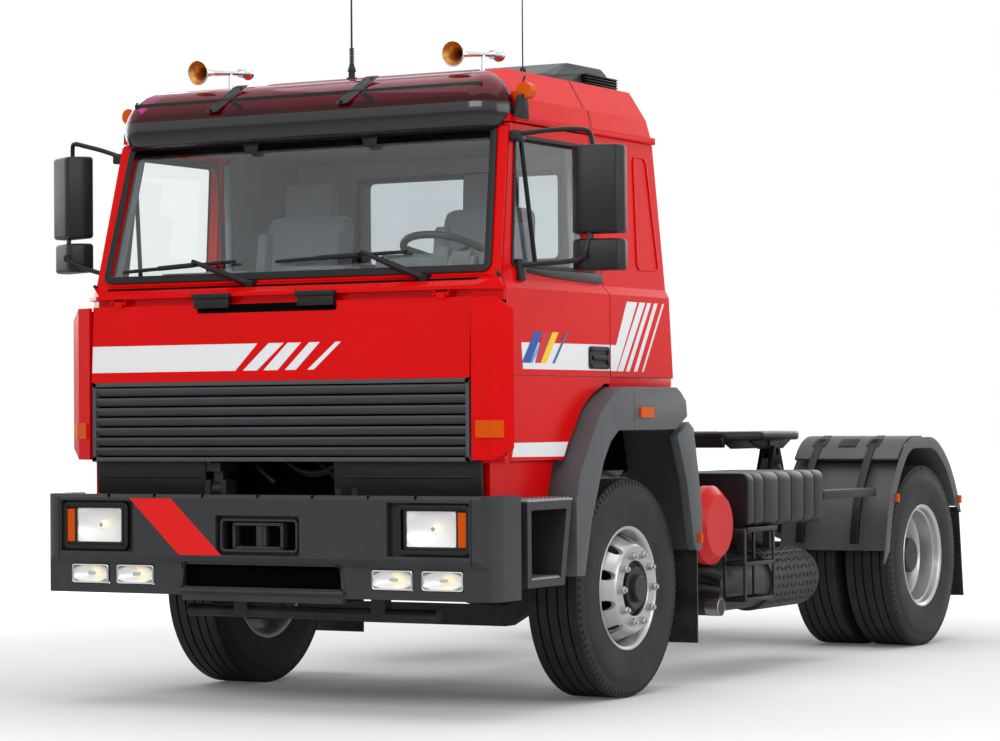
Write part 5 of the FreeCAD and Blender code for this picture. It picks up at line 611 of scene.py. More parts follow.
# Headlamps and fog lamps: a black housing around each pressed reflector, with its bulb
# behind a clear lens, and an amber flasher on the outer side of each headlamp.
# Black trim plastic; the same black also draws the thin painted shade line of the cab's crease.
trim_and_shade_black = finish("TrimAndShadeBlack", shade(24, 25, 26), 0.45, [(GRAIN, {"Size": 650.0})])
chrome = finish("Chrome", shade(222, 224, 226), 0.09, [(PAINT, {"Peel": 0.15, "Drift": 0.1})], metallic=1.0)


def ends(side, inner, outer):
    """The two ends of a piece across the truck on one side, the low one first."""
    return tuple(sorted((side * inner, side * outer)))


def brick(form, across, ahead, up, soft=0.0, rounding=0.0, along="X"):
    """A box between a low and a high value each way, its corners rounded as seen along one axis."""
    (left, right), (back, front), (low, high) = across, ahead, up
    if along == "Y":
        corners = [at(left, front, low), at(right, front, low), at(right, front, high),
                   at(left, front, high)]
        depth = (0, front - back, 0)
    elif along == "X":
        corners = [at(left, front, low), at(left, front, high), at(left, back, high), at(left, back, low)]
        depth = (right - left, 0, 0)
    else:
        corners = [at(left, front, low), at(right, front, low), at(right, back, low), at(left, back, low)]
        depth = (0, 0, high - low)
    slab(form, corners, depth, rounding, soft=soft)


def rod(form, start, end, radius, sides=16, tip=None):
    """A round bar from one point to another, which may taper."""
    start, end = Vector(start), Vector(end)
    spot = (Matrix.Translation((start + end) / 2)
            @ (end - start).to_track_quat("Z", "Y").to_matrix().to_4x4())
    bmesh.ops.create_cone(form, cap_ends=True, segments=sides, radius1=radius,
                          radius2=radius if tip is None else tip, depth=(end - start).length, matrix=spot)


def clear(name, colour, roughness, ior=1.45, **sockets):
    """Glass or acrylic that lets lamps through to what is behind it."""
    material = finish(name, colour, roughness, transmission_weight=1.0, ior=ior, **sockets)
    tree = material.node_tree
    through = node(tree, "MixShader", {
        0: node(tree, "LightPath").outputs["Is Shadow Ray"],
        1: tree.nodes["Principled BSDF"].outputs[0],
        2: node(tree, "BsdfTransparent", {"Color": colour}).outputs[0]})
    tree.links.new(through.outputs[0], tree.nodes["Material Output"].inputs["Surface"])
    return material


def reflector(form, across, ahead, up, bowl):
    """A bright dished reflector behind a lamp's lens, as a mesh that curves back to its bulb."""
    (left, right), (low, high) = across, up
    made = bmesh.ops.create_grid(form, x_segments=16, y_segments=16, size=0.5)["verts"]
    for corner in made:
        reach = min(1.0, (2 * corner.co.x) ** 2 * 0.9 + (2 * corner.co.y) ** 2 * 0.9)
        corner.co = at((left + right) / 2 + corner.co.x * (right - left), ahead - bowl * (1 - reach),
                       (low + high) / 2 + corner.co.y * (high - low))


# Painted reflection: the reflectors are near-white and mostly diffuse, so that they read as bright as a lit
# chrome bowl without mirroring the dark around them.
painted_bright_reflector = finish("ReflectorPaintedBright", shade(246, 244, 240), 0.3,
                      [(BRUSH, {"Across": 160.0, "Depth": 0.5})], 0.0006, metallic=0.25)
lens_glass = clear("LampLens", shade(246, 248, 250), 0.02)
amber_lens = finish("AmberLens", shade(214, 84, 2), 0.24, [(PAINT, {"Peel": 0.3})], specular_ior_level=0.15)
amber_back = finish("AmberBack", shade(255, 120, 10), 0.5, [(PAINT, {"Peel": 0.2})])
warm_bulb = finish("BulbGlass", shade(255, 226, 176), 0.2, [(PAINT, {"Peel": 0.1})],
                   emission_color=shade(255, 214, 150), emission_strength=1.6)
LAMP_UP = (0.782, 0.942)
LAMP_FRAME = (0.775, 1.118)
BULB_ACROSS, BULB_UP = 0.92, 0.862
FLASHER_ACROSS, FLASHER_UP = (1.064, 1.110), (0.79, 0.935)
FOG_PLACES = ((0.605, 0.820), (0.868, 1.083))
FOG_UP = (0.585, 0.675)
FOG_RIM = 0.006
frames, mirrors, lenses, flashers, flasher_backs, bulbs, bezels = (bmesh.new() for number in range(7))
for side in (1, -1):
    inner, outer = ends(side, 0.745, 1.127)
    front_plate(frames, 1.448, [(inner, 0.745), (outer, 0.745), (outer, 0.972), (inner, 0.972)], 0.027,
                0.03, 0.022, 0.004)
    inner, outer = ends(side, *LAMP_FRAME)
    front_plate(frames, 1.438, [(inner, 0.766), (outer, 0.766), (outer, 0.957), (inner, 0.957)], 0.020,
                0.016, 0.014, 0.003)
    brick(frames, ends(side, 1.050, 1.062), (1.42, 1.438), (0.775, 0.95), 0.002)
    brick(frames, (inner, outer), (1.386, 1.39), (0.766, 0.957))
    reflector(mirrors, ends(side, 0.79, 1.052), 1.426, LAMP_UP, 0.032)
    brick(lenses, ends(side, 0.789, 1.050), (1.430, 1.436), LAMP_UP, 0.002, 0.012, "Y")
    brick(flashers, ends(side, *FLASHER_ACROSS), (1.428, 1.434), FLASHER_UP, 0.002, 0.005, "Y")
    brick(flasher_backs, ends(side, *FLASHER_ACROSS), (1.405, 1.409), FLASHER_UP)
    foot, tip, cap = (at(side * BULB_ACROSS, ahead, BULB_UP) for ahead in (1.394, 1.416, 1.419))
    rod(bulbs, foot, tip, 0.016, 20, 0.010)
    rod(bezels, tip, cap, 0.011, 20, 0.009)
    for low_end, high_end in FOG_PLACES:
        inner, outer = ends(side, low_end, high_end)
        front_plate(bezels, 1.437, [(inner, FOG_UP[0]), (outer, FOG_UP[0]), (outer, FOG_UP[1]),
                                    (inner, FOG_UP[1])], 0.016, 0.014, 0.008, 0.0025)
        pane_across = (inner + FOG_RIM, outer - FOG_RIM)
        pane_up = (FOG_UP[0] + FOG_RIM, FOG_UP[1] - FOG_RIM)
        reflector(mirrors, pane_across, 1.430, pane_up, 0.04)
        brick(lenses, pane_across, (1.430, 1.434), pane_up, 0.001, 0.009, "Y")
        middle = (inner + outer) / 2
        brick(bezels, (middle - 0.022, middle + 0.022), (1.412, 1.422), (0.622, 0.640), 0.003)
        rod(bulbs, at(middle - 0.014, 1.404, 0.631), at(middle + 0.014, 1.404, 0.631), 0.007)
lamp_parts = (("LampHousings", frames, trim_and_shade_black, "mirror_black"),
              ("LampReflectors", mirrors, painted_bright_reflector, "lamp_glass"),
              ("LampLenses", lenses, lens_glass, "lamp_glass"),
              ("FlasherLenses", flashers, amber_lens, "amber_lens"),
              ("FlasherBacks", flasher_backs, amber_back, "amber_lens"),
              ("LampBulbs", bulbs, warm_bulb, "lamp_glass"),
              ("LampBezels", bezels, chrome, "rim_silver"))
for name, form, material, slot in lamp_parts:
    piece = mesh_piece(name, form, material, "chassis")
    smooth(piece, 30)
    if name == "LampHousings":
        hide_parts("headlamps")

# Towing eye and lower inlet: a moulded frame in the bumper's middle, with a smaller one and an
# upright pin inside it, and a rim around the air inlet under it. Plates in a near-black matt close
# the hollows behind both: painted shade, so that the hollows read dark.
# The near-black matt is painted shade in hollows, slots and gaps, and also the colour of the dark seams
# between the bumper's parts.
shade_and_seam_black = finish("ShadeAndSeamBlack", shade(9, 9, 10), 0.9, [(GRAIN, {"Size": 300.0})], specular_ior_level=0.05)
form = bmesh.new()
front_plate(form, 1.449, [(-0.215, 0.745), (0.215, 0.745), (0.215, 0.9), (-0.215, 0.9)], 0.028, 0.024,
            0.012, 0.004)
front_plate(form, 1.44, [(-0.15, 0.757), (0.13, 0.757), (0.13, 0.882), (-0.15, 0.882)], 0.05, 0.008,
            0.014, 0.003)
rod(form, at(-0.012, 1.41, 0.765), at(-0.012, 1.41, 0.875), 0.022)
front_plate(form, 1.432, [(-0.46, 0.565), (0.46, 0.565), (0.445, 0.70), (-0.445, 0.70)], 0.02, 0.012,
            0.016, 0.004)
brick(form, (-0.46, 0.46), (1.40, 1.452), (0.556, 0.574), 0.006)
smooth(mesh_piece("BumperMouldings", form, bumper_grey, "chassis"), 30)
form = bmesh.new()
brick(form, (-0.45, 0.45), (1.386, 1.389), (0.56, 0.72))
brick(form, (-0.23, 0.23), (1.386, 1.389), (0.73, 0.915))
mesh_piece("BumperShadowPlates", form, shade_and_seam_black, "chassis")
form = bmesh.new()
for side in (1, -1):
    brick(form, ends(side, 1.1385, 1.1415), (1.4595, 1.4606), (0.70, 1.0))
for across in (-0.85, -0.585, -0.31, 0.0, 0.30, 0.60, 0.85):
    brick(form, (across - 0.002, across + 0.002), (1.33, 1.4602), (0.996, 1.0103))
mesh_piece("BumperSeams", form, shade_and_seam_black, "chassis")

# Fascia under the hatch: two dark moulded panels between the grille and the bumper, with near-black
# plates as painted shade and the ends of three rubber coolant hoses in the gap between them.


def bent_tube(form, points, radius, sides=10):
    """A tube along a smooth path through a few points."""
    path = bpy.data.curves.new("Path", "CURVE")
    path.dimensions = "3D"
    path.bevel_depth = radius
    path.bevel_resolution = sides // 4
    path.resolution_u = 8
    path.use_fill_caps = True
    line = path.splines.new("NURBS")
    line.points.add(len(points) - 1)
    for spot, point in zip(line.points, points):
        spot.co = (*point, 1)
    line.order_u = 3
    line.use_endpoint_u = True
    holder = bpy.data.objects.new("Path", path)
    bpy.context.scene.collection.objects.link(holder)
    bpy.context.view_layer.update()
    mesh = bpy.data.meshes.new_from_object(holder.evaluated_get(bpy.context.evaluated_depsgraph_get()))
    form.from_mesh(mesh)
    bpy.data.meshes.remove(mesh)
    bpy.data.objects.remove(holder)
    bpy.data.curves.remove(path)


form = bmesh.new()
for low_end, high_end in ((-1.055, -0.42), (0.30, 1.085)):
    slab(form, spots([(low_end, 1.262, 0.985), (high_end, 1.262, 0.985), (high_end, 1.272, 1.166),
                      (low_end, 1.272, 1.166)]), (0, 0.02, 0), 0.01, soft=0.004)
    brick(form, (low_end + 0.05, high_end - 0.05), (1.262, 1.272), (1.085, 1.10), 0.003)
smooth(mesh_piece("LowerFascia", form, trim_and_shade_black, "cab"), 30)
# Painted shade: near-black plates behind the fascia's gap and inside the corner panels' vents.
form = bmesh.new()
brick(form, (-0.75, 0.40), (1.075, 1.080), (0.995, 1.30))
for side in (1, -1):
    brick(form, ends(side, 1.03, 1.18), (1.196, 1.200), (1.19, 1.89))
mesh_piece("FrontShadowPlates", form, shade_and_seam_black, "cab")
form = bmesh.new()
for radius, path in ((0.020, [(-0.06, 1.10, 1.16), (0.02, 1.13, 1.115), (0.14, 1.13, 1.10),
                              (0.22, 1.12, 1.14)]),
                     (0.016, [(0.10, 1.10, 1.19), (0.16, 1.13, 1.13), (0.235, 1.13, 1.09),
                              (0.24, 1.12, 1.02)]),
                     (0.018, [(-0.26, 1.10, 1.18), (-0.20, 1.13, 1.12), (-0.12, 1.12, 1.06)])):
    bent_tube(form, spots(path), radius, 16)
smooth(mesh_piece("CoolantHoses", form, trim_and_shade_black, "cab"), 60)

# Cab panels: pressed steel in gloss red over the shell, the doors and the hatch.
# The floor pan under them is sprayed in chassis black.
cab_red = finish("CabRed", RED, 0.24, [(PAINT, {})], specular_ior_level=0.14)
dress(cab_red, "cab_shell", "cab_roof", "door_left", "door_right", "front_panel", "corner_panels")
dress(chassis_black, "cab_floor")

# Grille: seven sloped louvres of charcoal plastic in a frame, which swings with the hatch.
GRILLE_HALF = 1.05
GRILLE_UP = (1.162, 1.540)
LOUVRE_COUNT = 7
LOUVRE_PITCH = 0.0475
LOUVRE_HALF = 1.035
grille_grey = finish("GrilleGrey", shade(76, 78, 81), 0.42, [(GRAIN, {"Size": 650.0})])
form = bmesh.new()
front_plate(form, 1.313, [(-GRILLE_HALF, GRILLE_UP[0]), (GRILLE_HALF, GRILLE_UP[0]),
                          (GRILLE_HALF, GRILLE_UP[1]), (-GRILLE_HALF, GRILLE_UP[1])], 0.040, 0.008, 0.02,
            0.003)
for number in range(LOUVRE_COUNT):
    low = GRILLE_UP[0] + 0.022 + number * LOUVRE_PITCH
    slope = [(1.306, low + 0.0445), (1.311, low + 0.041), (1.311, low + 0.034), (1.288, low + 0.006),
             (1.281, low + 0.009), (1.294, low + 0.040)]
    side_plate(form, 1, -LOUVRE_HALF, slope, 2 * LOUVRE_HALF)
# Painted shade: a near-black plate behind the louvres, so that the gaps between them read dark.
back = bmesh.new()
brick(back, (-LOUVRE_HALF, LOUVRE_HALF), (1.272, 1.276), (1.17, 1.535))
mesh_piece("GrilleBackShade", back, shade_and_seam_black, "hatch")
piece = mesh_piece("GrilleLouvres", form, grille_grey, "hatch")
smooth(piece, 25)
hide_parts("grille")

# Hatch trim: a white band that ends in slanted bars, and two black handles over the slot.
HATCH_LOW, HATCH_HIGH = 1.540, 1.905
HATCH_FACE, HATCH_TOP_FACE = 1.313, 1.297
BAND_UP = (1.588, 1.715)


def on_hatch(across, up):
    """A point just off the hatch's sloping face."""
    share = (up - HATCH_LOW) / (HATCH_HIGH - HATCH_LOW)
    return at(across, HATCH_FACE + (HATCH_TOP_FACE - HATCH_FACE) * share + 0.0002, up)


film_white = finish("StripeWhite", shade(236, 238, 240), 0.35, [(PAINT, {"Peel": 0.3, "Drift": 0.02})])
form = bmesh.new()
for low_left, low_right, high_left, high_right in (
        (-1.050, -0.217, -1.050, -0.094), (-0.174, -0.094, -0.032, 0.053), (-0.059, 0.021, 0.074, 0.149),
        (0.061, 0.122, 0.194, 0.253), (0.186, 0.221, 0.338, 0.368)):
    slab(form, [on_hatch(low_left, BAND_UP[0]), on_hatch(low_right, BAND_UP[0]),
                on_hatch(high_right, BAND_UP[1]), on_hatch(high_left, BAND_UP[1])],
         (0, -STRIPE_THICKNESS, 0))
mesh_piece("HatchStripes", form, film_white, "hatch")
form = bmesh.new()
for left, right in ((-0.461, -0.243), (0.121, 0.341)):
    brick(form, (left, right), (1.300, 1.326), (1.930, 1.955), 0.006)
    brick(form, (left + 0.01, right - 0.01), (1.297, 1.315), (1.885, 1.932), 0.003)
smooth(mesh_piece("HatchHandles", form, trim_and_shade_black, "cab"), 30)
# Painted shade: a thin near-black sheet on the hatch face where the slot is recessed.
form = bmesh.new()
slab(form, [on_hatch(-0.44, 1.862), on_hatch(0.34, 1.862), on_hatch(0.34, 1.903), on_hatch(-0.44, 1.903)],
     (0, -0.0008, 0), 0.012)
mesh_piece("HatchSlotShade", form, shade_and_seam_black, "hatch")

# Seats and bunk: foam cushions under grey woven cloth. Two seats with side bolsters and head
# rests stand on steel boxes, and a mattress lies along the rear wall.
seat_cloth = finish("SeatCloth", shade(92, 97, 103), 0.85, [(GRAIN, {"Size": 420.0, "Depth": 1.0})],
                    sheen_weight=0.3)


def cushion(name, across, ahead, up, crown, lean=0.0):
    """A padded block with crowned faces and soft corners, which may lean back."""
    (left, right), (back, front), (low, high) = across, ahead, up
    size = Vector((right - left, front - back, high - low))
    form = bmesh.new()
    bmesh.ops.create_cube(form, size=1.0)
    bmesh.ops.bevel(form, geom=form.edges[:], offset=0.12, segments=2, profile=0.5, affect="EDGES",
                    material=-1)
    bmesh.ops.subdivide_edges(form, edges=form.edges[:], cuts=2, use_grid_fill=True)
    thin = min(range(3), key=lambda axis: size[axis])
    for corner in form.verts:
        spread = [1 - (2 * corner.co[axis]) ** 2 for axis in range(3) if axis != thin]
        corner.co[thin] *= 1 - crown + crown * max(0.0, spread[0]) * max(0.0, spread[1])
    bmesh.ops.scale(form, vec=size, verts=form.verts[:])
    bmesh.ops.translate(form, vec=at((left + right) / 2, (back + front) / 2, (low + high) / 2),
                        verts=form.verts[:])
    for corner in form.verts:
        corner.co.y += (corner.co.z - low) * lean
    bmesh.ops.recalc_face_normals(form, faces=form.faces[:])
    made = mesh_piece(name, form, seat_cloth, "cab")
    rounder = made.modifiers.new("Rounder", "SUBSURF")
    rounder.levels = 1
    rounder.render_levels = 1
    smooth(made, 80)
    return made


SIDES = ((1, "left"), (-1, "right"))
SEAT_PLACE = 0.52
SEAT_LEAN = 0.13
form = bmesh.new()
for side, end in SIDES:
    place = side * SEAT_PLACE
    base = cushion("SeatBase_" + end, (place - 0.25, place + 0.25), (0.18, 0.68), (1.80, 1.955), 0.12)
    if side == 1:
        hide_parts("seats")
    cushion("SeatBack_" + end, (place - 0.235, place + 0.235), (0.17, 0.30), (1.90, 2.385), 0.2, SEAT_LEAN)
    for wing in (-1, 1):
        cushion("SeatBolster_" + end + ("_in" if wing == -side else "_out"),
                tuple(sorted((place + wing * 0.185, place + wing * 0.248))), (0.20, 0.345), (1.95, 2.30),
                0.1, SEAT_LEAN)
    cushion("HeadRest_" + end, (place - 0.14, place + 0.14), (0.125, 0.215), (2.365, 2.555), 0.15,
            SEAT_LEAN * 0.4)
    for stem in (-0.05, 0.05):
        rod(form, at(place + stem, 0.17, 2.34), at(place + stem, 0.165, 2.42), 0.007)
    brick(form, (place - 0.20, place + 0.20), (0.24, 0.60), (1.62, 1.80), 0.02)
smooth(mesh_piece("SeatFrames", form, trim_and_shade_black, "cab"), 30)
cushion("BunkMattress", (-1.0, 1.0), (-0.40, 0.01), (1.80, 1.95), 0.1)

# Cab lining: pale grey panels inside the shell, which are pressed fibre in real cabs.
# They cover the roof, the rear wall round its window, and the sides behind the doors.
LINING_HALF = 1.005
SCREEN_FOOT, SCREEN_FOOT_UP = 1.168, 2.010
SCREEN_HEAD, SCREEN_HEAD_UP = 0.995, 2.730


def on_screen(across, up, proud=0.002):
    """A point just off the sloping face of the windscreen."""
    share = (up - SCREEN_FOOT_UP) / (SCREEN_HEAD_UP - SCREEN_FOOT_UP)
    return at(across, SCREEN_FOOT + (SCREEN_HEAD - SCREEN_FOOT) * share + proud, up)


lining = finish("LiningGrey", shade(136, 143, 148), 0.8, [(GRAIN, {"Size": 300.0, "Depth": 0.4})])
form = bmesh.new()
brick(form, (-1.03, 1.03), (-0.415, 0.96), (2.696, 2.706), 0.003)
for across, up in (((-LINING_HALF, LINING_HALF), (1.62, 2.14)), ((-0.99, 0.99), (2.62, 2.70)),
                   ((-LINING_HALF, -0.61), (2.14, 2.62)), ((0.61, LINING_HALF), (2.14, 2.62))):
    brick(form, across, (-0.415, -0.405), up)
for side in (1, -1):
    slab(form, spots([(LINING_HALF, 0.13, 1.62), (LINING_HALF, -0.40, 1.62), (0.985, -0.40, 2.70),
                      (0.985, 0.22, 2.70)], side), (side * 0.006, 0, 0))
    rod(form, *spots([(0.99, 0.24, 2.66), (1.0, 0.20, 1.70)], side), 0.018)
mesh_piece("CabLining", form, lining, "cab")
pillar_grey = finish("PillarGrey", shade(70, 75, 79), 0.7, [(GRAIN, {"Size": 300.0, "Depth": 0.4})])
form = bmesh.new()
front_plate(form, -0.40, [(-0.607, 2.143), (0.607, 2.143), (0.607, 2.617), (-0.607, 2.617)], 0.105, 0.05,
            0.022)
for side in (1, -1):
    slab(form, [on_screen(side * 1.075, 2.03, -0.026), on_screen(side * 1.015, 2.03, -0.045),
                on_screen(side * 0.975, 2.70, -0.045), on_screen(side * 1.035, 2.70, -0.026)], (0, 0.008, 0))
mesh_piece("PillarTrims", form, pillar_grey, "cab")
rear_tint = clear("RearTint", shade(196, 202, 206), 0.0, 1.1)
form = bmesh.new()
brick(form, (-0.60, 0.60), (-0.42, -0.417), (2.15, 2.61))
mesh_piece("RearWindowTint", form, rear_tint, "cab")
for side, end in SIDES:
    form = bmesh.new()
    side_plate(form, side, 1.030, [(1.06, 1.66), (0.21, 1.66), (0.22, 2.04), (1.05, 2.04)], 0.005)
    brick(form, ends(side, 0.975, 1.03), (0.35, 0.80), (1.86, 1.90), 0.012)
    side_plate(form, side, 1.034, [(1.110, 2.00), (0.160, 2.00), (0.215, 2.705), (0.985, 2.705)], -0.004,
               0.03, 0.062)
    mesh_piece("DoorLining_" + end, form, pillar_grey, end + "_door")

# Dashboard: a moulded shelf across the cab with a hooded instrument panel, and the
# steering column with its flat four-spoke wheel.
SHELF_HALF = 0.99
WHEEL_CENTRE = at(0.640, 0.80, 2.135)
WHEEL_RADIUS = 0.225
WHEEL_RIM = 0.018
WHEEL_TILT = 22
dash_grey = finish("DashGrey", shade(84, 90, 94), 0.6, [(GRAIN, {"Size": 420.0})])
form = bmesh.new()
shelf = [(1.135, 2.030), (1.150, 1.80), (0.98, 1.70), (0.90, 1.72), (0.80, 1.90), (0.79, 1.98),
         (0.83, 2.035), (0.96, 2.062), (1.08, 2.062)]
side_plate(form, 1, -SHELF_HALF, shelf, 2 * SHELF_HALF, 0.012, soft=0.004)
hood = [(1.04, 2.02), (1.02, 2.105), (0.96, 2.128), (0.86, 2.110), (0.84, 2.09), (0.87, 2.00)]
side_plate(form, 1, 0.38, hood, 0.54, 0.012, soft=0.012)
brick(form, (-0.14, 0.20), (0.84, 1.00), (2.02, 2.082), 0.015)
brick(form, (-0.85, -0.35), (0.86, 1.02), (2.02, 2.072), 0.012)
for left, right, high in ((0.70, 0.78, 2.150), (0.80, 0.90, 2.128), (0.945, 0.975, 2.115)):
    brick(form, (left, right), (0.98, 1.03), (2.05, high), 0.006)
piece = mesh_piece("Dashboard", form, dash_grey, "cab")
smooth(piece, 30)
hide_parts("dashboard")
form = bmesh.new()
part = bmesh.new()
rim_place = (Matrix.Translation((WHEEL_RADIUS - WHEEL_RIM, 0, 0))
             @ Matrix.Rotation(math.radians(90), 4, "X"))
ring = bmesh.ops.create_circle(part, segments=14, radius=WHEEL_RIM, matrix=rim_place)["verts"]
bmesh.ops.spin(part, geom=ring + part.edges[:], cent=(0, 0, 0), axis=(0, 0, 1), angle=math.tau, steps=56,
               use_merge=True)
for spoke in (25, 155, 205, 335):
    turn = Matrix.Rotation(math.radians(spoke), 4, "Z")
    rod(part, turn @ Vector((0.03, 0, -0.04)), turn @ Vector((WHEEL_RADIUS - WHEEL_RIM, 0, 0)), 0.017,
        10, 0.010)
rod(part, (0, 0, -0.06), (0, 0, -0.02), 0.055, 28, 0.045)
rod(part, (0, 0, -0.42), (0, 0, -0.05), 0.030, 20)
bmesh.ops.recalc_face_normals(part, faces=part.faces[:])
bmesh.ops.transform(part, verts=part.verts[:], matrix=Matrix.Translation(WHEEL_CENTRE)
                    @ Matrix.Rotation(math.radians(-WHEEL_TILT), 4, "X"))
merged(form, part)
smooth(mesh_piece("SteeringWheel", form, trim_and_shade_black, "cab"), 40)

# Windows and small lamps: clear glass in the windscreen and the doors, moulded amber acrylic
# in the marker lamps and red acrylic in the tail lamps. The panes sit in rubber seals.
window_glass = clear("WindowGlass", shade(248, 251, 251), 0.0)
dress(window_glass, "cab_glass", "door_glass_left", "door_glass_right")
dress(amber_lens, "cab_lamps", "marker_lamps")
tail_red = clear("TailLens", shade(200, 10, 10), 0.1)
dress(tail_red, "tail_lamps")

# Antennas: two tapered steel whips on the roof. The one in the middle stands on a black base
# with a spring, and the one at the side on a small cone.
WHIP_TOP = 4.135
MIDDLE_WHIP, SIDE_WHIP = (0.093, 0.76), (0.944, 0.60)
COIL_FOOT, COIL_PITCH, COIL_COUNT = 3.062, 0.012, 7
form = bmesh.new()
for low, high, radius, sides, tip in ((2.985, 3.000, 0.030, 24, 0.024), (3.000, 3.030, 0.016, 20, None),
                                      (3.030, 3.060, 0.022, 20, 0.012)):
    rod(form, at(*MIDDLE_WHIP, low), at(*MIDDLE_WHIP, high), radius, sides, tip)
for turn in range(COIL_COUNT):
    low = COIL_FOOT + turn * COIL_PITCH
    rod(form, at(*MIDDLE_WHIP, low), at(*MIDDLE_WHIP, low + 0.008), 0.0125, 16, 0.011)
rod(form, at(*MIDDLE_WHIP, 3.060), at(*MIDDLE_WHIP, WHIP_TOP), 0.0055, 10, 0.0022)
rod(form, at(*SIDE_WHIP, 2.985), at(*SIDE_WHIP, 3.010), 0.020, 20, 0.012)
rod(form, at(*SIDE_WHIP, 3.005), at(*SIDE_WHIP, WHIP_TOP), 0.0035, 10, 0.0018)
piece = mesh_piece("Antennas", form, trim_and_shade_black, "cab")
smooth(piece, 40)
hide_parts("antennas")

# Wipers: pressed steel arms in satin black on two spindles under the windscreen, each
# with a bridged rubber blade.
form = bmesh.new()
for pivot, elbow, blade in (((-0.204, 2.000), (-0.553, 2.118), ((-0.967, 2.078), (-0.318, 2.112))),
                            ((0.753, 2.000), (0.396, 2.134), ((-0.086, 2.104), (0.632, 2.127)))):
    foot = on_screen(pivot[0], pivot[1], 0.006)
    rod(form, foot + Vector((0, 0.01, 0)), foot + Vector((0, -0.040, -0.004)), 0.024, 20, 0.020)
    bend = on_screen(elbow[0] * 0.6 + pivot[0] * 0.4, elbow[1] * 0.6 + pivot[1] * 0.4, 0.036)
    rod(form, foot + Vector((0, -0.026, 0)), bend, 0.0165, 8, 0.0145)
    rod(form, bend, on_screen(elbow[0], elbow[1], 0.034), 0.0135, 8, 0.011)
    start, end = (Vector(spot) for spot in blade)
    for share_a, share_b, proud, thick in ((0.0, 1.0, 0.014, 0.0085), (0.10, 0.90, 0.026, 0.0085),
                                           (0.34, 0.66, 0.036, 0.012)):
        low, high = start.lerp(end, share_a), start.lerp(end, share_b)
        rod(form, on_screen(low.x, low.y, proud), on_screen(high.x, high.y, proud), thick, 6)
piece = mesh_piece("Wipers", form, trim_and_shade_black, "cab")
smooth(piece, 40)
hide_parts("wipers")

# Window seals: black rubber around the windscreen and the door windows, with the bar of
# the quarter light in each door.
seal_rubber = finish("SealRubber", shade(20, 21, 22), 0.5, [(GRAIN, {"Size": 500.0, "Depth": 0.3})])


def side_slope(up):
    """How far the cab's side lies from the middle at a height."""
    return 1.130 if up < 1.99 else 1.130 + (1.090 - 1.130) * (up - 1.99) / (2.73 - 1.99)


def sloped_plate(form, side, outline, depth, *finish_of_edges, **soft_edges):
    """A plate on one side of the cab, which leans in with it, from its outline ahead and up."""
    slab(form, [at(side * (side_slope(up) + 0.001), ahead, up) for ahead, up in outline],
         (side * depth, 0, 0), *finish_of_edges, **soft_edges)


form = bmesh.new()
slab(form, [on_screen(-1.088, 2.022), on_screen(1.088, 2.022), on_screen(1.035, 2.715),
            on_screen(-1.035, 2.715)], (0, -0.010, 0), 0.05, 0.036, 0.004)
piece = mesh_piece("ScreenSeal", form, seal_rubber, "cab")
smooth(piece, 30)
for side, end in SIDES:
    form = bmesh.new()
    sloped_plate(form, side, [(1.058, 2.047), (0.960, 2.662), (0.230, 2.662), (0.222, 2.047)], 0.006,
                 0.03, 0.018, 0.002)
    rod(form, at(side * 1.122, 0.817, 2.07), at(side * 1.094, 0.898, 2.65), 0.011)
    smooth(mesh_piece("DoorSeal_" + end, form, seal_rubber, end + "_door"), 30)

# Sun visor: a bent sheet of smoked purple acrylic with rounded ends, its lower lip black,
# on two bolted brackets. A dark strip and its two clips show on the glass below it.
VISOR_SECTION = [(1.066, 2.684), (1.080, 2.708), (1.094, 2.745), (1.098, 2.775), (1.094, 2.810),
                 (1.082, 2.845), (1.062, 2.880), (1.034, 2.912), (0.998, 2.940), (0.958, 2.958),
                 (0.925, 2.966)]
VISOR_TURN = 0.925
VISOR_END = 0.920
LIP_TOP = 2.822
visor_purple = clear("VisorAcrylic", shade(122, 34, 84), 0.05, 1.3)
visor_lip = finish("VisorLip", shade(34, 33, 36), 0.22, [(PAINT, {"Peel": 0.3})], coat_weight=0.5)
form = bmesh.new()
row = [form.verts.new(at(-VISOR_END, ahead, up)) for ahead, up in VISOR_SECTION]
line = [form.edges.new(pair) for pair in zip(row, row[1:])]
grown = bmesh.ops.extrude_edge_only(form, edges=line)["geom"]
carried(form, grown, (2 * VISOR_END, 0, 0))
for side in (-1, 1):
    rims = [edge for edge in form.edges
            if all(abs(corner.co.x - side * VISOR_END) < 1e-5 for corner in edge.verts)]
    corners = list({corner for edge in rims for corner in edge.verts})
    bmesh.ops.spin(form, geom=corners + rims, cent=at(side * VISOR_END, VISOR_TURN, 0), axis=(0, 0, 1),
                   angle=side * math.radians(80), steps=8)
bmesh.ops.remove_doubles(form, verts=form.verts[:], dist=0.0005)
bmesh.ops.recalc_face_normals(form, faces=form.faces[:])
visor = mesh_piece("SunVisor", form, visor_purple, "cab")
visor.data.materials.append(visor_lip)
for face in visor.data.polygons:
    face.material_index = int(face.center.z < LIP_TOP)
wall = visor.modifiers.new("Wall", "SOLIDIFY")
wall.thickness = 0.004
smooth(visor, 60)
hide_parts("sun_visor")
form = bmesh.new()
for place in (-0.44, 0.30):
    slab(form, spots([(place - 0.09, 1.108, 2.835), (place - 0.02, 1.108, 2.835),
                      (place + 0.09, 0.99, 2.968), (place + 0.01, 0.99, 2.968)]), (0, 0.006, 0.004),
         0.012, soft=0.002)
    for across, ahead, up in ((place - 0.055, 1.112, 2.852), (place + 0.05, 1.0, 2.962)):
        rod(form, at(across, ahead, up), at(across, ahead - 0.012, up - 0.008), 0.008, 12)
    rod(form, at(place, 1.02, 2.90), at(place, 0.88, 2.86), 0.012)
brick(form, (-0.98, 0.98), (1.045, 1.052), (2.885, 2.905), 0.002)
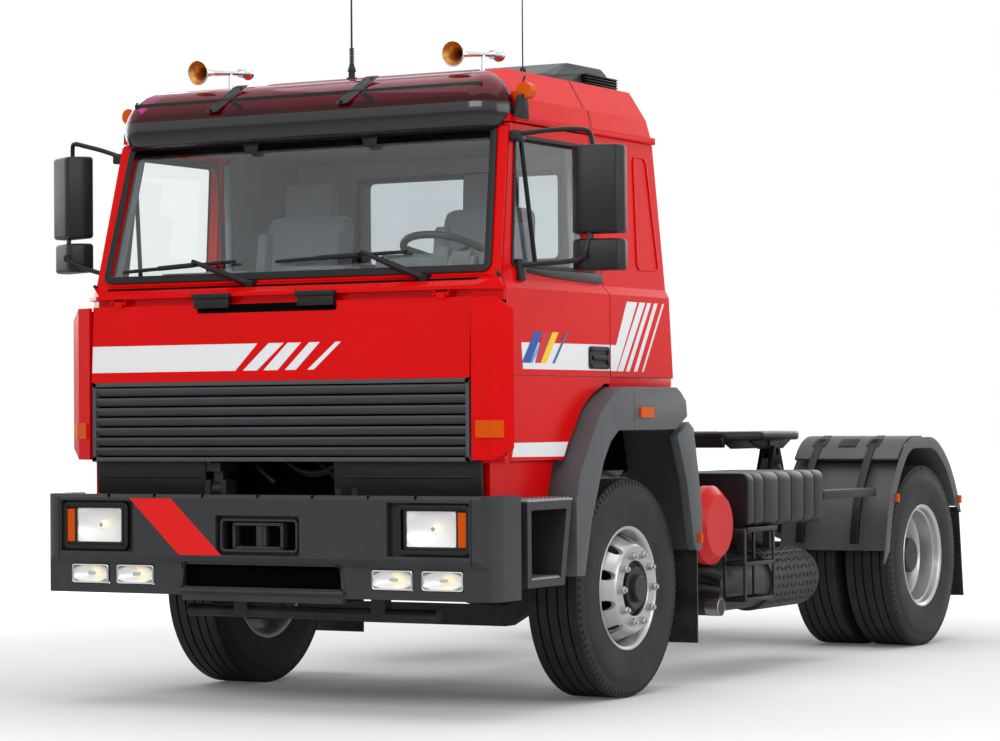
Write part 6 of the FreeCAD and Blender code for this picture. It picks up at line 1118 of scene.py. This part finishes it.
smooth(mesh_piece("VisorBrackets", form, trim_and_shade_black, "cab"), 30)
smoke = clear("SmokeStrip", shade(66, 62, 70), 0.05, 1.1)
form = bmesh.new()
slab(form, [on_screen(-1.012, 2.645, 0.001), on_screen(1.012, 2.645, 0.001), on_screen(1.005, 2.728, 0.001),
            on_screen(-1.005, 2.728, 0.001)], (0, -0.0015, 0))
mesh_piece("SmokeStrip", form, smoke, "cab")
form = bmesh.new()
for place in (-0.31, 0.36):
    slab(form, [on_screen(place - 0.03, 2.635, 0.02), on_screen(place + 0.035, 2.635, 0.02),
                on_screen(place + 0.05, 2.715, 0.03), on_screen(place - 0.06, 2.715, 0.03)],
         (0, 0.012, 0), 0.01, soft=0.003)
smooth(mesh_piece("VisorClips", form, trim_and_shade_black, "cab"), 30)

# Air horns: chromed trumpets on the roof's front edge, their bells lined with brass, each
# with its round driver behind and a foot under it.
HORN_PLACE = 0.722
HORN_OFFSET = 0.032
HORN_BACK = 0.44
HORN_RISE = 5
HORN_UP = 3.056
HORN_FRONT = 0.930
HORN_FOOT = 0.650
HORN_BELL = [(0.000, 0.058), (0.003, 0.0605), (0.007, 0.059), (0.020, 0.044), (0.040, 0.031), (0.070, 0.021),
             (0.120, 0.0155), (0.200, 0.0125), (0.330, 0.010)]
brass = finish("HornBrass", shade(206, 148, 88), 0.3, [(BRUSH, {"Depth": 0.2})], metallic=1.0)
for side, end in SIDES:
    form = bmesh.new()
    place = side * HORN_PLACE + HORN_OFFSET
    mouth = at(place, HORN_FRONT, HORN_UP)
    turned = Matrix.Translation(mouth) @ Matrix.Rotation(math.radians(90), 4, "Z")
    part = bmesh.new()
    spun(part, HORN_BELL + [(along, radius - 0.0025) for along, radius in reversed(HORN_BELL)], Vector(), 40)
    bmesh.ops.transform(part, matrix=turned, verts=part.verts[:])
    merged(form, part)
    part = bmesh.new()
    bmesh.ops.create_uvsphere(part, u_segments=24, v_segments=14, radius=0.034)
    bmesh.ops.scale(part, vec=(1, 0.8, 1), verts=part.verts[:])
    bmesh.ops.translate(part, vec=at(place, HORN_FRONT - HORN_BACK, HORN_UP), verts=part.verts[:])
    merged(form, part)
    rod(form, at(place, HORN_FRONT - 0.37, HORN_UP), at(place, HORN_FRONT - HORN_BACK + 0.02, HORN_UP),
        0.022)
    rod(form, at(place, HORN_FRONT - 0.30, HORN_UP), at(place, HORN_FRONT - 0.38, HORN_UP), 0.0105)
    bmesh.ops.rotate(form, cent=mouth, matrix=Matrix.Rotation(math.radians(HORN_RISE), 3, "X"),
                     verts=form.verts[:])
    rod(form, at(place, HORN_FOOT, HORN_UP + 0.02), at(place, HORN_FOOT, 2.978), 0.012)
    rod(form, at(place, HORN_FOOT, 2.990), at(place, HORN_FOOT, 2.978), 0.026)
    horn = mesh_piece("AirHorn_" + end, form, chrome, "cab")
    horn.data.materials.append(brass)
    for face in horn.data.polygons:
        middle = face.center - mouth
        radius = math.hypot(middle.x, middle.z)
        faces_in = face.normal.dot(Vector((middle.x, 0, middle.z))) < 0
        face.material_index = int(middle.y < 0.12 and faces_in and radius < 0.058)
    smooth(horn, 50)
    if side == 1:
        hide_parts("air_horns")

# Mirrors: a tall and a wide-angle head on each side, in black moulded housings with the
# glass to the rear, on two bent arms from the door's front edge.
MIRROR_NEAR, MIRROR_FAR = 1.304, 1.557
MIRROR_BACK = 0.790
UPPER_ARM = [(1.106, 0.975, 2.655), (1.20, 0.955, 2.672), (1.33, 0.910, 2.684), (1.395, 0.875, 2.682),
             (1.413, 0.86, 2.655), (1.415, 0.855, 2.590)]
LOWER_ARM = [(1.135, 0.985, 2.055), (1.20, 0.975, 2.063), (1.30, 0.945, 2.070), (1.375, 0.925, 2.082),
             (1.400, 0.915, 2.108), (1.408, 0.905, 2.165), (1.412, 0.885, 2.225)]
MIRROR_AIM = {"left": 9, "right": 24}
MIRROR_SHIFT = {"left": (0.0, 0.065, -0.004), "right": (0.0, -0.125, 0.060)}
mirror_black = finish("MirrorBlack", shade(28, 29, 31), 0.42, [(GRAIN, {"Size": 600.0})])
mirror_glass = finish("MirrorGlass", shade(200, 206, 210), 0.02,
                      [(PAINT, {"Peel": 0.02, "Drift": 0.01})], metallic=1.0)
for side, end in SIDES:
    shell, glass = bmesh.new(), bmesh.new()
    aim = MIRROR_AIM[end]
    shift = Vector(MIRROR_SHIFT[end])
    heads, panes = bmesh.new(), bmesh.new()
    for low, high, depth in ((2.205, 2.612, 0.115), (2.035, 2.180, 0.105)):
        plan = [(MIRROR_NEAR, MIRROR_BACK), (MIRROR_NEAR + 0.004, MIRROR_BACK + 0.055),
                (MIRROR_NEAR + 0.045, MIRROR_BACK + depth),
                (MIRROR_NEAR + 0.075, MIRROR_BACK + 0.005 + depth),
                (MIRROR_FAR - 0.02, MIRROR_BACK - 0.015 + depth),
                (MIRROR_FAR, MIRROR_BACK + 0.045), (MIRROR_FAR, MIRROR_BACK)]
        slab(heads, [at(side * across, ahead, low) for across, ahead in plan], (0, 0, high - low), 0.010,
             soft=0.016)
        face = [at(side * across, MIRROR_BACK - 0.001, up) for across, up in (
            (MIRROR_NEAR + 0.02, low + 0.02), (MIRROR_FAR - 0.02, low + 0.02),
            (MIRROR_FAR - 0.02, high - 0.02), (MIRROR_NEAR + 0.02, high - 0.02))]
        slab(panes, face, (0, 0.004, 0), 0.02)
    pivot = Matrix.Translation(at(side * (MIRROR_NEAR + MIRROR_FAR) / 2, MIRROR_BACK + 0.055, 0))
    turn = Matrix.Rotation(side * math.radians(aim), 4, "Z")
    turned = Matrix.Translation(shift) @ pivot @ turn @ pivot.inverted()
    for part, kept in ((heads, shell), (panes, glass)):
        bmesh.ops.transform(part, verts=part.verts[:], matrix=turned)
        merged(kept, part)
    for arm in (UPPER_ARM, LOWER_ARM):
        bent_tube(shell, [point + shift * min(1.0, number / 3) for number, point in
                          enumerate(spots(arm, side))], 0.0115)
    for up, low_up in ((2.675, 2.625), (2.085, 1.985)):
        brick(shell, ends(side, 1.096, 1.150), (0.945, 1.010), (low_up, up), 0.010)
    rod(shell, at(side * 1.398, 0.915, 2.105) + shift, at(side * 1.398, 0.932, 2.105) + shift, 0.018, 20)
    piece = mesh_piece("Mirror_" + end, shell, mirror_black, end + "_door")
    smooth(piece, 30)
    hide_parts("mirror_" + end)
    mesh_piece("MirrorGlass_" + end, glass, mirror_glass, end + "_door")

# Side stripes: on each side a white band on the door with slanted bars in five colours,
# and five white bars behind it on the cab's rear corner.
BARS_FOOT, BARS_TOP = 1.580, 1.920
SIDE_PROUD = 1.1502
film_colours = {"Blue": shade(20, 82, 170), "Sky": shade(110, 170, 215), "Scarlet": shade(206, 30, 48),
                "Yellow": shade(250, 208, 20), "Navy": shade(44, 100, 160)}
slanted = {"Blue": ((0.881, 0.805, 1.755), (1.003, 0.922, 1.610)),
           "Sky": ((0.838, 0.806, 1.702), (0.922, 0.901, 1.610)),
           "Scarlet": ((0.801, 0.708, 1.755), (0.879, 0.826, 1.610)),
           "Yellow": ((0.708, 0.648, 1.755), (0.826, 0.772, 1.610)),
           "Navy": ((0.577, 0.556, 1.755), (0.712, 0.689, 1.610))}
rear_bars = ((0.194, 0.258, -0.047), (0.280, 0.322, 0.041), (0.355, 0.394, 0.127),
             (0.446, 0.466, 0.215))
for side, end in SIDES:
    form = bmesh.new()
    side_plate(form, side, SIDE_PROUD, [(1.006, 1.703), (0.992, 1.581), (0.129, 1.581), (0.129, 1.706)],
               STRIPE_THICKNESS)
    side_plate(form, side, SIDE_PROUD, [(1.078, 1.244), (1.100, 1.180), (0.600, 1.176), (0.560, 1.244)],
               STRIPE_THICKNESS)
    mesh_piece("DoorBand_" + end, form, film_white, end + "_door")
    for number, (name, (top, low)) in enumerate(slanted.items()):
        form = bmesh.new()
        slab(form, [at(side * (SIDE_PROUD + STRIPE_THICKNESS), ahead, up) for ahead, up in (
            (top[0], top[2]), (top[1], top[2]), (low[1], low[2]), (low[0], low[2]))],
             (side * STRIPE_THICKNESS * (1 + number * 0.2), 0, 0))
        colour = finish("Stripe" + name + end.title(), film_colours[name], 0.35,
                        [(PAINT, {"Peel": 0.3, "Drift": 0.02})])
        mesh_piece("DoorBar_" + name + "_" + end, form, colour, end + "_door")
    form = bmesh.new()
    side_plate(form, side, SIDE_PROUD, [(0.117, BARS_FOOT), (0.117, 1.706), (0.060, 1.706),
                                        (-0.058, BARS_TOP), (-0.171, BARS_TOP), (0.056, BARS_FOOT)],
               STRIPE_THICKNESS)
    for top_front, top_rear, low_front in rear_bars:
        low_rear = low_front + (top_rear - top_front) * 0.95
        side_plate(form, side, SIDE_PROUD, [(-top_front, BARS_TOP), (-top_rear, BARS_TOP),
                                            (-low_rear, BARS_FOOT), (-low_front, BARS_FOOT)],
                   STRIPE_THICKNESS)
    mesh_piece("CornerBars_" + end, form, film_white, "cab")

# Coupling plate: a thick cast horseshoe with a rounded edge and a slot to the rear for the
# trailer's pin. Ribs under it carry its two bearings, so it rides on the coupling.


def at_rear(across, ahead, up):
    """A point by its distance ahead of the rear axle."""
    return Vector((across, REAR_AXLE.y - ahead, up))


PLATE_TOP = 1.268
PLATE_WALL = 0.052
half_plan = [(0.300, 0.775), (0.475, 0.610), (0.475, 0.080), (0.410, -0.075), (0.300, -0.155),
             (0.150, -0.155), (0.038, 0.230), (0.038, 0.320)]
plan = half_plan + [(-across, ahead) for across, ahead in reversed(half_plan)]
form = bmesh.new()
slab(form, [at_rear(across, ahead, PLATE_TOP) for across, ahead in plan], (0, 0, -PLATE_WALL), 0.035,
     soft=0.014)
for side in (1, -1):
    for across in (0.395, 0.22):
        rib = [at_rear(side * across, 0.66, 1.225), at_rear(side * across, 0.02, 1.225),
               at_rear(side * across, 0.16, 1.165), at_rear(side * across, 0.50, 1.165)]
        slab(form, rib, (side * 0.016, 0, 0), soft=0.003)
    rod(form, at_rear(side * 0.36, 0.315, 1.145), at_rear(side * 0.43, 0.315, 1.145), 0.038, 24)
    slab(form, [at_rear(side * 0.365, 0.385, 1.225), at_rear(side * 0.365, 0.245, 1.225),
                at_rear(side * 0.365, 0.28, 1.125), at_rear(side * 0.365, 0.35, 1.125)],
         (side * 0.055, 0, 0), 0.01, soft=0.004)
rear_axle_ahead = FRONT_AXLE.y - REAR_AXLE.y
brick(form, (-0.30, 0.30), (rear_axle_ahead + 0.735, rear_axle_ahead + 0.772), (1.175, 1.235), 0.008)
piece = mesh_piece("CouplingPlate", form, greased, "coupling")
smooth(piece, 30)
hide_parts("fifth_wheel_plate")

# Rear fenders: one pressed plastic cover over each pair of wheels, with rounded shoulders
# and a flange at its outer edge. Two webbing straps hold the cover's upper part.
FENDER_OUTER = 1.245
FENDER_WIDTH = 0.680
FENDER_SHAPE = [(0.640, 0.500), (0.556, 0.86), (0.372, 1.122), (0.235, 1.228), (-0.170, 1.228),
                (-0.380, 1.102), (-0.515, 0.93), (-0.592, 0.765)]
FENDER_BEND = 0.085


def fender_sheet(form, across, width, flange=0.0, back=-1.0, low=0.0):
    """The fender's outline as a bent sheet of a width, which may have a flange at one edge."""
    part = bmesh.new()
    part.faces.new([part.verts.new(at_rear(across, ahead, up)) for ahead, up in FENDER_SHAPE])
    bends = [corner for corner in part.verts if corner.co.z > FENDER_SHAPE[-1][1] + 0.01]
    bmesh.ops.bevel(part, geom=bends, offset=FENDER_BEND, segments=5, profile=0.5, affect="VERTICES",
                    material=-1)
    foot = max(part.edges, key=lambda edge: edge.calc_length())
    outline = [edge for edge in part.edges if edge is not foot]
    if flange:
        rim = bmesh.ops.inset_region(part, faces=part.faces[:], thickness=flange, use_boundary=True,
                                     use_even_offset=True)["faces"]
        gone = [face for face in part.faces if face not in rim or foot in face.edges[:]]
        bmesh.ops.delete(part, geom=gone, context="FACES")
    else:
        bmesh.ops.delete(part, geom=part.faces[:], context="FACES_ONLY")
        bmesh.ops.delete(part, geom=[foot], context="EDGES")
    grown = bmesh.ops.extrude_edge_only(part, edges=outline)["geom"]
    carried(part, grown, (-width if across > 0 else width, 0, 0))
    for spot, way in (((0, REAR_AXLE.y - back, 0), (0, 1, 0)), ((0, 0, low), (0, 0, -1))):
        bmesh.ops.bisect_plane(part, geom=part.verts[:] + part.edges[:] + part.faces[:], plane_co=spot,
                               plane_no=way, clear_outer=True)
    bmesh.ops.remove_doubles(part, verts=part.verts[:], dist=0.0003)
    bmesh.ops.recalc_face_normals(part, faces=part.faces[:])
    merged(form, part)


def walled(piece, thickness, soft=0.0):
    """Give a sheet its thickness, half to each side, and soft edges."""
    wall = piece.modifiers.new("Wall", "SOLIDIFY")
    wall.thickness = thickness
    wall.offset = 0
    if soft:
        edges = piece.modifiers.new("Edges", "BEVEL")
        edges.width = soft
        edges.segments = 2
        edges.limit_method = "ANGLE"
        edges.angle_limit = math.radians(50)


for side, end in SIDES:
    form = bmesh.new()
    fender_sheet(form, side * FENDER_OUTER, FENDER_WIDTH, 0.060, low=0.505)
    piece = mesh_piece("RearFender_" + end, form, arch_grey, "chassis")
    walled(piece, 0.010, 0.003)
    smooth(piece, 40)
    if side == 1:
        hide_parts("rear_fenders")
    form = bmesh.new()
    fender_sheet(form, side * (FENDER_OUTER - 0.012), FENDER_WIDTH - 0.03, back=0.0, low=1.10)
    piece = mesh_piece("FenderCover_" + end, form, arch_grey, "chassis")
    walled(piece, 0.018, 0.003)
    smooth(piece, 40)
    form = bmesh.new()
    for strap in (1.075, 0.735):
        fender_sheet(form, side * strap, 0.048, back=0.175, low=0.62)
        fender_sheet(form, side * (strap + 0.016), 0.080, back=0.235, low=1.168)
    fender_sheet(form, side * 0.945, 0.11, back=0.24, low=1.165)
    piece = mesh_piece("FenderStraps_" + end, form, trim_and_shade_black, "chassis")
    walled(piece, 0.030, 0.003)
    smooth(piece, 40)
    form = bmesh.new()
    brick(form, ends(side, 1.10, 1.20), (-3.09, -2.34), (0.895, 0.945), 0.004)
    for ahead in (-3.10, -3.70, -4.15):
        rod(form, at(side * 0.42, ahead, 0.97), at(side * 0.60, ahead, 1.06), 0.022)
    smooth(mesh_piece("FenderBracket_" + end, form, chassis_black, "chassis"), 30)

# Fuel tanks: a rounded black tank on each side, pressed with wide bands that leave narrow
# grooves between them, with a flat bar under it and a filler cap on top.
TANK_FRONT, TANK_BACK = -1.340, -2.338
BAND_EDGES = (0.0, 0.085, 0.205, 0.395, 0.560, 0.730, 0.870, 0.998)
form = bmesh.new()
caps = bmesh.new()
for side in (1, -1):
    bands = ends(side, 0.602, 1.198)
    core = ends(side, 0.606, 1.190)
    brick(form, core, (TANK_BACK + 0.006, TANK_FRONT - 0.006), (0.783, 1.052), 0.004, 0.04, "Y")
    for start, end in zip(BAND_EDGES, BAND_EDGES[1:]):
        brick(form, bands, (TANK_FRONT - end + 0.004, TANK_FRONT - start - 0.004), (0.776, 1.060), 0.006,
              0.045, "Y")
    brick(form, ends(side, 1.15, 1.204), (TANK_FRONT - 0.36, TANK_FRONT + 0.012), (0.752, 0.776), 0.004)
    rod(caps, at(side * 1.02, TANK_BACK + 0.09, 1.058), at(side * 1.02, TANK_BACK + 0.09, 1.061), 0.05, 28)
piece = mesh_piece("FuelTanks", form, tank_black, "chassis")
smooth(piece, 30)
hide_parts("fuel_tanks")
mesh_piece("TankCaps", caps, trim_and_shade_black, "chassis")

# Side step: a light frame of black flat bar with two narrow treads, which hangs beside the
# silencer from two arms under the tank.
STEP_FRONT, STEP_BACK = -1.297, -1.658
form = bmesh.new()
for ahead in (STEP_FRONT, STEP_BACK):
    for across in (1.082, 1.197):
        brick(form, (across - 0.006, across + 0.006), (ahead - 0.010, ahead + 0.010), (0.392, 0.768), 0.002)
    brick(form, (0.43, 1.20), (ahead - 0.012, ahead + 0.012), (0.748, 0.770), 0.003)
for up in (0.388, 0.575):
    brick(form, (1.078, 1.203), (STEP_BACK - 0.006, STEP_FRONT + 0.006), (up, up + 0.020), 0.004)
    for bar in range(9):
        ahead = STEP_FRONT - 0.02 - bar * (STEP_FRONT - STEP_BACK - 0.04) / 8
        brick(form, (1.084, 1.198), (ahead - 0.004, ahead + 0.004), (up + 0.018, up + 0.025))
piece = mesh_piece("SideStep", form, tank_black, "chassis")
smooth(piece, 30)
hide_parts("side_step")

# Silencer guard: rows of pressed studs on the silencer's rear half, and the bright end of the
# tail pipe. Two black rubber hoses and the stub they lead to lie in front of it.
GUARD_PLACE, GUARD_HEIGHT, GUARD_RADIUS = 0.900, 0.462, 0.163
GUARD_FRONT, GUARD_BACK = -1.955, -2.565
form = bmesh.new()
for row in range(9):
    turn = math.radians(-45 + row * 17)
    for place in range(11):
        ahead = GUARD_FRONT - 0.035 - place * (GUARD_FRONT - GUARD_BACK - 0.07) / 10
        middle = Vector((GUARD_PLACE, FRONT_AXLE.y - ahead, GUARD_HEIGHT))
        spot = (Matrix.Translation(middle) @ Matrix.Rotation(-turn, 4, "Y")
                @ Matrix.Translation((GUARD_RADIUS, 0, 0))
                @ Matrix.Rotation(math.radians(35 if (row + place) % 2 else -35), 4, "X"))
        stud = bmesh.ops.create_icosphere(form, subdivisions=1, radius=0.5)["verts"]
        bmesh.ops.scale(form, vec=(0.018, 0.044, 0.018), verts=stud)
        bmesh.ops.transform(form, matrix=spot, verts=stud)
smooth(mesh_piece("SilencerStuds", form, exhaust_steel, "chassis"), 60)
pipe_steel = finish("PipeSteel", shade(176, 176, 174), 0.28, [(BRUSH, {"Depth": 0.2})], metallic=1.0)
form = bmesh.new()
spun(form, [(0.0, 0.0465), (0.075, 0.0465), (0.077, 0.044), (0.075, 0.0415), (0.01, 0.0415), (0.009, 0.0)],
     at(1.054, -1.150, 0.370), 36)
smooth(mesh_piece("TailPipe", form, pipe_steel, "chassis"), 40)
form = bmesh.new()
bent_tube(form, spots([(0.86, -1.00, 0.62), (0.95, -1.06, 0.57), (1.05, -1.12, 0.565),
                       (1.10, -1.19, 0.53)]), 0.034, 16)
bent_tube(form, spots([(0.86, -1.02, 0.52), (0.95, -1.10, 0.475), (1.04, -1.14, 0.47),
                       (1.09, -1.20, 0.45)]), 0.030, 16)
rod(form, at(0.98, -1.40, 0.665), at(0.98, -1.25, 0.665), 0.055, 28)
smooth(mesh_piece("IntakeHoses", form, seal_rubber, "chassis"), 40)

# Rear wheels: a silver steel rim that steps down to a deep dished disc, with the dark hub
# and its nuts inside. The inner wheel is bolted back to back with it.
REAR_LIP = [(0.119, 0.2865), (0.127, 0.299), (0.1345, 0.3015), (0.1385, 0.298), (0.1365, 0.290),
            (0.126, 0.279), (0.100, 0.274), (0.096, 0.262), (0.070, 0.258), (0.020, 0.252),
            (0.006, 0.240), (-0.030, 0.232), (-0.075, 0.215), (-0.092, 0.195), (-0.096, 0.13),
            (-0.106, 0.13), (-0.104, 0.20), (-0.085, 0.224), (-0.040, 0.242), (-0.10, 0.262),
            (-0.128, 0.284), (-0.134, 0.300), (-0.126, 0.300), (-0.119, 0.2865)]
REAR_HUB = [(-0.20, 0.0), (-0.20, 0.125), (-0.096, 0.128), (-0.090, 0.118), (0.010, 0.112),
            (0.030, 0.104), (0.060, 0.100), (0.068, 0.090), (0.070, 0.0)]
for side, end, spin in ((1, "left", "wheel_rl"), (-1, "right", "wheel_rr")):
    low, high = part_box("tyres_rear_" + end)
    outer = Vector(((high.x - WALL_HALF) if side == 1 else (low.x + WALL_HALF), (low.y + high.y) / 2,
                    (low.z + high.z) / 2))
    inner = outer - Vector((side * (high.x - low.x - 2 * WALL_HALF), 0, 0))
    form = bmesh.new()
    spun(form, [(side * along, radius) for along, radius in REAR_LIP[:-1]], outer, RIM_STEPS)
    spun(form, [(-side * along, radius) for along, radius in REAR_LIP[:-1]], inner, RIM_STEPS)
    rim = mesh_piece("RearRims_" + end, form, silver, spin)
    smooth(rim, 32)
    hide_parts("rims_rear_" + end)
    form = bmesh.new()
    spun(form, [(side * along, radius) for along, radius in REAR_HUB], outer, 48)
    smooth(mesh_piece("RearHub_" + end, form, hub_black, spin), 32)
    form = bmesh.new()
    nut_ring(form, outer, side, -0.096)
    smooth(mesh_piece("RearNuts_" + end, form, silver, spin), 40)

# Step treads: aluminium plates with raised bars across them, which are laid into each step
# well below the doors.
tread_metal = finish("TreadMetal", shade(156, 157, 158), 0.4,
                     [(GRAIN, {"Size": 300.0}), (DUST, {"Amount": 0.3})], metallic=0.6)
form = bmesh.new()
for side in (1, -1):
    for height, front, back in ((0.975, 1.130, 0.70), (0.618, 1.125, 0.79)):
        outer_end = 1.247
        brick(form, ends(side, 1.03, outer_end), (back, front), (height, height + 0.012), 0.003)
        for bar in range(10):
            ahead = front - 0.03 - bar * (front - back - 0.06) / 9
            brick(form, ends(side, 1.04, outer_end - 0.006), (ahead - 0.006, ahead + 0.006),
                  (height + 0.010, height + 0.017))
smooth(mesh_piece("StepTreads", form, tread_metal, "cab"), 30)

# Cab trim: the red drip rail over the doors, the skirt behind them and a raised frame in the
# rear quarter, all of pressed steel, with dark seams, near-black plates inside the arches and a
# black sill under each door window. The plates in the arches are painted shade, standing for the
# arches' black liners, and a thin black line along the skirt's top and across the door is painted
# shade under the body crease.
form = bmesh.new()
marks = bmesh.new()
arch_liner_shade = bmesh.new()
tail_liner_shade = bmesh.new()
for side in (1, -1):
    bent_tube(form, spots([(1.099, 0.961, 2.726), (1.104, 0.3, 2.727), (1.104, -0.3, 2.727),
                           (1.099, -0.470, 2.724)], side), 0.009)
    sloped_plate(form, side, [(-0.235, 2.645), (-0.375, 2.645), (-0.455, 2.08), (-0.215, 2.08)], 0.006,
                 0.035, 0.008, 0.002)
    for seam in ([(1.0905, 0.180, 2.745), (1.0905, 0.177, 2.745), (1.0615, 0.164, 2.838),
                  (1.0615, 0.167, 2.838)],
                 [(1.0605, 0.205, 2.845), (1.0605, 0.202, 2.845), (0.9725, 0.187, 2.982),
                  (0.9725, 0.190, 2.982)]):
        slab(marks, spots(seam, side), (side * 0.0015, 0, 0))
    side_plate(form, side, 1.135, [(0.126, 1.500), (-0.548, 1.500), (-0.555, 1.556), (0.126, 1.556)],
               0.010, soft=0.002)
    # Painted shade: a thin black line just under the skirt's top edge, for the crease there.
    brick(marks, ends(side, 1.1495, 1.1505), (-0.553, 0.126), (1.5505, 1.5535))
    side_plate(marks, side, 1.2498, [(0.0685, 1.300), (0.0655, 1.300), (0.0655, 1.480), (0.0685, 1.480)],
               0.0005)
    # Painted shade: near-black plates inside the front arch and the arch tail, standing for their black
    # liners.
    side_plate(arch_liner_shade, side, 0.84, [(0.640, 1.09), (0.58, 1.30), (0.46, 1.42), (0.20, 1.48),
                                     (-0.36, 1.48), (-0.50, 1.36), (-0.52, 1.09)], 0.004)
    side_plate(tail_liner_shade, side, 0.86, [(-0.42, 1.09), (-0.42, 1.31), (-0.56, 1.31), (-0.63, 1.22),
                                          (-0.66, 1.09)], 0.004)
    rod(marks, at(side * 1.129, 1.165, 2.005), at(side * 1.129, 1.185, 2.014), 0.009, 14)
smooth(mesh_piece("CabTrim", form, cab_red, "cab"), 30)
mesh_piece("CabMarks", marks, trim_and_shade_black, "cab")
mesh_piece("ArchLinerShade", arch_liner_shade, shade_and_seam_black, "cab")
mesh_piece("TailLinerShade", tail_liner_shade, shade_and_seam_black, "chassis")
for side, end in SIDES:
    form = bmesh.new()
    sloped_plate(form, side, [(0.955, 2.046), (0.150, 2.046), (0.185, 1.996), (0.60, 2.006),
                              (0.90, 2.024)], 0.008, 0.01, soft=0.002)
    smooth(mesh_piece("WindowSill_" + end, form, trim_and_shade_black, end + "_door"), 30)
    form = bmesh.new()
    # Painted shade: the crease's thin black line carried on across the door.
    brick(form, ends(side, 1.1495, 1.1505), (0.129, 1.145), (1.5505, 1.5535))
    mesh_piece("DoorCreaseShade_" + end, form, trim_and_shade_black, end + "_door")

# Roof marker clamps: a black steel bracket on each side, which holds an amber lamp beside
# the visor on a short rod.
form = bmesh.new()
for side in (1, -1):
    slab(form, spots([(1.085, 0.965, 2.735), (1.085, 0.845, 2.735), (1.095, 0.875, 2.840),
                      (1.095, 0.930, 2.850)], side), (side * 0.030, 0, 0), 0.012, soft=0.004)
    rod(form, *spots([(1.10, 0.905, 2.800), (1.10, 0.905, 2.850)], side), 0.014)
    rod(form, *spots([(1.10, 0.890, 2.885), (1.10, 0.865, 2.935)], side), 0.006)
smooth(mesh_piece("MarkerClamps", form, trim_and_shade_black, "cab"), 30)

# Roof fairing: a low hood of black plastic, bolted along the roof, with a sloped nose. Each
# rear corner has slots between thin bars, made dark by a near-black block of painted shade behind them.
FAIRING_HALF = 0.915
fairing_black = finish("FairingBlack", shade(44, 46, 48), 0.4, [(GRAIN, {"Size": 500.0})])
form = bmesh.new()
hood = [(0.468, 2.984), (0.460, 2.992), (0.240, 3.030), (0.060, 3.086), (0.0, 3.098), (-0.345, 3.100),
        (-0.400, 3.078), (-0.440, 3.030), (-0.447, 2.984)]
side_plate(form, 1, -FAIRING_HALF, hood, 2 * FAIRING_HALF, soft=0.016)
for corner in form.verts:
    if corner.co.z > 3.02:
        corner.co.x *= 0.955
piece = mesh_piece("RoofFairing", form, fairing_black, "cab")
smooth(piece, 30)
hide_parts("roof_fairing")
form = bmesh.new()
back = bmesh.new()
for side in (1, -1):
    # Painted shade: a near-black block behind the bars, so that the slots read dark.
    brick(back, ends(side, 0.85, 0.9155), (-0.425, -0.10), (3.002, 3.052))
    for bar in range(4):
        up = 3.004 + bar * 0.0135
        brick(form, ends(side, 0.86, 0.921), (-0.43, -0.095), (up, up + 0.005), 0.001)
smooth(mesh_piece("FairingVents", form, trim_and_shade_black, "cab"), 30)
mesh_piece("FairingSlotShade", back, shade_and_seam_black, "cab")

# Door handles: a black plastic pull with its lock button, in a rounded dish at the rear edge
# of each door.
for side, end in SIDES:
    form = bmesh.new()
    side_plate(form, side, SIDE_PROUD, [(0.350, 1.588), (0.137, 1.588), (0.137, 1.696), (0.350, 1.696)],
               0.008, 0.02, 0.022, 0.002)
    side_plate(form, side, SIDE_PROUD, [(0.345, 1.592), (0.142, 1.592), (0.142, 1.692), (0.345, 1.692)],
               0.0015, 0.016)
    side_plate(form, side, SIDE_PROUD, [(0.315, 1.632), (0.150, 1.628), (0.150, 1.656), (0.315, 1.652)],
               0.014, 0.008, soft=0.003)
    rod(form, at(side * 1.150, 0.170, 1.641), at(side * 1.166, 0.170, 1.641), 0.014)
    smooth(mesh_piece("DoorHandle_" + end, form, trim_and_shade_black, end + "_door"), 30)
